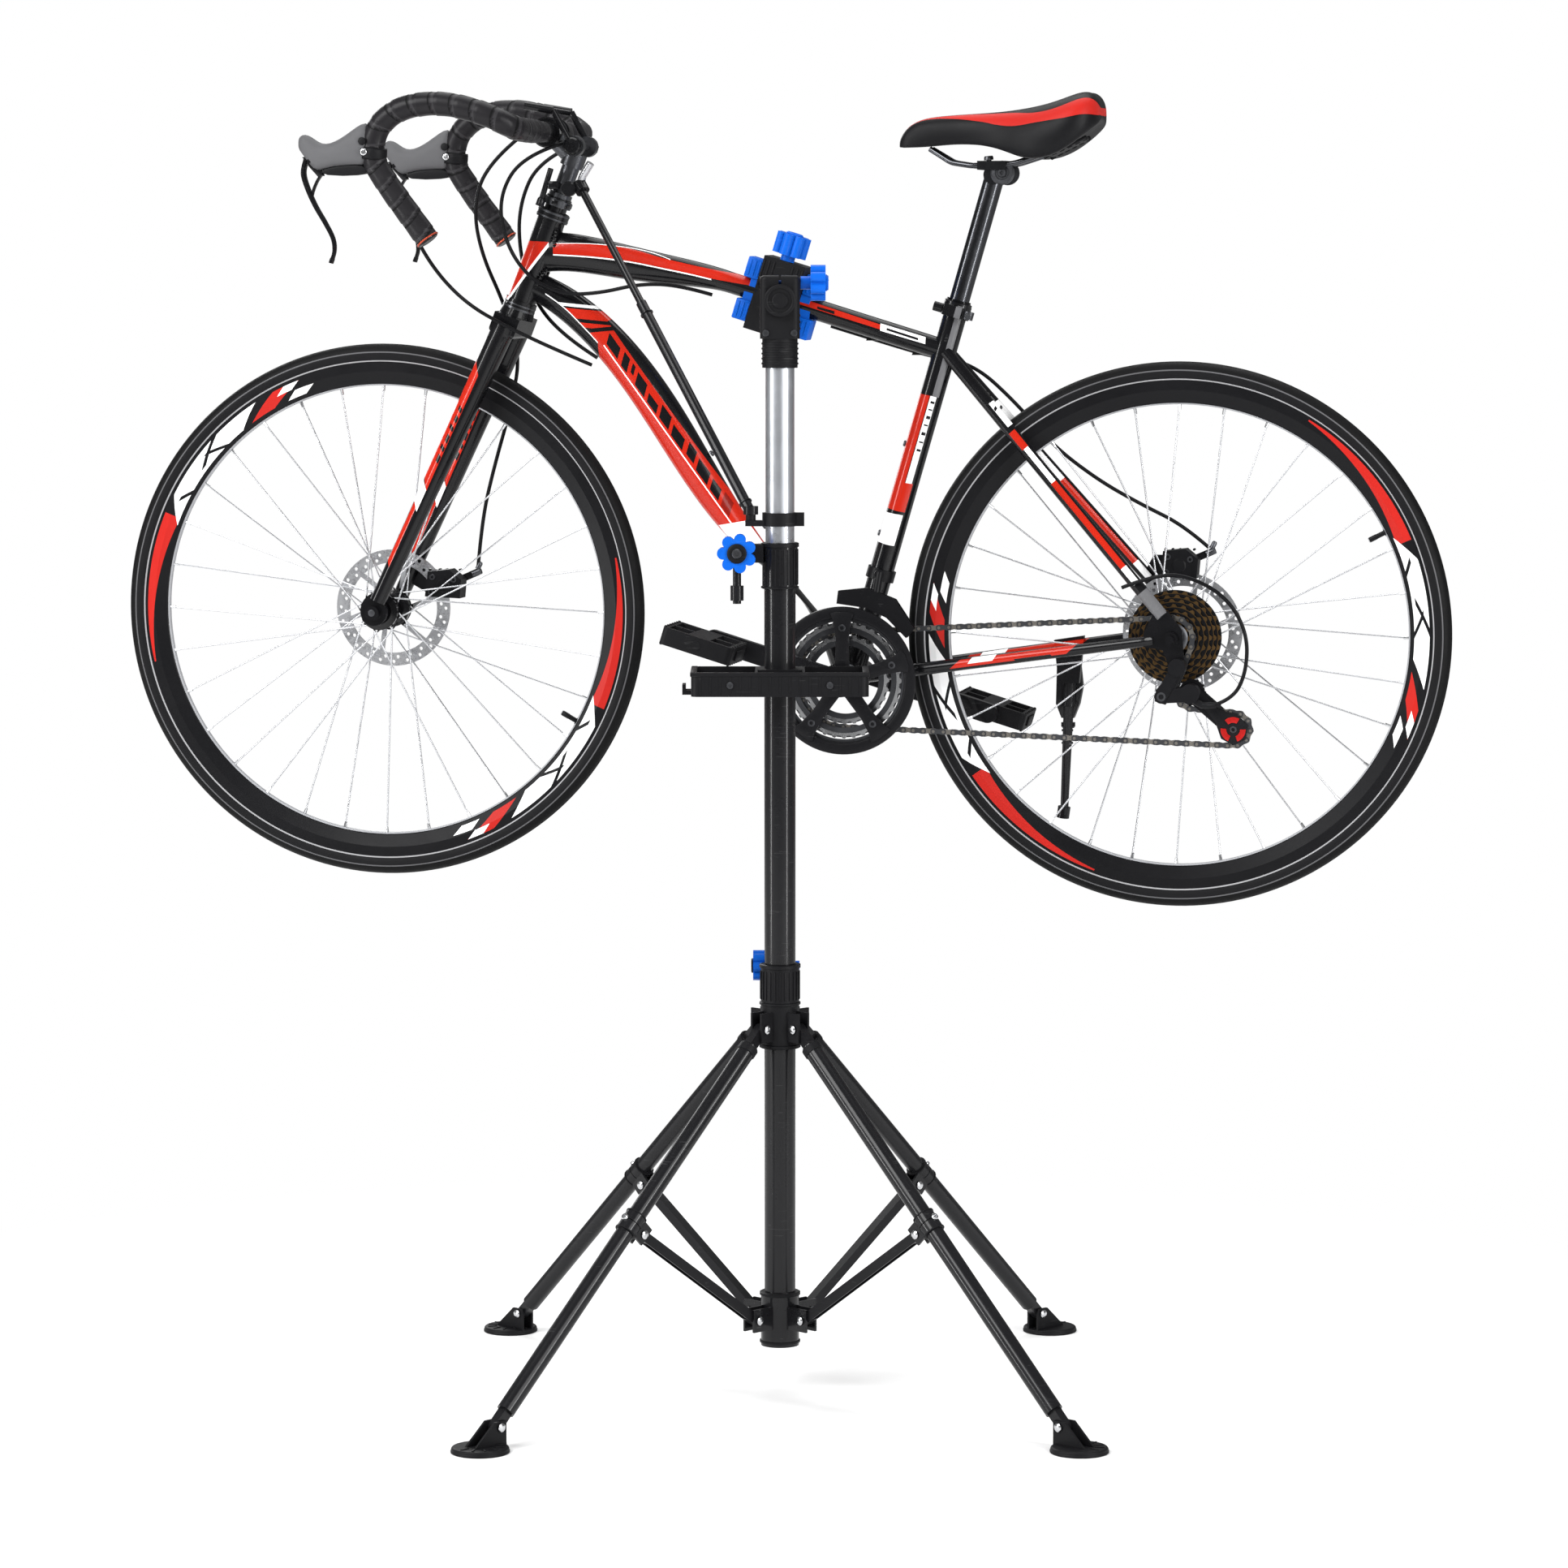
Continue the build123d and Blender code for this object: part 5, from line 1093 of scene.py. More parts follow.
class BIKESTAND_OT_stage(bpy.types.Operator):
    """Make the floor, the soft lamps, the world and the camera"""
    bl_idname = "bikestand.stage"
    bl_label = "Studio Stage"

    def execute(self, context):
        scene = context.scene
        settings = scene.stage_settings
        scene.view_settings.view_transform = "Standard"
        data = bpy.data.cameras.new("camera")
        data.lens = settings.lens
        data.sensor_width = SENSOR_WIDTH
        data.clip_end = CLIP_END
        scene.camera = stand_at("camera", data, CAMERA_PLACE, CAMERA_TARGET)
        make_world(settings)
        make_floor(settings)
        for name, place, size, power in (
                ("key", (-2.6, -3.8, 4.2), 3.0, settings.key_power),
                ("fill", (3.6, -3.4, 2.4), 3.0, settings.fill_power),
                ("top", (0.2, 1.2, 4.6), 3.5, settings.fill_power),
                ("rear", (-2.4, 3.6, 2.6), 2.5, settings.fill_power * 0.6),
                ("left strip", (-3.4, -2.2, 1.4), 0.35, settings.strip_power),
                ("right strip", (3.8, -1.8, 1.4), 0.35, settings.strip_power)):
            lamp = bpy.data.lights.new(name, "AREA")
            lamp.energy = power
            lamp.size = size
            if "strip" in name:
                lamp.shape = "RECTANGLE"
                lamp.size_y = STRIP_HEIGHT
            stand_at(name, lamp, place, LAMP_TARGET)
        return {"FINISHED"}


# ---- saddle
SADDLE_SECTIONS = [  # place along the bicycle, lowest, highest, half width
    (156, 1521, 1527, 5), (159, 1520, 1535, 9), (166, 1520, 1545, 13.5), (178, 1520, 1553, 17),
    (195, 1521, 1558, 20), (225, 1524, 1560.5, 23), (253, 1523, 1562, 28), (278, 1519, 1563.5, 36),
    (298, 1512, 1565.5, 46), (316, 1505, 1568, 56), (335, 1503, 1571.5, 64), (354, 1507, 1576.5, 69),
    (372, 1516, 1583, 71), (388, 1528, 1588.5, 69), (400, 1538, 1588, 62), (408, 1546, 1580, 50),
    (411, 1552, 1570, 34),
]
SADDLE_SHAPE = [  # share of the half width, share of the height, from the ridge down one side
    (0.0, 0.965), (0.16, 0.985), (0.36, 1.0), (0.58, 0.97), (0.76, 0.89), (0.9, 0.76), (0.97, 0.6),
    (1.0, 0.42), (0.99, 0.24), (0.94, 0.08), (0.84, 0.0), (0.62, 0.1), (0.3, 0.2), (0.0, 0.22),
]


def make_pad():
    """The padded shell, drawn through its sections, with its height share kept for the finish."""
    bm = bmesh.new()
    rise = bm.verts.layers.float.new("rise")
    loop = SADDLE_SHAPE + [(-u, v) for u, v in SADDLE_SHAPE[-2:0:-1]]
    verts = [bm.verts.new((0, u, v)) for u, v in loop]
    edges = list(bm.faces.new(verts).edges)
    for vert, (u, v) in zip(verts, loop):
        vert[rise] = v if u or v > 0.5 else 0.1
    places = [Matrix.Translation((x, BIKE_Y, low)) @ Matrix.Diagonal((1, half, high - low, 1))
              for x, low, high, half in SADDLE_SECTIONS]
    bmesh.ops.transform(bm, matrix=places[0], verts=verts)
    pulled(bm, edges, places)
    bmesh.ops.recalc_face_normals(bm, faces=bm.faces)
    pad = piece("saddle_pad", bm, "seat", "saddle banded", smooth=80,
                replaces=("saddle",))
    smooth = pad.modifiers.new("Smooth pad", "SUBSURF")
    smooth.levels = smooth.render_levels = 2


def make_saddle_hardware():
    """Rail clamp, rear bumper and the ring of the seat collar."""
    bm = bmesh.new()
    clamp = on_bike((288.5, 1489))
    for side in (-1, 1):
        turned(bm, [(0, 0), (15, 0), (15, 3), (13.2, 5), (9, 5.6), (8.4, 4.4), (0, 4.4)],
               aim(clamp + across(side * 20), (0, side, 0)))
        hex_bolt(bm, clamp + across(side * 24), (0, side, 0), 5.5, 4)
    pin(bm, clamp, 9, 20, 24)
    rod(bm, on_bike((271, 1474)), on_bike((268, 1508)), 3.2, soft=0.6)
    hex_bolt(bm, on_bike((268, 1505)), (-0.1, 0, 1), 6, 5)
    piece("saddle_clamp_details", bm, "seat", "dark steel")
    bm = bmesh.new()
    for t in (n / 5 for n in range(6)):
        for side in (-1, 1):
            place = Matrix.Translation((344 + 46 * t, BIKE_Y + side * (30 - 14 * t), 1508 + 22 * t + 1))
            brick(bm, (-3.2, -2.5, -3), (3.2, 2.5, 3), place @ turn_y(radians(-24)))
    brick(bm, (-26, -24, -2), (26, 24, 2), Matrix.Translation((368, BIKE_Y, 1521)) @ turn_y(radians(-25)),
          soft=1.5)
    piece("saddle_bumper", bm, "seat", "moulded black")
    bm = bmesh.new()
    turned(bm, [(15.3, 0), (15.3, 4), (17.6, 5), (17.6, 13), (15.3, 14), (15.3, 16)],
           aim(SEAT_TOP - SEAT_RUN * 10, SEAT_RUN), closed=True)
    piece("seat_collar_ring", bm, "frame", "black satin")


class BIKESTAND_OT_saddle(bpy.types.Operator):
    """Build the padded saddle with its shell, clamp and bumper"""
    bl_idname = "bikestand.saddle"
    bl_label = "Saddle"

    def execute(self, context):
        make_pad()
        make_saddle_hardware()
        return {"FINISHED"}


# ---- handlebar
BAR_LINE = [(-290, 52, 1541), (-290, 110, 1541), (-290, 150, 1541.5), (-292, 176, 1543), (-300, 192, 1548),
            (-318, 199, 1557), (-345, 200, 1566), (-375, 200, 1572), (-405, 200, 1572), (-433, 200, 1565),
            (-455, 200, 1549), (-466, 200, 1526), (-464, 200, 1502), (-450, 200, 1478), (-430, 200, 1450),
            (-412, 200, 1426), (-398, 200, 1407)]
HOOD_SECTIONS = [  # place along the bicycle, lowest, highest, half width
    (-470, 1497, 1551, 14), (-480, 1497, 1549.5, 15.5), (-492, 1497, 1541, 16), (-506, 1496.5, 1531, 16),
    (-520, 1495, 1524.5, 15.5), (-532, 1491, 1524, 15), (-541, 1492, 1530, 14.5), (-549, 1503, 1535.5, 13),
    (-556, 1512, 1536, 10.5), (-561, 1518, 1531, 6),
]
BLADE_LINE = [(-551, 1507), (-555, 1489), (-550, 1470), (-540, 1448), (-527, 1426), (-518, 1408),
              (-516.5, 1393), (-521, 1378)]


TAPE_START, TAPE_RISE = 26, 0.8
BARE_RADIUS, TAPE_RADIUS = 13.2, 14.4


def make_tape():
    """The bar as two swept halves whose radius grows along each turn of the tape."""
    bm = bmesh.new()
    wrap = bm.verts.layers.float.new("wrap")
    step = sizes().tape_step / MM
    sides = 22
    for side in (-1, 1):
        line = smooth_line([(x, BIKE_Y + side * y, z) for x, y, z in BAR_LINE], 14)
        travelled, stations, reach, before = 0.0, [], [], line[0][0]
        for place, run in line:
            travelled += (place - before).length
            before = place
            turn = (travelled % step) / step
            radius = BARE_RADIUS if travelled < TAPE_START else TAPE_RADIUS + TAPE_RISE * turn
            stations.append((place, run, radius, radius))
            reach.append(travelled)
        known = len(bm.verts)
        swept(bm, stations, sides)
        bm.verts.ensure_lookup_table()
        for number, vert in enumerate(bm.verts[known:]):
            wound = reach[number // sides] + 6.0 * sin(2 * pi * (number % sides) / sides)
            vert[wrap] = (wound % step) / step
        end = aim(*line[-1])
        turned(bm, [(0, 3), (11, 3), (13.4, 2.2), (14, 0.6), (14, -3), (0, -3)], end, 28, index=2)
        turned(bm, [(13.2, 1), (15.2, 1), (15.5, 0.2), (15.2, -1), (13.2, -1)], end, 28, closed=True, index=1)
    pin(bm, BAR_CENTRE, 13, 58, 28, 2)
    made = piece("bar_tape", bm, "steering", ["bar tape", "copper end", "bar black"],
                 replaces=("handlebar",))
    bevel = made.modifiers.new("Soft wraps", "BEVEL")
    bevel.width = 0.0004
    bevel.segments = 1
    bevel.limit_method = "ANGLE"


def make_hoods():
    """Rubber hoods over the lever bodies, with their buttons and clamp bands."""
    bm = bmesh.new()
    for side in (-1, 1):
        y = BIKE_Y + side * BAR_HALF
        swept(bm, [(Vector((x, y, (low + high) / 2)), Vector((-1, 0, 0)), half, (high - low) / 2)
                   for x, low, high, half in HOOD_SECTIONS], section=squared(20, 0.75))
        slab(bm, [(-531, 1484), (-480, 1485), (-468, 1489), (-474, 1499), (-500, 1499), (-534, 1494)], y - 9,
             y + 9, soft=2, index=1)
        cap(bm, aim((-474, y - 15.5, 1514), (0, -1, 0)), 4.6, 2.2, 3.6, 3, 18, 2)
        turned(bm, [(0, 0), (5.2, 0), (5.2, 2), (0, 2.6)], aim((-476, y - 15.3, 1527), (0, -1, 0)), 18,
               index=1)
        band(bm, aim((-466, y, 1512), (0.1, 0, 1)), -9, 9, 15.6, 17.2, 2, 30, 1)
    made = piece("brake_hood_covers", bm, "steering", ["hood rubber", "moulded black", "bright steel"],
                 replaces=("brake_hoods",), smooth=50)
    smooth = made.modifiers.new("Soft rubber", "SUBSURF")
    smooth.levels = smooth.render_levels = 1


def make_lever(side, place):
    """A brake lever's blade, the shift blade behind it and their pivot."""
    bm = bmesh.new()
    y = BIKE_Y + side * BAR_HALF
    line = smooth_line([(x, y, z) for x, z in BLADE_LINE], 9)
    stations = []
    for number, (point, run) in enumerate(line):
        t = number / (len(line) - 1)
        stations.append((point, run, 6.4 - 2.2 * t if t < 0.94 else 4.4,
                         (3.2 - 1.0 * t) * (1.25 if t > 0.94 else 1)))
    rounded = squared(14, 0.6)
    swept(bm, stations, section=rounded)
    back = smooth_line([(-532, y, 1487), (-538, y, 1478), (-543, y, 1466), (-545, y, 1456)], 3)
    swept(bm, [(p, r, 4.6 - 2.4 * n / (len(back) - 1), 1.8) for n, (p, r) in enumerate(back)],
          section=rounded)
    slab(bm, [(-556, 1508), (-546, 1510), (-530, 1490), (-529, 1485), (-536, 1484), (-548, 1497)], y - 4.6,
         y + 4.6, soft=1)
    pin(bm, (-545, y, 1503), 2.6, 12, 16)
    piece("brake_lever_blade_" + place, bm, place + "_brake_lever", "lever black",
          replaces=("brake_lever_" + place,))


def make_stem_details():
    """Spacers, bolts and the two round adjusters of the stem, and the cable post."""
    bm = bmesh.new()
    for low, high, radius in ((0.6, 3, 19.6), (9.5, 12, 17.2), (18.4, 21, 16.4), (22.5, 25, 13.2)):
        band(bm, aim(STEM_TOP, STEER), low, high, radius - 2, radius, 0.5, 36)
    for n in range(6):
        turn = Matrix.Rotation(radians(60 * n), 4, "Z")
        brick(bm, (14.5, -4, -3), (18.6, 4, 3), aim(STEM_TOP + STEER * 14, STEER) @ turn, soft=0.6)
    hex_bolt(bm, STEM_TOP + STEER * 80, STEER, 8, 6)
    for side in (-1, 1):
        turned(bm, [(13.4, 0), (19.5, 0), (19.5, 3), (17.5, 4.5), (13.4, 4.5)],
               aim(BAR_CENTRE + across(side * 19.5), (0, side, 0)), 36, closed=True)
        hex_bolt(bm, BAR_CENTRE + Vector((15, side * 10, -12)), (0.7, 0, -0.7), 4.2, 4)
        pod = STEM_TOP + STEER * 76 + Vector((8, side * 49, 12))
        turned(bm, [(0, 0), (10.6, 0), (10.6, 2.4), (8.8, 4.2), (4, 4.6), (3.6, 3.6), (0, 3.6)],
               aim(pod, (0, side, 0)), 28)
        for x, z in circle_points(10.4, 10):
            rod(bm, pod + Vector((x, -side * 4.5, z)), pod + Vector((x, 0, z)), 1.6, sides=8)
    piece("stem_details", bm, "steering", "black satin")
    bm = bmesh.new()
    base = on_bike((-296.8, 1456.7), -22)
    rod(bm, base, on_bike((-284.5, 1496), -22), 3.6, soft=0.8)
    cap(bm, aim(base - STEER * 8, STEER), 5.4, 9, 4, 11, 20)
    brick(bm, (-6, -26, 1470), (6, 2, 1480), Matrix.Translation((-282, BIKE_Y, 0)), soft=1.5)
    piece("cable_guide_post", bm, "steering", "rod black")


class BIKESTAND_OT_handlebar(bpy.types.Operator):
    """Wrap the drop bar with tape and add hoods, levers and stem details"""
    bl_idname = "bikestand.handlebar"
    bl_label = "Handlebar"

    def execute(self, context):
        make_tape()
        make_hoods()
        make_lever(-1, "near")
        make_lever(1, "far")
        make_stem_details()
        return {"FINISHED"}


# ---- wheels
SPOKES_PER_SIDE, SPOKE_CROSSING = 16, 3


def make_tyre(name, centre):
    """A tyre turned from its section, with a groove each side of the crown and a rib on each wall."""
    bm = bmesh.new()
    profile = []
    for number in range(57):
        angle = radians(-138 + 276 * number / 56)
        radius = TYRE_RADIUS
        if 3.2 < abs(TYRE_RADIUS * sin(angle)) < 4.4 and cos(angle) > 0:
            radius -= sizes().tread_depth / MM
        if cos(angle) < 0.35 and abs(abs(degrees(angle)) - 84) < 4:
            radius += 0.35
        profile.append((TYRE_OUTER - TYRE_RADIUS + radius * cos(angle), radius * sin(angle)))
    profile += [(RIM_OUTER + 0.6, 8.6), (RIM_OUTER + 0.6, -8.6)]
    turned(bm, profile, aim(centre, (0, 1, 0)), 180, closed=True)
    piece(name + "_tyre_tread", bm, name + "_wheel", name + " tyre", smooth=40,
          replaces=(name + "_tyre",))


def make_rim_details(name, centre, valve):
    """Bright rim edges, a nipple for each spoke and the valve."""
    bm = bmesh.new()
    for side in (-1, 1):
        turned(bm, [(RIM_OUTER - 0.4, 10.4), (RIM_OUTER + 1.2, 11.0), (RIM_OUTER + 1.8, 10.2),
                    (RIM_OUTER + 0.6, 9.6)],
               aim(centre, (0, side, 0)), 150, closed=True)
    piece(name + "_rim_edge", bm, name + "_wheel", "bright steel")
    bm = bmesh.new()
    pitch = 2 * pi / SPOKES_PER_SIDE
    for flange, shift in ((-1, 0.0), (1, pitch / 2)):
        for number in range(SPOKES_PER_SIDE):
            lean = 1 if number % 2 == 0 else -1
            out = spoke(number * pitch + shift + lean * SPOKE_CROSSING * pitch)
            rod(bm, centre + out * (RIM_INNER - 7) + across(flange * 0.7), centre + out * (RIM_INNER + 0.5),
                1.7, 2.2, sides=8)
    out = spoke(radians(valve))
    turned(bm, [(0, 0), (5.2, 0), (5.2, 1.6), (3.1, 1.8), (3.1, 12), (3.4, 12.4), (3.4, 21.5), (2.6, 23),
                (0, 23)],
           aim(centre + out * (RIM_INNER + 1), -out), 18, index=1)
    piece(name + "_nipples_and_valve", bm, name + "_wheel", ["bright steel", "cable black"])


def make_hub_details(name, centre, disc, flanges):
    """Rotor bolts on both sides of the disc, and the two spoke flanges."""
    bm = bmesh.new()
    for n in range(6):
        spot = centre + spoke(radians(60 * n + 12)) * 18
        hex_bolt(bm, spot + across(disc + 1.9), (0, 1, 0), 3.4, 2.4)
        hex_bolt(bm, spot + across(disc - 0.1), (0, -1, 0), 2.6, 1.2)
    for side, mid in zip((-1, 1), flanges):
        turned(bm, [(16.5, mid - 5), (20, mid - 4.4), (24.2, mid - 3.2), (24.2, mid + 3.2), (20, mid + 3.6),
                    (16.5, mid + 4.4)], aim(centre, (0, side, 0)), 40, closed=True, index=1)
    piece(name + "_hub_details", bm, name + "_wheel", ["dark steel", "black satin"])


class BIKESTAND_OT_wheels(bpy.types.Operator):
    """Build treaded tyres and dress rims, spokes, hubs and brake discs"""
    bl_idname = "bikestand.wheels"
    bl_label = "Wheels"

    def execute(self, context):
        for name, axle, valve, disc, flanges in (("front", FRONT_AXLE, -29.0, 38.0, (30, 30)),
                                                 ("rear", REAR_AXLE, 27.0, 47.0, (25, 33))):
            centre = on_bike(axle)
            make_tyre(name, centre)
            make_rim_details(name, centre, valve)
            make_hub_details(name, centre, disc, flanges)
        return {"FINISHED"}


# ---- chain, rings and sprockets
RING_PLANES = (46.0, 52.0, 58.0)
RING_RADII = (55.0, 72.0, 86.0)
RING_TEETH = (28, 36, 42)
COG_RADII = (56.0, 51.0, 46.0, 40.0, 34.0, 28.0, 21.0)
COG_TEETH = (28, 25, 23, 20, 17, 14, 11)
COG_FIRST, COG_PITCH = 34.0, 4.0
SMALL_COG = COG_FIRST + COG_PITCH * (len(COG_RADII) - 1)
UPPER_JOCKEY, LOWER_JOCKEY = (533.0, 852.0), (585.0, 807.5)
JOCKEY_RADIUS = 16.0
CHAIN_LIFT = 4.6


def chain_wheel(bm, centre, plane, radius, hole, half, teeth, index=0, rim=5.4):
    """A toothed rim, with four points for each tooth, and a thinner plate inside it."""
    place = Matrix.Translation(centre + across(-plane)) @ Matrix.Rotation(radians(90), 4, "X")
    points = []
    for number in range(teeth):
        for step, drop in ((-0.34, 3.4), (-0.14, 0.4), (0.1, 0.0), (0.32, 3.4)):
            turn = 2 * pi * (number + step) / teeth
            points.append(((radius + 1.6 - drop) * cos(turn), (radius + 1.6 - drop) * sin(turn)))
    count, phase = len(points), atan2(points[0][1], points[0][0])
    root = radius - rim
    ring_band(bm, points, circle_points(root, count, phase), -half, half, place, index)
    if hole < root - 1:
        ring_band(bm, circle_points(root + 0.3, count, phase), circle_points(hole, count, phase), -half * 0.9,
                  half * 0.9, place, index + 1)


def belt_line():
    """The chain's way round its four wheels, as points in the side view."""
    wheels = [(*CRANK, RING_RADII[0] + CHAIN_LIFT, 1), (*LOWER_JOCKEY, JOCKEY_RADIUS + CHAIN_LIFT, 1),
              (*UPPER_JOCKEY, JOCKEY_RADIUS + CHAIN_LIFT, -1), (*REAR_AXLE, COG_RADII[-1] + CHAIN_LIFT, 1)]
    runs = []
    for (x1, z1, r1, s1), (x2, z2, r2, s2) in zip(wheels, wheels[1:] + wheels[:1]):
        heading = atan2(z2 - z1, x2 - x1) - asin((s2 * r2 - s1 * r1) / hypot(x2 - x1, z2 - z1))
        left = (-sin(heading), cos(heading))
        runs.append([(x - left[0] * sense * radius, z - left[1] * sense * radius)
                     for x, z, radius, sense in ((x1, z1, r1, s1), (x2, z2, r2, s2))])
    line = []
    for number, (start, end) in enumerate(runs):
        x, z, radius, sense = wheels[(number + 1) % 4]
        leaving = runs[(number + 1) % 4][0]
        first, last = atan2(end[1] - z, end[0] - x), atan2(leaving[1] - z, leaving[0] - x)
        turn = (last - first) % (2 * pi) if sense > 0 else -((first - last) % (2 * pi))
        steps = max(int(abs(turn) / 0.08), 2)
        line += [start, end]
        line += [(x + radius * cos(first + turn * n / steps), z + radius * sin(first + turn * n / steps))
                 for n in range(1, steps)]
    return line


def even_points(line, count):
    """Points at equal distances round a closed line, and its length."""
    closed = line + line[:1]
    reach = [0.0]
    for a, b in zip(closed, closed[1:]):
        reach.append(reach[-1] + hypot(b[0] - a[0], b[1] - a[1]))
    points, number = [], 0
    for step in range(count):
        target = reach[-1] * step / count
        while reach[number + 1] < target:
            number += 1
        (x1, z1), (x2, z2) = closed[number], closed[number + 1]
        part = (target - reach[number]) / max(reach[number + 1] - reach[number], 1e-9)
        points.append((x1 + (x2 - x1) * part, z1 + (z2 - z1) * part))
    return points, reach[-1]


def make_chain():
    """Inner and outer links in turn along the chain's line."""
    bm = bmesh.new()
    line = belt_line()
    count = 2 * round(even_points(line, 4)[1] / (sizes().chain_pitch / MM) / 2)
    points = even_points(line, count)[0]

    def placed(x, z):
        """A point of the chain, led across from the ring to the small cog."""
        along = min(max((x - CRANK[0]) / (REAR_AXLE[0] - CRANK[0]), 0.0), 1.15)
        return Vector((x, BIKE_Y - (RING_PLANES[0] + (SMALL_COG - RING_PLANES[0]) * along), z))

    for number, (a, b) in enumerate(zip(points, points[1:] + points[:1])):
        start, end = placed(*a), placed(*b)
        outer = number % 2
        half = (end - start).length / 2
        place = Matrix.Translation((start + end) / 2) @ turn_y(-atan2(b[1] - a[1], b[0] - a[0]))
        upper = [(half + 3.4, 1.6), (half + 2, 3.4), (half - 2, 3.6), (0, 2.7), (2 - half, 3.6),
                 (-half - 2, 3.4), (-half - 3.4, 1.6)]
        gap = 2.25 if outer else 1.35
        for side in (-1, 1):
            low, high = sorted((side * gap, side * (gap + 0.8)))
            slab(bm, upper + [(x, -z) for x, z in reversed(upper)], low, high, place, index=outer)
        rod(bm, start - across(3.3), start + across(3.3), 2.0, sides=8)
    piece("chain_links", bm, "frame", ["chain steel", "dark steel"], replaces=("chain",))


def make_sprockets():
    """Seven cogs on their sleeve, with a lock ring outside and a plate inside."""
    bm = bmesh.new()
    axle = on_bike(REAR_AXLE)
    for number, (radius, teeth) in enumerate(zip(COG_RADII, COG_TEETH)):
        plane = COG_FIRST + COG_PITCH * number
        chain_wheel(bm, axle, plane, radius, 16.2 if number > 4 else radius * 0.55, 0.9, teeth, rim=2.6)
        for arm in range(6 if number <= 4 else 0):
            place = Matrix.Translation(axle + across(-plane)) @ turn_y(radians(60 * arm + 9 * number))
            brick(bm, (15, -0.8, -4), (radius * 0.58, 0.8, 4), place, soft=0, index=1)
    outward = aim(axle, (0, -1, 0))
    turned(bm, [(14, 31), (18.4, 31), (18.4, 58), (14, 58)], outward, 36, closed=True, index=1)
    turned(bm, [(14, 58.5), (19.4, 58.5), (19.4, 60), (17, 61.4), (14, 61.4)], outward, 36, closed=True,
           index=2)
    place = Matrix.Translation(axle + across(-31.4)) @ Matrix.Rotation(radians(90), 4, "X")
    ring_band(bm, circle_points(58, 72), circle_points(28, 72), -0.5, 0.5, place, 1)
    piece("sprocket_stack", bm, "sprockets", ["sprocket bronze", "black satin", "dark steel"],
          replaces=("cassette",))


def make_rings():
    """Toothed chainrings with their bolts, and the guard with five arms outside them."""
    bm = bmesh.new()
    centre = on_bike(CRANK)
    fifths = [radians(90 + 72 * n) for n in range(5)]
    for plane, radius, teeth in zip(RING_PLANES, RING_RADII, RING_TEETH):
        chain_wheel(bm, centre, plane, radius, radius - 12.2, 1.25, teeth)
    for turn in fifths:
        hex_bolt(bm, centre + spoke(turn) * 66 + across(-67), (0, -1, 0), 4.6, 2.2, index=1)
    piece("chainring_teeth", bm, "crank", ["bright steel", "dark steel"])
    bm = bmesh.new()
    outward = aim(centre, (0, -1, 0))
    turned(bm, [(79, 62.6), (92, 62.6), (92.6, 64), (92, 66.3), (89.5, 67), (81, 67), (79, 66.2)], outward,
           96, closed=True)
    for turn in fifths:
        slab(bm, [(14, -9), (52, -8), (74, -11), (84, -15), (86, -8), (86, 8), (84, 15), (74, 11), (52, 8),
                  (14, 9)],
             -68.5, -63, Matrix.Translation(centre) @ turn_y(-turn), soft=0.8)
    turned(bm, [(0, 79), (18.5, 79), (19.5, 82), (18, 84.4), (12, 85.2), (10.5, 83.6), (0, 83.6)], outward,
           40)
    piece("chain_guard", bm, "crank", "guard black")


def make_mech():
    """Jockey wheels and plates of the cage, and the rear derailleur's links and bolts."""
    bm = bmesh.new()
    y = BIKE_Y - SMALL_COG
    for x, z in (UPPER_JOCKEY, LOWER_JOCKEY):
        chain_wheel(bm, on_bike((x, z)), SMALL_COG + 1.4, 16, 5, 1.3, 11)
        hex_bolt(bm, (x, y - 8, z), (0, -1, 0), 4.6, 2.4, index=1)
    slab(bm, [(527, 862), (543, 856), (566, 832), (590, 826), (603, 812), (600, 795), (585, 788), (570, 796),
              (563, 816), (548, 834), (524, 842)], y - 9.3, y - 7.9, soft=0.3)
    for first in (-70, 60, 175):
        arc = [(radius * cos(radians(first + 9 * n)), radius * sin(radians(first + 9 * n)))
               for radius, order in ((15.5, range(9)), (8.5, range(8, -1, -1))) for n in order]
        slab(bm, [(LOWER_JOCKEY[0] + x, LOWER_JOCKEY[1] + z) for x, z in arc], y - 10.3, y - 9.0, soft=0.2,
             index=2)
    piece("derailleur_cage_plates", bm, "cage", ["mech black", "dark steel", "mech red"])
    bm = bmesh.new()
    face = BIKE_Y - 70 - 14.2
    hex_bolt(bm, (517, face, 884), (0, -1, 0), 8, 4, index=1)
    hex_bolt(bm, (498, face + 0.6, 848), (0, -1, 0), 6.4, 3.4, index=1)
    slab(bm, [(508, 888), (524, 892), (527, 878), (509, 846), (503, 838), (490, 842), (491, 856), (504, 872)],
         face - 0.8, face + 5, soft=1.2)
    slab(bm, [(494, 858), (506, 856), (534, 862), (545, 852), (538, 842), (505, 840), (493, 843)], face + 0.4,
         face + 6, soft=1.2)
    turned(bm, [(0, 0), (4, 0), (4, 8), (2.6, 9), (2.6, 14), (0, 14)],
           aim((557, BIKE_Y - 79.8, 838), (1, 0, 0)), 18)
    piece("derailleur_body_details", bm, "frame", ["mech black", "dark steel"])


class BIKESTAND_OT_drivetrain(bpy.types.Operator):
    """Build the linked chain, toothed rings, sprockets, guard and derailleur details"""
    bl_idname = "bikestand.drivetrain"
    bl_label = "Drivetrain"

    def execute(self, context):
        make_chain()
        make_sprockets()
        make_rings()
        make_mech()
        return {"FINISHED"}


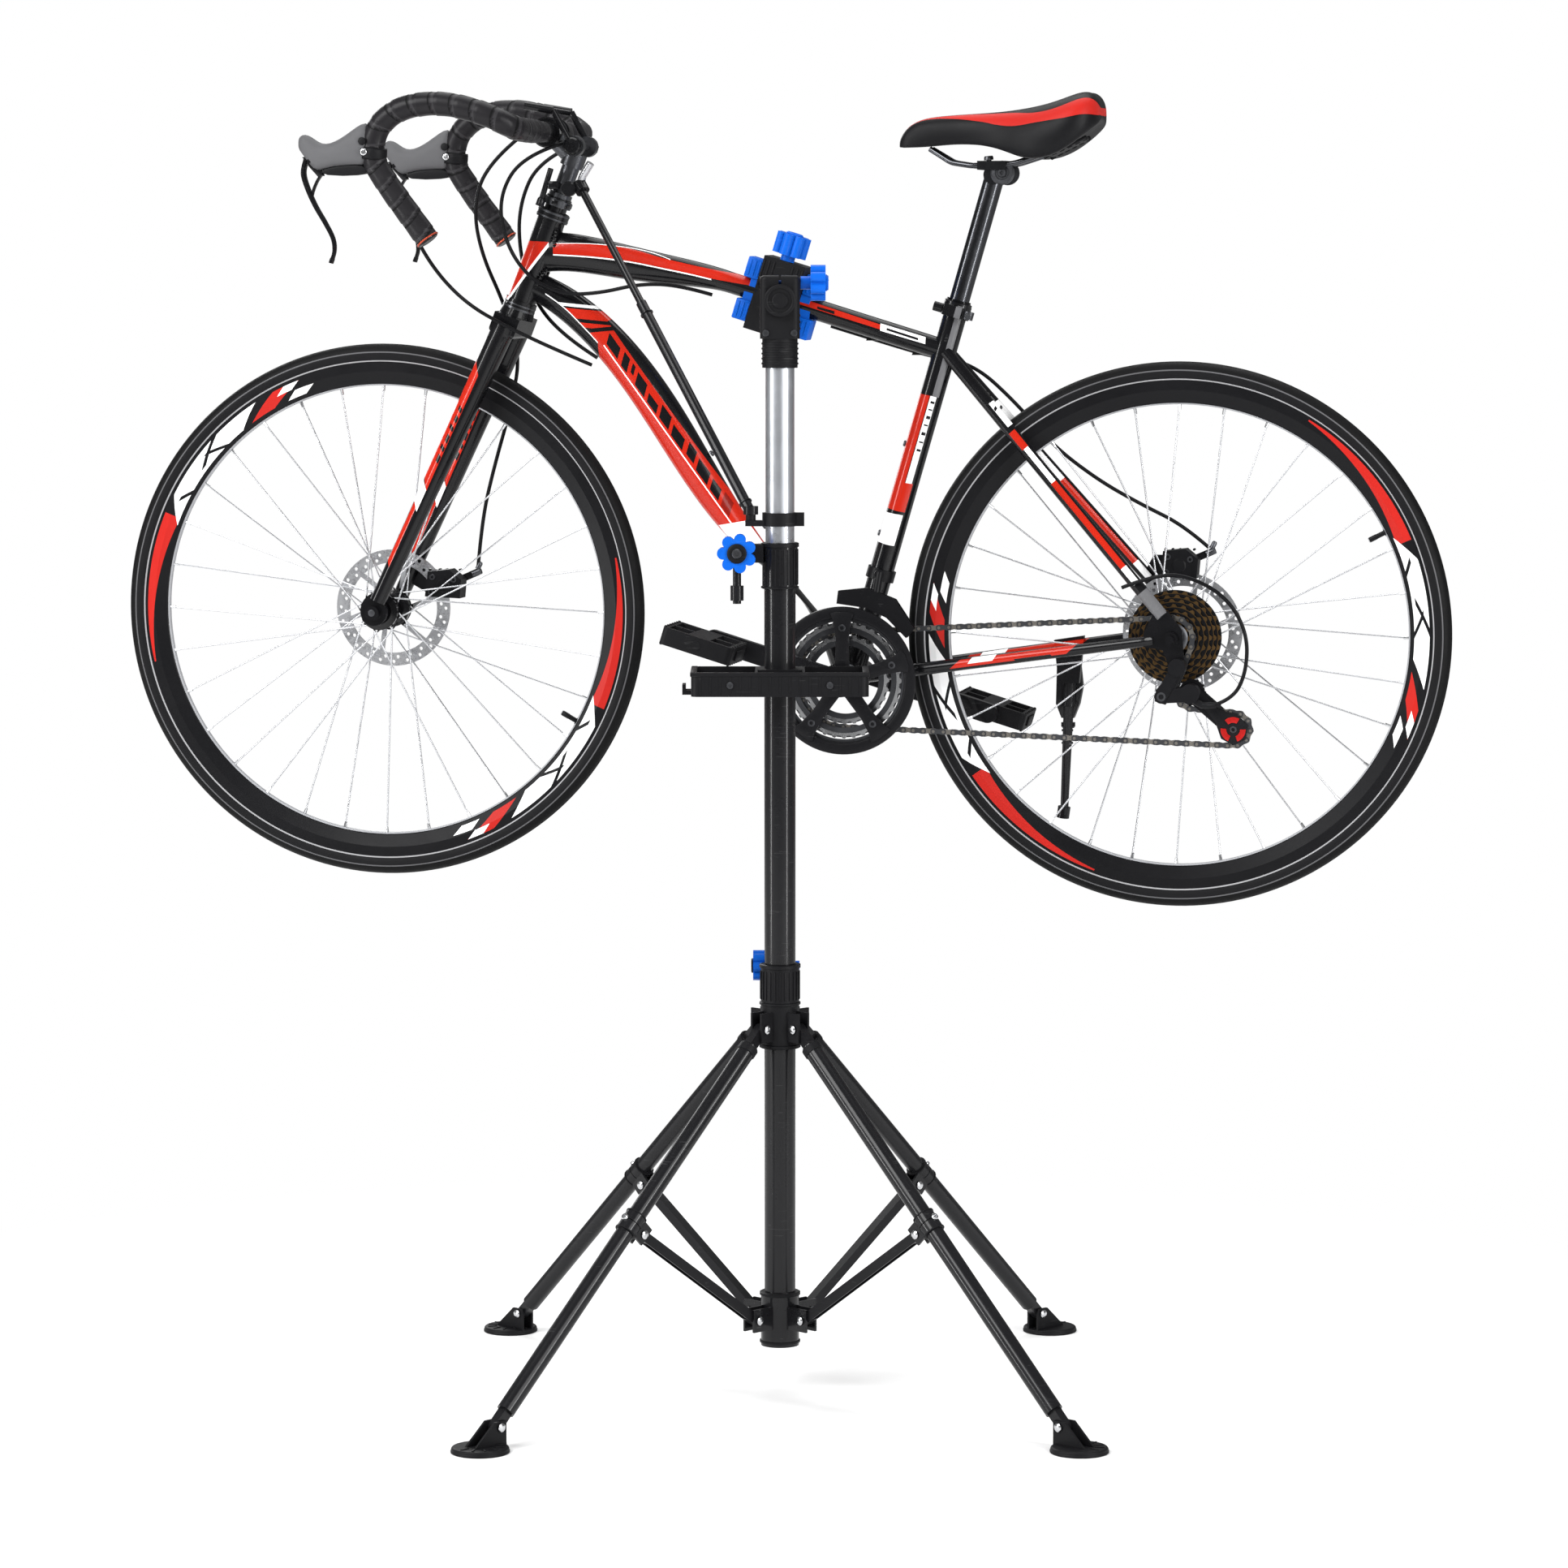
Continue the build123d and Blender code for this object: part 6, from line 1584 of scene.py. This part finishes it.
# ---- brakes
def make_caliper_details(name, body, x, z):
    """Pads, bolts, adjusters and cable arm of a disc brake caliper."""
    near, far = (corner[1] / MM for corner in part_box(name + "_caliper"))
    bm = bmesh.new()
    for dx, dz in ((-16, -8), (-14, 11), (14, 8)):
        hex_bolt(bm, (x + dx, near + 1.4, z + dz), (0, -1, 0), 4.0, 2.6, index=1)
    cap(bm, aim((x, near + 1.2, z), (0, -1, 0)), 9, 1.6, 7.6, 2.6)
    rod(bm, (x + 30, far - 3, z + 13), (x + 42, far - 3, z + 18), 4.4, soft=1, index=1)
    cap(bm, aim((x + 37, far - 3, z + 20), (0.5, 0, 1)), 3.4, 8, 2.2, 10, 16, 1)
    for n in range(5):
        rod(bm, (x - 20 + 9 * n, far - 13, z + 19), (x - 20 + 9 * n, far - 5, z + 19), 1.6, sides=8)
    cap(bm, aim((x - 2, far - 1.5, z), (0, 1, 0)), 6.5, 5, 5, 6.4, 24, 2)
    piece(name + "_caliper_details", bm, body, ["mech black", "dark steel", "mech red"])


class BIKESTAND_OT_brakes(bpy.types.Operator):
    """Add pads, bolts, adjusters and cable arms to the two disc brake calipers"""
    bl_idname = "bikestand.brakes"
    bl_label = "Disc Brakes"

    def execute(self, context):
        make_caliper_details("front", "steering", -441, 966)
        make_caliper_details("rear", "frame", 504, 1002)
        return {"FINISHED"}


# ---- pedals
PEDAL_TILT, PEDAL_HALF = radians(17), 47.0
CRANK_FACE = 85.5


def make_pedal(name, out):
    """Teeth, end plates and cap of a pedal on the crank's near or far side."""
    low, high = (Vector(corner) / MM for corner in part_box("pedal_" + name))
    centre = (low + high) / 2
    place = Matrix.Translation(centre) @ turn_y(PEDAL_TILT)
    bm = bmesh.new()
    for up in (-1, 1):
        for n in range(7):
            y = -40 + 80 * n / 6
            for x in (3 - PEDAL_HALF, PEDAL_HALF - 3):
                rod(bm, place @ Vector((x, y, up * 9.5)), place @ Vector((x, y, up * 12.4)), 2.2, 1.4,
                    sides=8)
    for x in (-PEDAL_HALF - 0.1, PEDAL_HALF + 0.1):
        brick(bm, (x - 1.2, -22, -6), (x + 1.2, 22, 6), place, soft=0.6)
    cap(bm, aim(centre + across(out * 44), (0, out, 0)), 7.5, 2, 6, 3.4, 24)
    piece("pedal_teeth_" + name, bm, name + "_pedal", "pedal resin")


class BIKESTAND_OT_pedals(bpy.types.Operator):
    """Add teeth, end plates and caps to the pedals, and bolts to the cranks"""
    bl_idname = "bikestand.pedals"
    bl_label = "Pedals"

    def execute(self, context):
        make_pedal("near", -1)
        make_pedal("far", 1)
        bm = bmesh.new()
        for side in (-1, 1):
            hub = on_bike(CRANK, side * CRANK_FACE)
            cap(bm, aim(hub, (0, side, 0)), 8.2, 1, 6.6, 1.8)
            hex_bolt(bm, hub + across(side * 1.4), (0, side, 0), 5, 3)
        piece("crank_bolts", bm, "crank", "dark steel")
        return {"FINISHED"}


# ---- frame fittings
def axle_nut(bm, nut, side, index=0):
    """A nut with the end of its axle."""
    hex_bolt(bm, nut, (0, side, 0), 8, 6, index=index)
    rod(bm, nut + across(side * 4), nut + across(side * 12), 4.4, soft=0.5, index=index)


def make_welds():
    """Rings of short beads round the places where the tubes meet."""
    bm = bmesh.new()
    bead = sizes().bead_radius / MM
    joints = [(HEAD + STEER * 93 + Vector((17, 0, 0)), (1, 0, -0.12), 16.0, 18.5),
              (HEAD + STEER * 36 + Vector((17, 0, 0)), (1, 0, -0.5), 15.0, 19.0),
              (on_bike((111, 912)), SEAT_RUN, 15.6, 15.6), (on_bike((84, 879)), (-0.45, 0, 0.9), 16.4, 16.4),
              (SEAT_TOP - SEAT_RUN * 44, (-1, 0, 0.31), 13.8, 13.8)]
    for centre, run, wide, tall in joints:
        place = aim(centre, run)
        for turn in (2 * pi * n / 26 for n in range(26)):
            spot, after = (place @ Vector((wide * cos(a), tall * sin(a), 0)) for a in (turn, turn + 0.2))
            rod(bm, spot, spot + (after - spot) * 0.9, bead, sides=8, soft=0.4)
    piece("weld_beads", bm, "frame", "weld paint", smooth=60)


def make_fittings():
    """Headset rings, cable stops, bottle bosses, bracket cups and rear axle nuts."""
    bm = bmesh.new()
    for low, high in ((-3.4, 0.4), (2.2, 5.0), (119, 122), (125.4, 129)):
        band(bm, aim(HEAD, STEER), low, high, 18.3, 20.9, 0.6, 40, 1)
    for x in (-150, 120, 178):
        z = CLAMP.z - (x - CLAMP.x) * tan(SLOPE) - 13.4 if x > -60 else 1352.5
        outline = [(x - 8, z - 4), (x + 8, z - 4), (x + 6, z + 1), (x - 6, z + 1)]
        slab(bm, outline, BIKE_Y + 8, BIKE_Y + 14, soft=0.8)
    for t in (0.34, 0.58):
        normal = Vector((0.8, 0, 0.6))
        spot = on_bike((-194.5, 1255.5)).lerp(on_bike((84, 877)), t)
        hex_bolt(bm, spot + normal * 19.4, normal, 4, 3, index=1)
    for t in (0.38, 0.62):
        normal = Vector((-SEAT_RUN.z, 0, SEAT_RUN.x))
        hex_bolt(bm, on_bike(CRANK) + SEAT_RUN * SEAT_LENGTH * t + normal * 14.6, normal, 4, 3, index=1)
    for side in (-1, 1):
        cup = aim(on_bike(CRANK, side * 34), (0, side, 0))
        turned(bm, [(9, 0), (19, 0), (19, 3), (17, 5), (9, 5)], cup, 40, closed=True, index=1)
        axle_nut(bm, on_bike(REAR_AXLE, side * 70.4), side, 1)
    piece("frame_fittings", bm, "frame", ["black satin", "dark steel"])


def make_fork_fittings():
    """Front axle nuts with washers, and two cable clips."""
    bm = bmesh.new()
    for side in (-1, 1):
        nut = on_bike(FRONT_AXLE, side * 56.5)
        axle_nut(bm, nut, side)
        washer = aim(nut - across(side * 0.8), (0, side, 0))
        turned(bm, [(4, 0), (10.5, 0), (10.5, 1.4), (4, 1.4)], washer, 28, closed=True)
    for z in (1160, 1060):
        x = -341 - (1303 - z) * 0.4632
        brick(bm, (x - 6, BIKE_Y + 47, z - 5), (x + 6, BIKE_Y + 55, z + 5), soft=1.5, index=1)
    piece("fork_fittings", bm, "steering", ["dark steel", "black satin"])


def make_side_stand():
    """Bracket, bolt, foot and rings of the side stand."""
    bm = bmesh.new()
    low, high = (Vector(corner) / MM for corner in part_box("kickstand"))
    x, y = (low.x + high.x) / 2, (low.y + high.y) / 2
    slab(bm, [(x - 14, 872), (x + 16, 872), (x + 19, 846), (x + 15, 824), (x + 8, 806), (x - 8, 806),
              (x - 15, 824)],
         y - 8, y + 8, soft=1.5)
    hex_bolt(bm, (x + 1, y - 8.2, 846), (0, -1, 0), 7, 4, index=1)
    cap(bm, aim((x, y, 800), (0, 0, -1)), 9, 5, 7.5, 7, 24)
    for z in (790, 782, 774):
        band(bm, aim((x - 1, y, z), (0, 0, 1)), -1.6, 1.6, 5.2, 7.4, 0.4, 24, 1)
    piece("side_stand_details", bm, "side_stand", ["rod black", "dark steel"])


class BIKESTAND_OT_frame_fittings(bpy.types.Operator):
    """Add weld beads, cable stops, bottle bosses, headset rings, axle nuts and side stand parts"""
    bl_idname = "bikestand.frame_fittings"
    bl_label = "Frame Fittings"

    def execute(self, context):
        make_welds()
        make_fittings()
        make_fork_fittings()
        make_side_stand()
        return {"FINISHED"}


# ---- repair stand
HINGE_RADIUS, HINGE_HEIGHT, LEG_LENGTH = 32.0, 450.0, 609.0
LEG_TURN = radians(46)
LEG_OUT = Vector((cos(LEG_TURN), sin(LEG_TURN), 0))
STRUT_REACH, STRUT_DROP = 305.0, 19.0
KNOB_HEIGHT, TILT_HEIGHT = 1030, 1355
TRAY_HALF = 107.0
RIVET_RADIUS = 5.4
ROD_FOOT, ROD_TIP = Vector((18, -10, 1078)), Vector((-243, 205, 1474))


def leg_place(number):
    """Plane through the mast and one leg: x outward, y up, z square to it."""
    turn = YAW + radians(45 + 90 * number)
    columns = Matrix(((cos(turn), 0, sin(turn)), (sin(turn), 0, -cos(turn)), (0, 1, 0)))
    return Matrix.Translation((MAST_X, 0, 0)) @ columns.to_4x4()


def along_leg(reach, drop=0.0):
    """Point of a spread leg in its own plane."""
    return Vector((HINGE_RADIUS + reach * sin(LEG_TURN) - drop * cos(LEG_TURN),
                   HINGE_HEIGHT - reach * cos(LEG_TURN) - drop * sin(LEG_TURN), 0))


def rivet(bm, place, spot, half, index=0):
    """Domed rivet heads at both ends of a pin."""
    profile = [(0, 0), (RIVET_RADIUS, 0), (RIVET_RADIUS, 0.8), (RIVET_RADIUS * 0.8, 1.8),
               (RIVET_RADIUS * 0.4, 2.3), (0, 2.4)]
    for side in (-1, 1):
        end = place @ (spot + Vector((0, 0, side * half)))
        turned(bm, profile, aim(end, place.to_3x3() @ Vector((0, 0, side))), 20, index=index)


def ribs(bm, count, skipped, low, high):
    """Upright ribs round the mast, but for those behind something."""
    for number in range(count):
        if number not in skipped:
            brick(bm, low, high, stand_place() @ Matrix.Rotation(2 * pi * number / count, 4, "Z"), soft=0.3)


def make_leg(number, name):
    """Rivets, collars and bolt of a leg."""
    place = leg_place(number)
    turn = place.to_3x3()
    run = turn @ (along_leg(1) - along_leg(0)).normalized()
    bm = bmesh.new()
    rivet(bm, place, along_leg(0), 10.8)
    rivet(bm, place, along_leg(STRUT_REACH, STRUT_DROP), 10.3)
    band(bm, aim(place @ along_leg(34), run), -5, 5, 10.6, 12.2, 0.6, 28, 1)
    for reach in (STRUT_REACH - 12.6, STRUT_REACH + 12.6):
        band(bm, aim(place @ along_leg(reach), run), -1, 1, 11, 13.8, 0.3, 28, 1)
    hex_bolt(bm, place @ (along_leg(STRUT_REACH) + LEG_OUT * 13), turn @ LEG_OUT, 4.4, 3)
    piece("leg_rivets_" + name, bm, "leg_" + name, ["bright steel", "moulded black"])


def make_foot(number, name):
    """Rivet, edge ring and ribs of a foot."""
    place = leg_place(number)
    bm = bmesh.new()
    spot = along_leg(LEG_LENGTH)
    rivet(bm, place, spot, 10.8)
    centre = Matrix.Translation(place @ Vector((spot.x + 24, 0, 0)))
    turned(bm, [(30, 6.2), (33.6, 4.4), (34.8, 2.2), (34.6, 0.4), (30, 0.3)], centre, 48, closed=True,
           index=1)
    outward = Matrix.Rotation(YAW + radians(45 + 90 * number) - pi / 2, 4, "Z")
    for n in range(3, 10):
        turn = Matrix.Rotation(2 * pi * n / 12, 4, "Z") @ outward
        brick(bm, (18, -1.1, 6.4), (30, 1.1, 8.2), centre @ turn, soft=0.4, index=1)
    piece("foot_rivets_" + name, bm, "foot_" + name, ["bright steel", "moulded black"])


def make_carrier():
    """Bands and ribs of the sliding collar, and the cap of its knob."""
    bm = bmesh.new()
    for low, high in ((424, 429), (477, 481), (522, 527.6)):
        band(bm, stand_place(), low, high, 23, 25.2, 0.8)
    ribs(bm, 24, range(4, 9), (23, -0.9, 484), (24.6, 0.9, 519))
    for low, high in ((-24, -19), (16.4, 19)):
        rod(bm, stand_place() @ Vector((low, 36, 520)), stand_place() @ Vector((high, 36, 520)), 5.4,
            soft=0.5, index=1)
    piece("collar_bands", bm, "leg_carrier", ["moulded black", "bright steel"])
    bm = bmesh.new()
    cap(bm, stand_aim((-33, 36, 520), (-1, 0, 0)), 9, 1.6, 7.6, 2.4)
    piece("collar_knob_cap", bm, "carrier_knob", "moulded black")


def make_mast():
    """Bands and ribs of the mast's two collars, and the cap of its knob."""
    place = stand_place()
    bm = bmesh.new()
    for low, high in ((58, 62), (117, 122)):
        band(bm, place, low, high, 22.6, 25, 0.8)
    for low, high in ((986, 989.5), (1036, 1042)):
        band(bm, place, low, high, 20.8, 23, 0.8)
    ribs(bm, 28, range(11, 18), (21, -0.8, 991), (22.4, 0.8, 1034))
    for number in range(4):
        rivet(bm, leg_place(number), Vector((45, 92, 0)), 10.8, index=1)
    piece("mast_bands", bm, "base", ["moulded black", "bright steel"])
    bm = bmesh.new()
    cap(bm, stand_aim((-52, -32, KNOB_HEIGHT), (0, -1, 0)), 12, 2, 10, 3.4, 32)
    hex_bolt(bm, place @ Vector((-52, -35, KNOB_HEIGHT)), place.to_3x3() @ Vector((0, -1, 0)), 6, 3, index=1)
    piece("mast_knob_cap", bm, "mast_knob", ["moulded black", "dark steel"])


def make_head():
    """Ribs, bolts and knob caps of the head housing and the clamp."""
    place = stand_place()
    away = place.to_3x3() @ Vector((0, -1, 0))
    bm = bmesh.new()
    for z in range(1258, 1283, 6):
        band(bm, place, z - 1.6, z + 1.6, 20.6, 22.4, 0.6)
    for side in (-1, 1):
        for level in (1300, 1308, 1316):
            brick(bm, (side * 24 - 0.8, -14, level - 1.4), (side * 24 + 0.8, 14, level + 1.4), place,
                  soft=0.5)
        washer = stand_aim((side * 23.8, 0, TILT_HEIGHT), (side, 0, 0))
        turned(bm, [(4, 0), (8, 0), (8, 1.2), (4, 1.2)], washer, 24, closed=True)
    for x in (-17, 17):
        hex_bolt(bm, place @ Vector((x, -21.6, 1295)), away, 4.2, 2.6, index=1)
    piece("housing_details", bm, "inner_mast", ["moulded black", "dark steel"])
    bm = bmesh.new()
    hub = aim(place @ Vector((0, -22, 1334)) + away * 8.4, away)
    turned(bm, [(14.5, 0), (19.2, 0), (19.2, 1.2), (17.8, 2), (15.8, 2), (14.5, 1.2)], hub, 48, closed=True)
    cap(bm, hub, 9.5, 1.8, 8.4, 2.6, 36)
    piece("tilt_disc_ring", bm, "frame", "moulded black")
    bm = bmesh.new()
    rod(bm, place @ Vector((47.5, 0, TILT_HEIGHT)), place @ Vector((58.5, 0, TILT_HEIGHT)), 9, soft=1)
    cap(bm, stand_aim((55, 0, TILT_HEIGHT), (1, 0, 0)), 10, 1.6, 8.4, 2.6, 30)
    piece("tilt_knob_cap", bm, "lock_knob", "knob blue")
    bm = bmesh.new()
    turned(bm, [(0, 0), (11, 0), (11, 1.4), (9.6, 2.6), (5, 2.6), (4.4, 1.6), (0, 1.6)],
           grip_place(0, -28, 82))
    for z in (40 + 2.2 * n for n in range(9)):
        turned(bm, [(4, z), (4.7, z + 0.55), (4, z + 1.1)], grip_place(0, -28, 8), 20, closed=True, index=1)
    piece("jaw_knob_cap", bm, "jaw_knob", ["knob blue", "dark steel"])
    bm = bmesh.new()
    for x in (-18, 18):
        hex_bolt(bm, grip_place(x, -39.6, 20).translation, grip_place().to_3x3() @ Vector((0, -1, 0)), 4.4,
                 2.4, index=1)
    for x in (-25, -18.5, -12, 12, 18.5, 25):
        brick(bm, (x - 1, -41, 10), (x + 1, -39.4, 44), grip_place(), soft=0.3)
    piece("jaw_ribs", bm, "jaw", ["moulded black", "dark steel"])
    for name, body, low, high in (("upper", "jaw", 14, 40), ("lower", "frame", -40, -14)):
        bm = bmesh.new()
        for side in (-1, 1):
            first, last = sorted((side * 27.5, side * 50))
            brick(bm, (first, -17, low), (last, 17, high), grip_place(), soft=1.6)
            for x in (33, 39, 45):
                brick(bm, (side * x - 1, -17.6, low + 3), (side * x + 1, -16.6, high - 3), grip_place(),
                      soft=0.3)
        piece("pad_ends_" + name, bm, body, "knob blue")


def make_tray():
    """Rim, ribs and bolts of the tool tray."""
    place = stand_place()
    bm = bmesh.new()
    for x in range(-96, 97, 12):
        brick(bm, (x - 1, -72.6, 863), (x + 1, -71.4, 884), place, soft=0.3)
    for x in (3 - TRAY_HALF, TRAY_HALF - 3):
        brick(bm, (x - 4, -72.8, 884), (x + 4, 30, 889.6), place, soft=1.2)
    brick(bm, (-TRAY_HALF, -73, 884.4), (TRAY_HALF, -68.4, 889.6), place, soft=1.2)
    for x in (-60, 60):
        hex_bolt(bm, place @ Vector((x, -72.2, 874)), place.to_3x3() @ Vector((0, -1, 0)), 4.2, 2.2, index=1)
    piece("tray_rim", bm, "base", ["moulded black", "dark steel"])


def make_rod_details():
    """Bands of the holder rod and the screw of its hook."""
    bm = bmesh.new()
    for t in (0.03, 0.6):
        band(bm, aim(ROD_FOOT.lerp(ROD_TIP, t), ROD_TIP - ROD_FOOT), -1, 1, 6.4, 8.2, 0.4, 28)
    piece("rod_bands", bm, "rod_outer", "rod black")
    bm = bmesh.new()
    screw = ROD_TIP + Vector((-13, -4, -4))
    turned(bm, [(0, -6), (8, -6), (9.5, -3), (9.5, 5), (8, 7), (0, 7)], aim(screw, (0, -1, 0)), 24)
    rod(bm, screw, ROD_TIP + Vector((0, 0, -2)), 3.4)
    piece("hook_screw", bm, "rod_inner", "rod black")


class BIKESTAND_OT_stand_details(bpy.types.Operator):
    """Add rivets, bands, ribs, caps and screws to the stand's mast, legs and feet"""
    bl_idname = "bikestand.stand_details"
    bl_label = "Stand Details"

    def execute(self, context):
        for number, name in enumerate(LEG_PLACES):
            make_leg(number, name)
            make_foot(number, name)
        for make in (make_carrier, make_mast, make_head, make_tray, make_rod_details):
            make()
        return {"FINISHED"}


# ---- panel and run
OPERATORS = (BIKESTAND_OT_stage, BIKESTAND_OT_finishes, BIKESTAND_OT_cables, BIKESTAND_OT_saddle,
             BIKESTAND_OT_handlebar, BIKESTAND_OT_wheels, BIKESTAND_OT_drivetrain, BIKESTAND_OT_brakes,
             BIKESTAND_OT_pedals, BIKESTAND_OT_frame_fittings, BIKESTAND_OT_stand_details)
SETTINGS = {"bike_colours": BikeColours, "stand_colours": StandColours, "detail_sizes": DetailSizes,
            "stage_settings": StageSettings}


class BIKESTAND_PT_panel(bpy.types.Panel):
    """Lists the parts of the bicycle and stand with their settings"""
    bl_label = "Bicycle on Repair Stand"
    bl_idname = "BIKESTAND_PT_panel"
    bl_space_type = "VIEW_3D"
    bl_region_type = "UI"
    bl_category = "Bike Stand"

    def draw(self, context):
        for kind in OPERATORS:
            self.layout.operator(kind.bl_idname)
        for settings in (getattr(context.scene, name) for name in SETTINGS):
            box = self.layout.box()
            for name in settings.bl_rna.properties.keys():
                if name not in ("rna_type", "name"):
                    box.prop(settings, name)


CLASSES = (*SETTINGS.values(), *OPERATORS, BIKESTAND_PT_panel)


def register():
    for kind in CLASSES:
        bpy.utils.register_class(kind)
    for name, kind in SETTINGS.items():
        setattr(bpy.types.Scene, name, bpy.props.PointerProperty(type=kind))


def unregister():
    for name in SETTINGS:
        delattr(bpy.types.Scene, name)
    for kind in reversed(CLASSES):
        bpy.utils.unregister_class(kind)


def main():
    register()
    for kind in OPERATORS:
        group, name = kind.bl_idname.split(".")
        result = getattr(getattr(bpy.ops, group), name)()
        if result != {"FINISHED"}:
            raise RuntimeError(kind.bl_label + " did not finish")


if __name__ == "__main__":
    main()
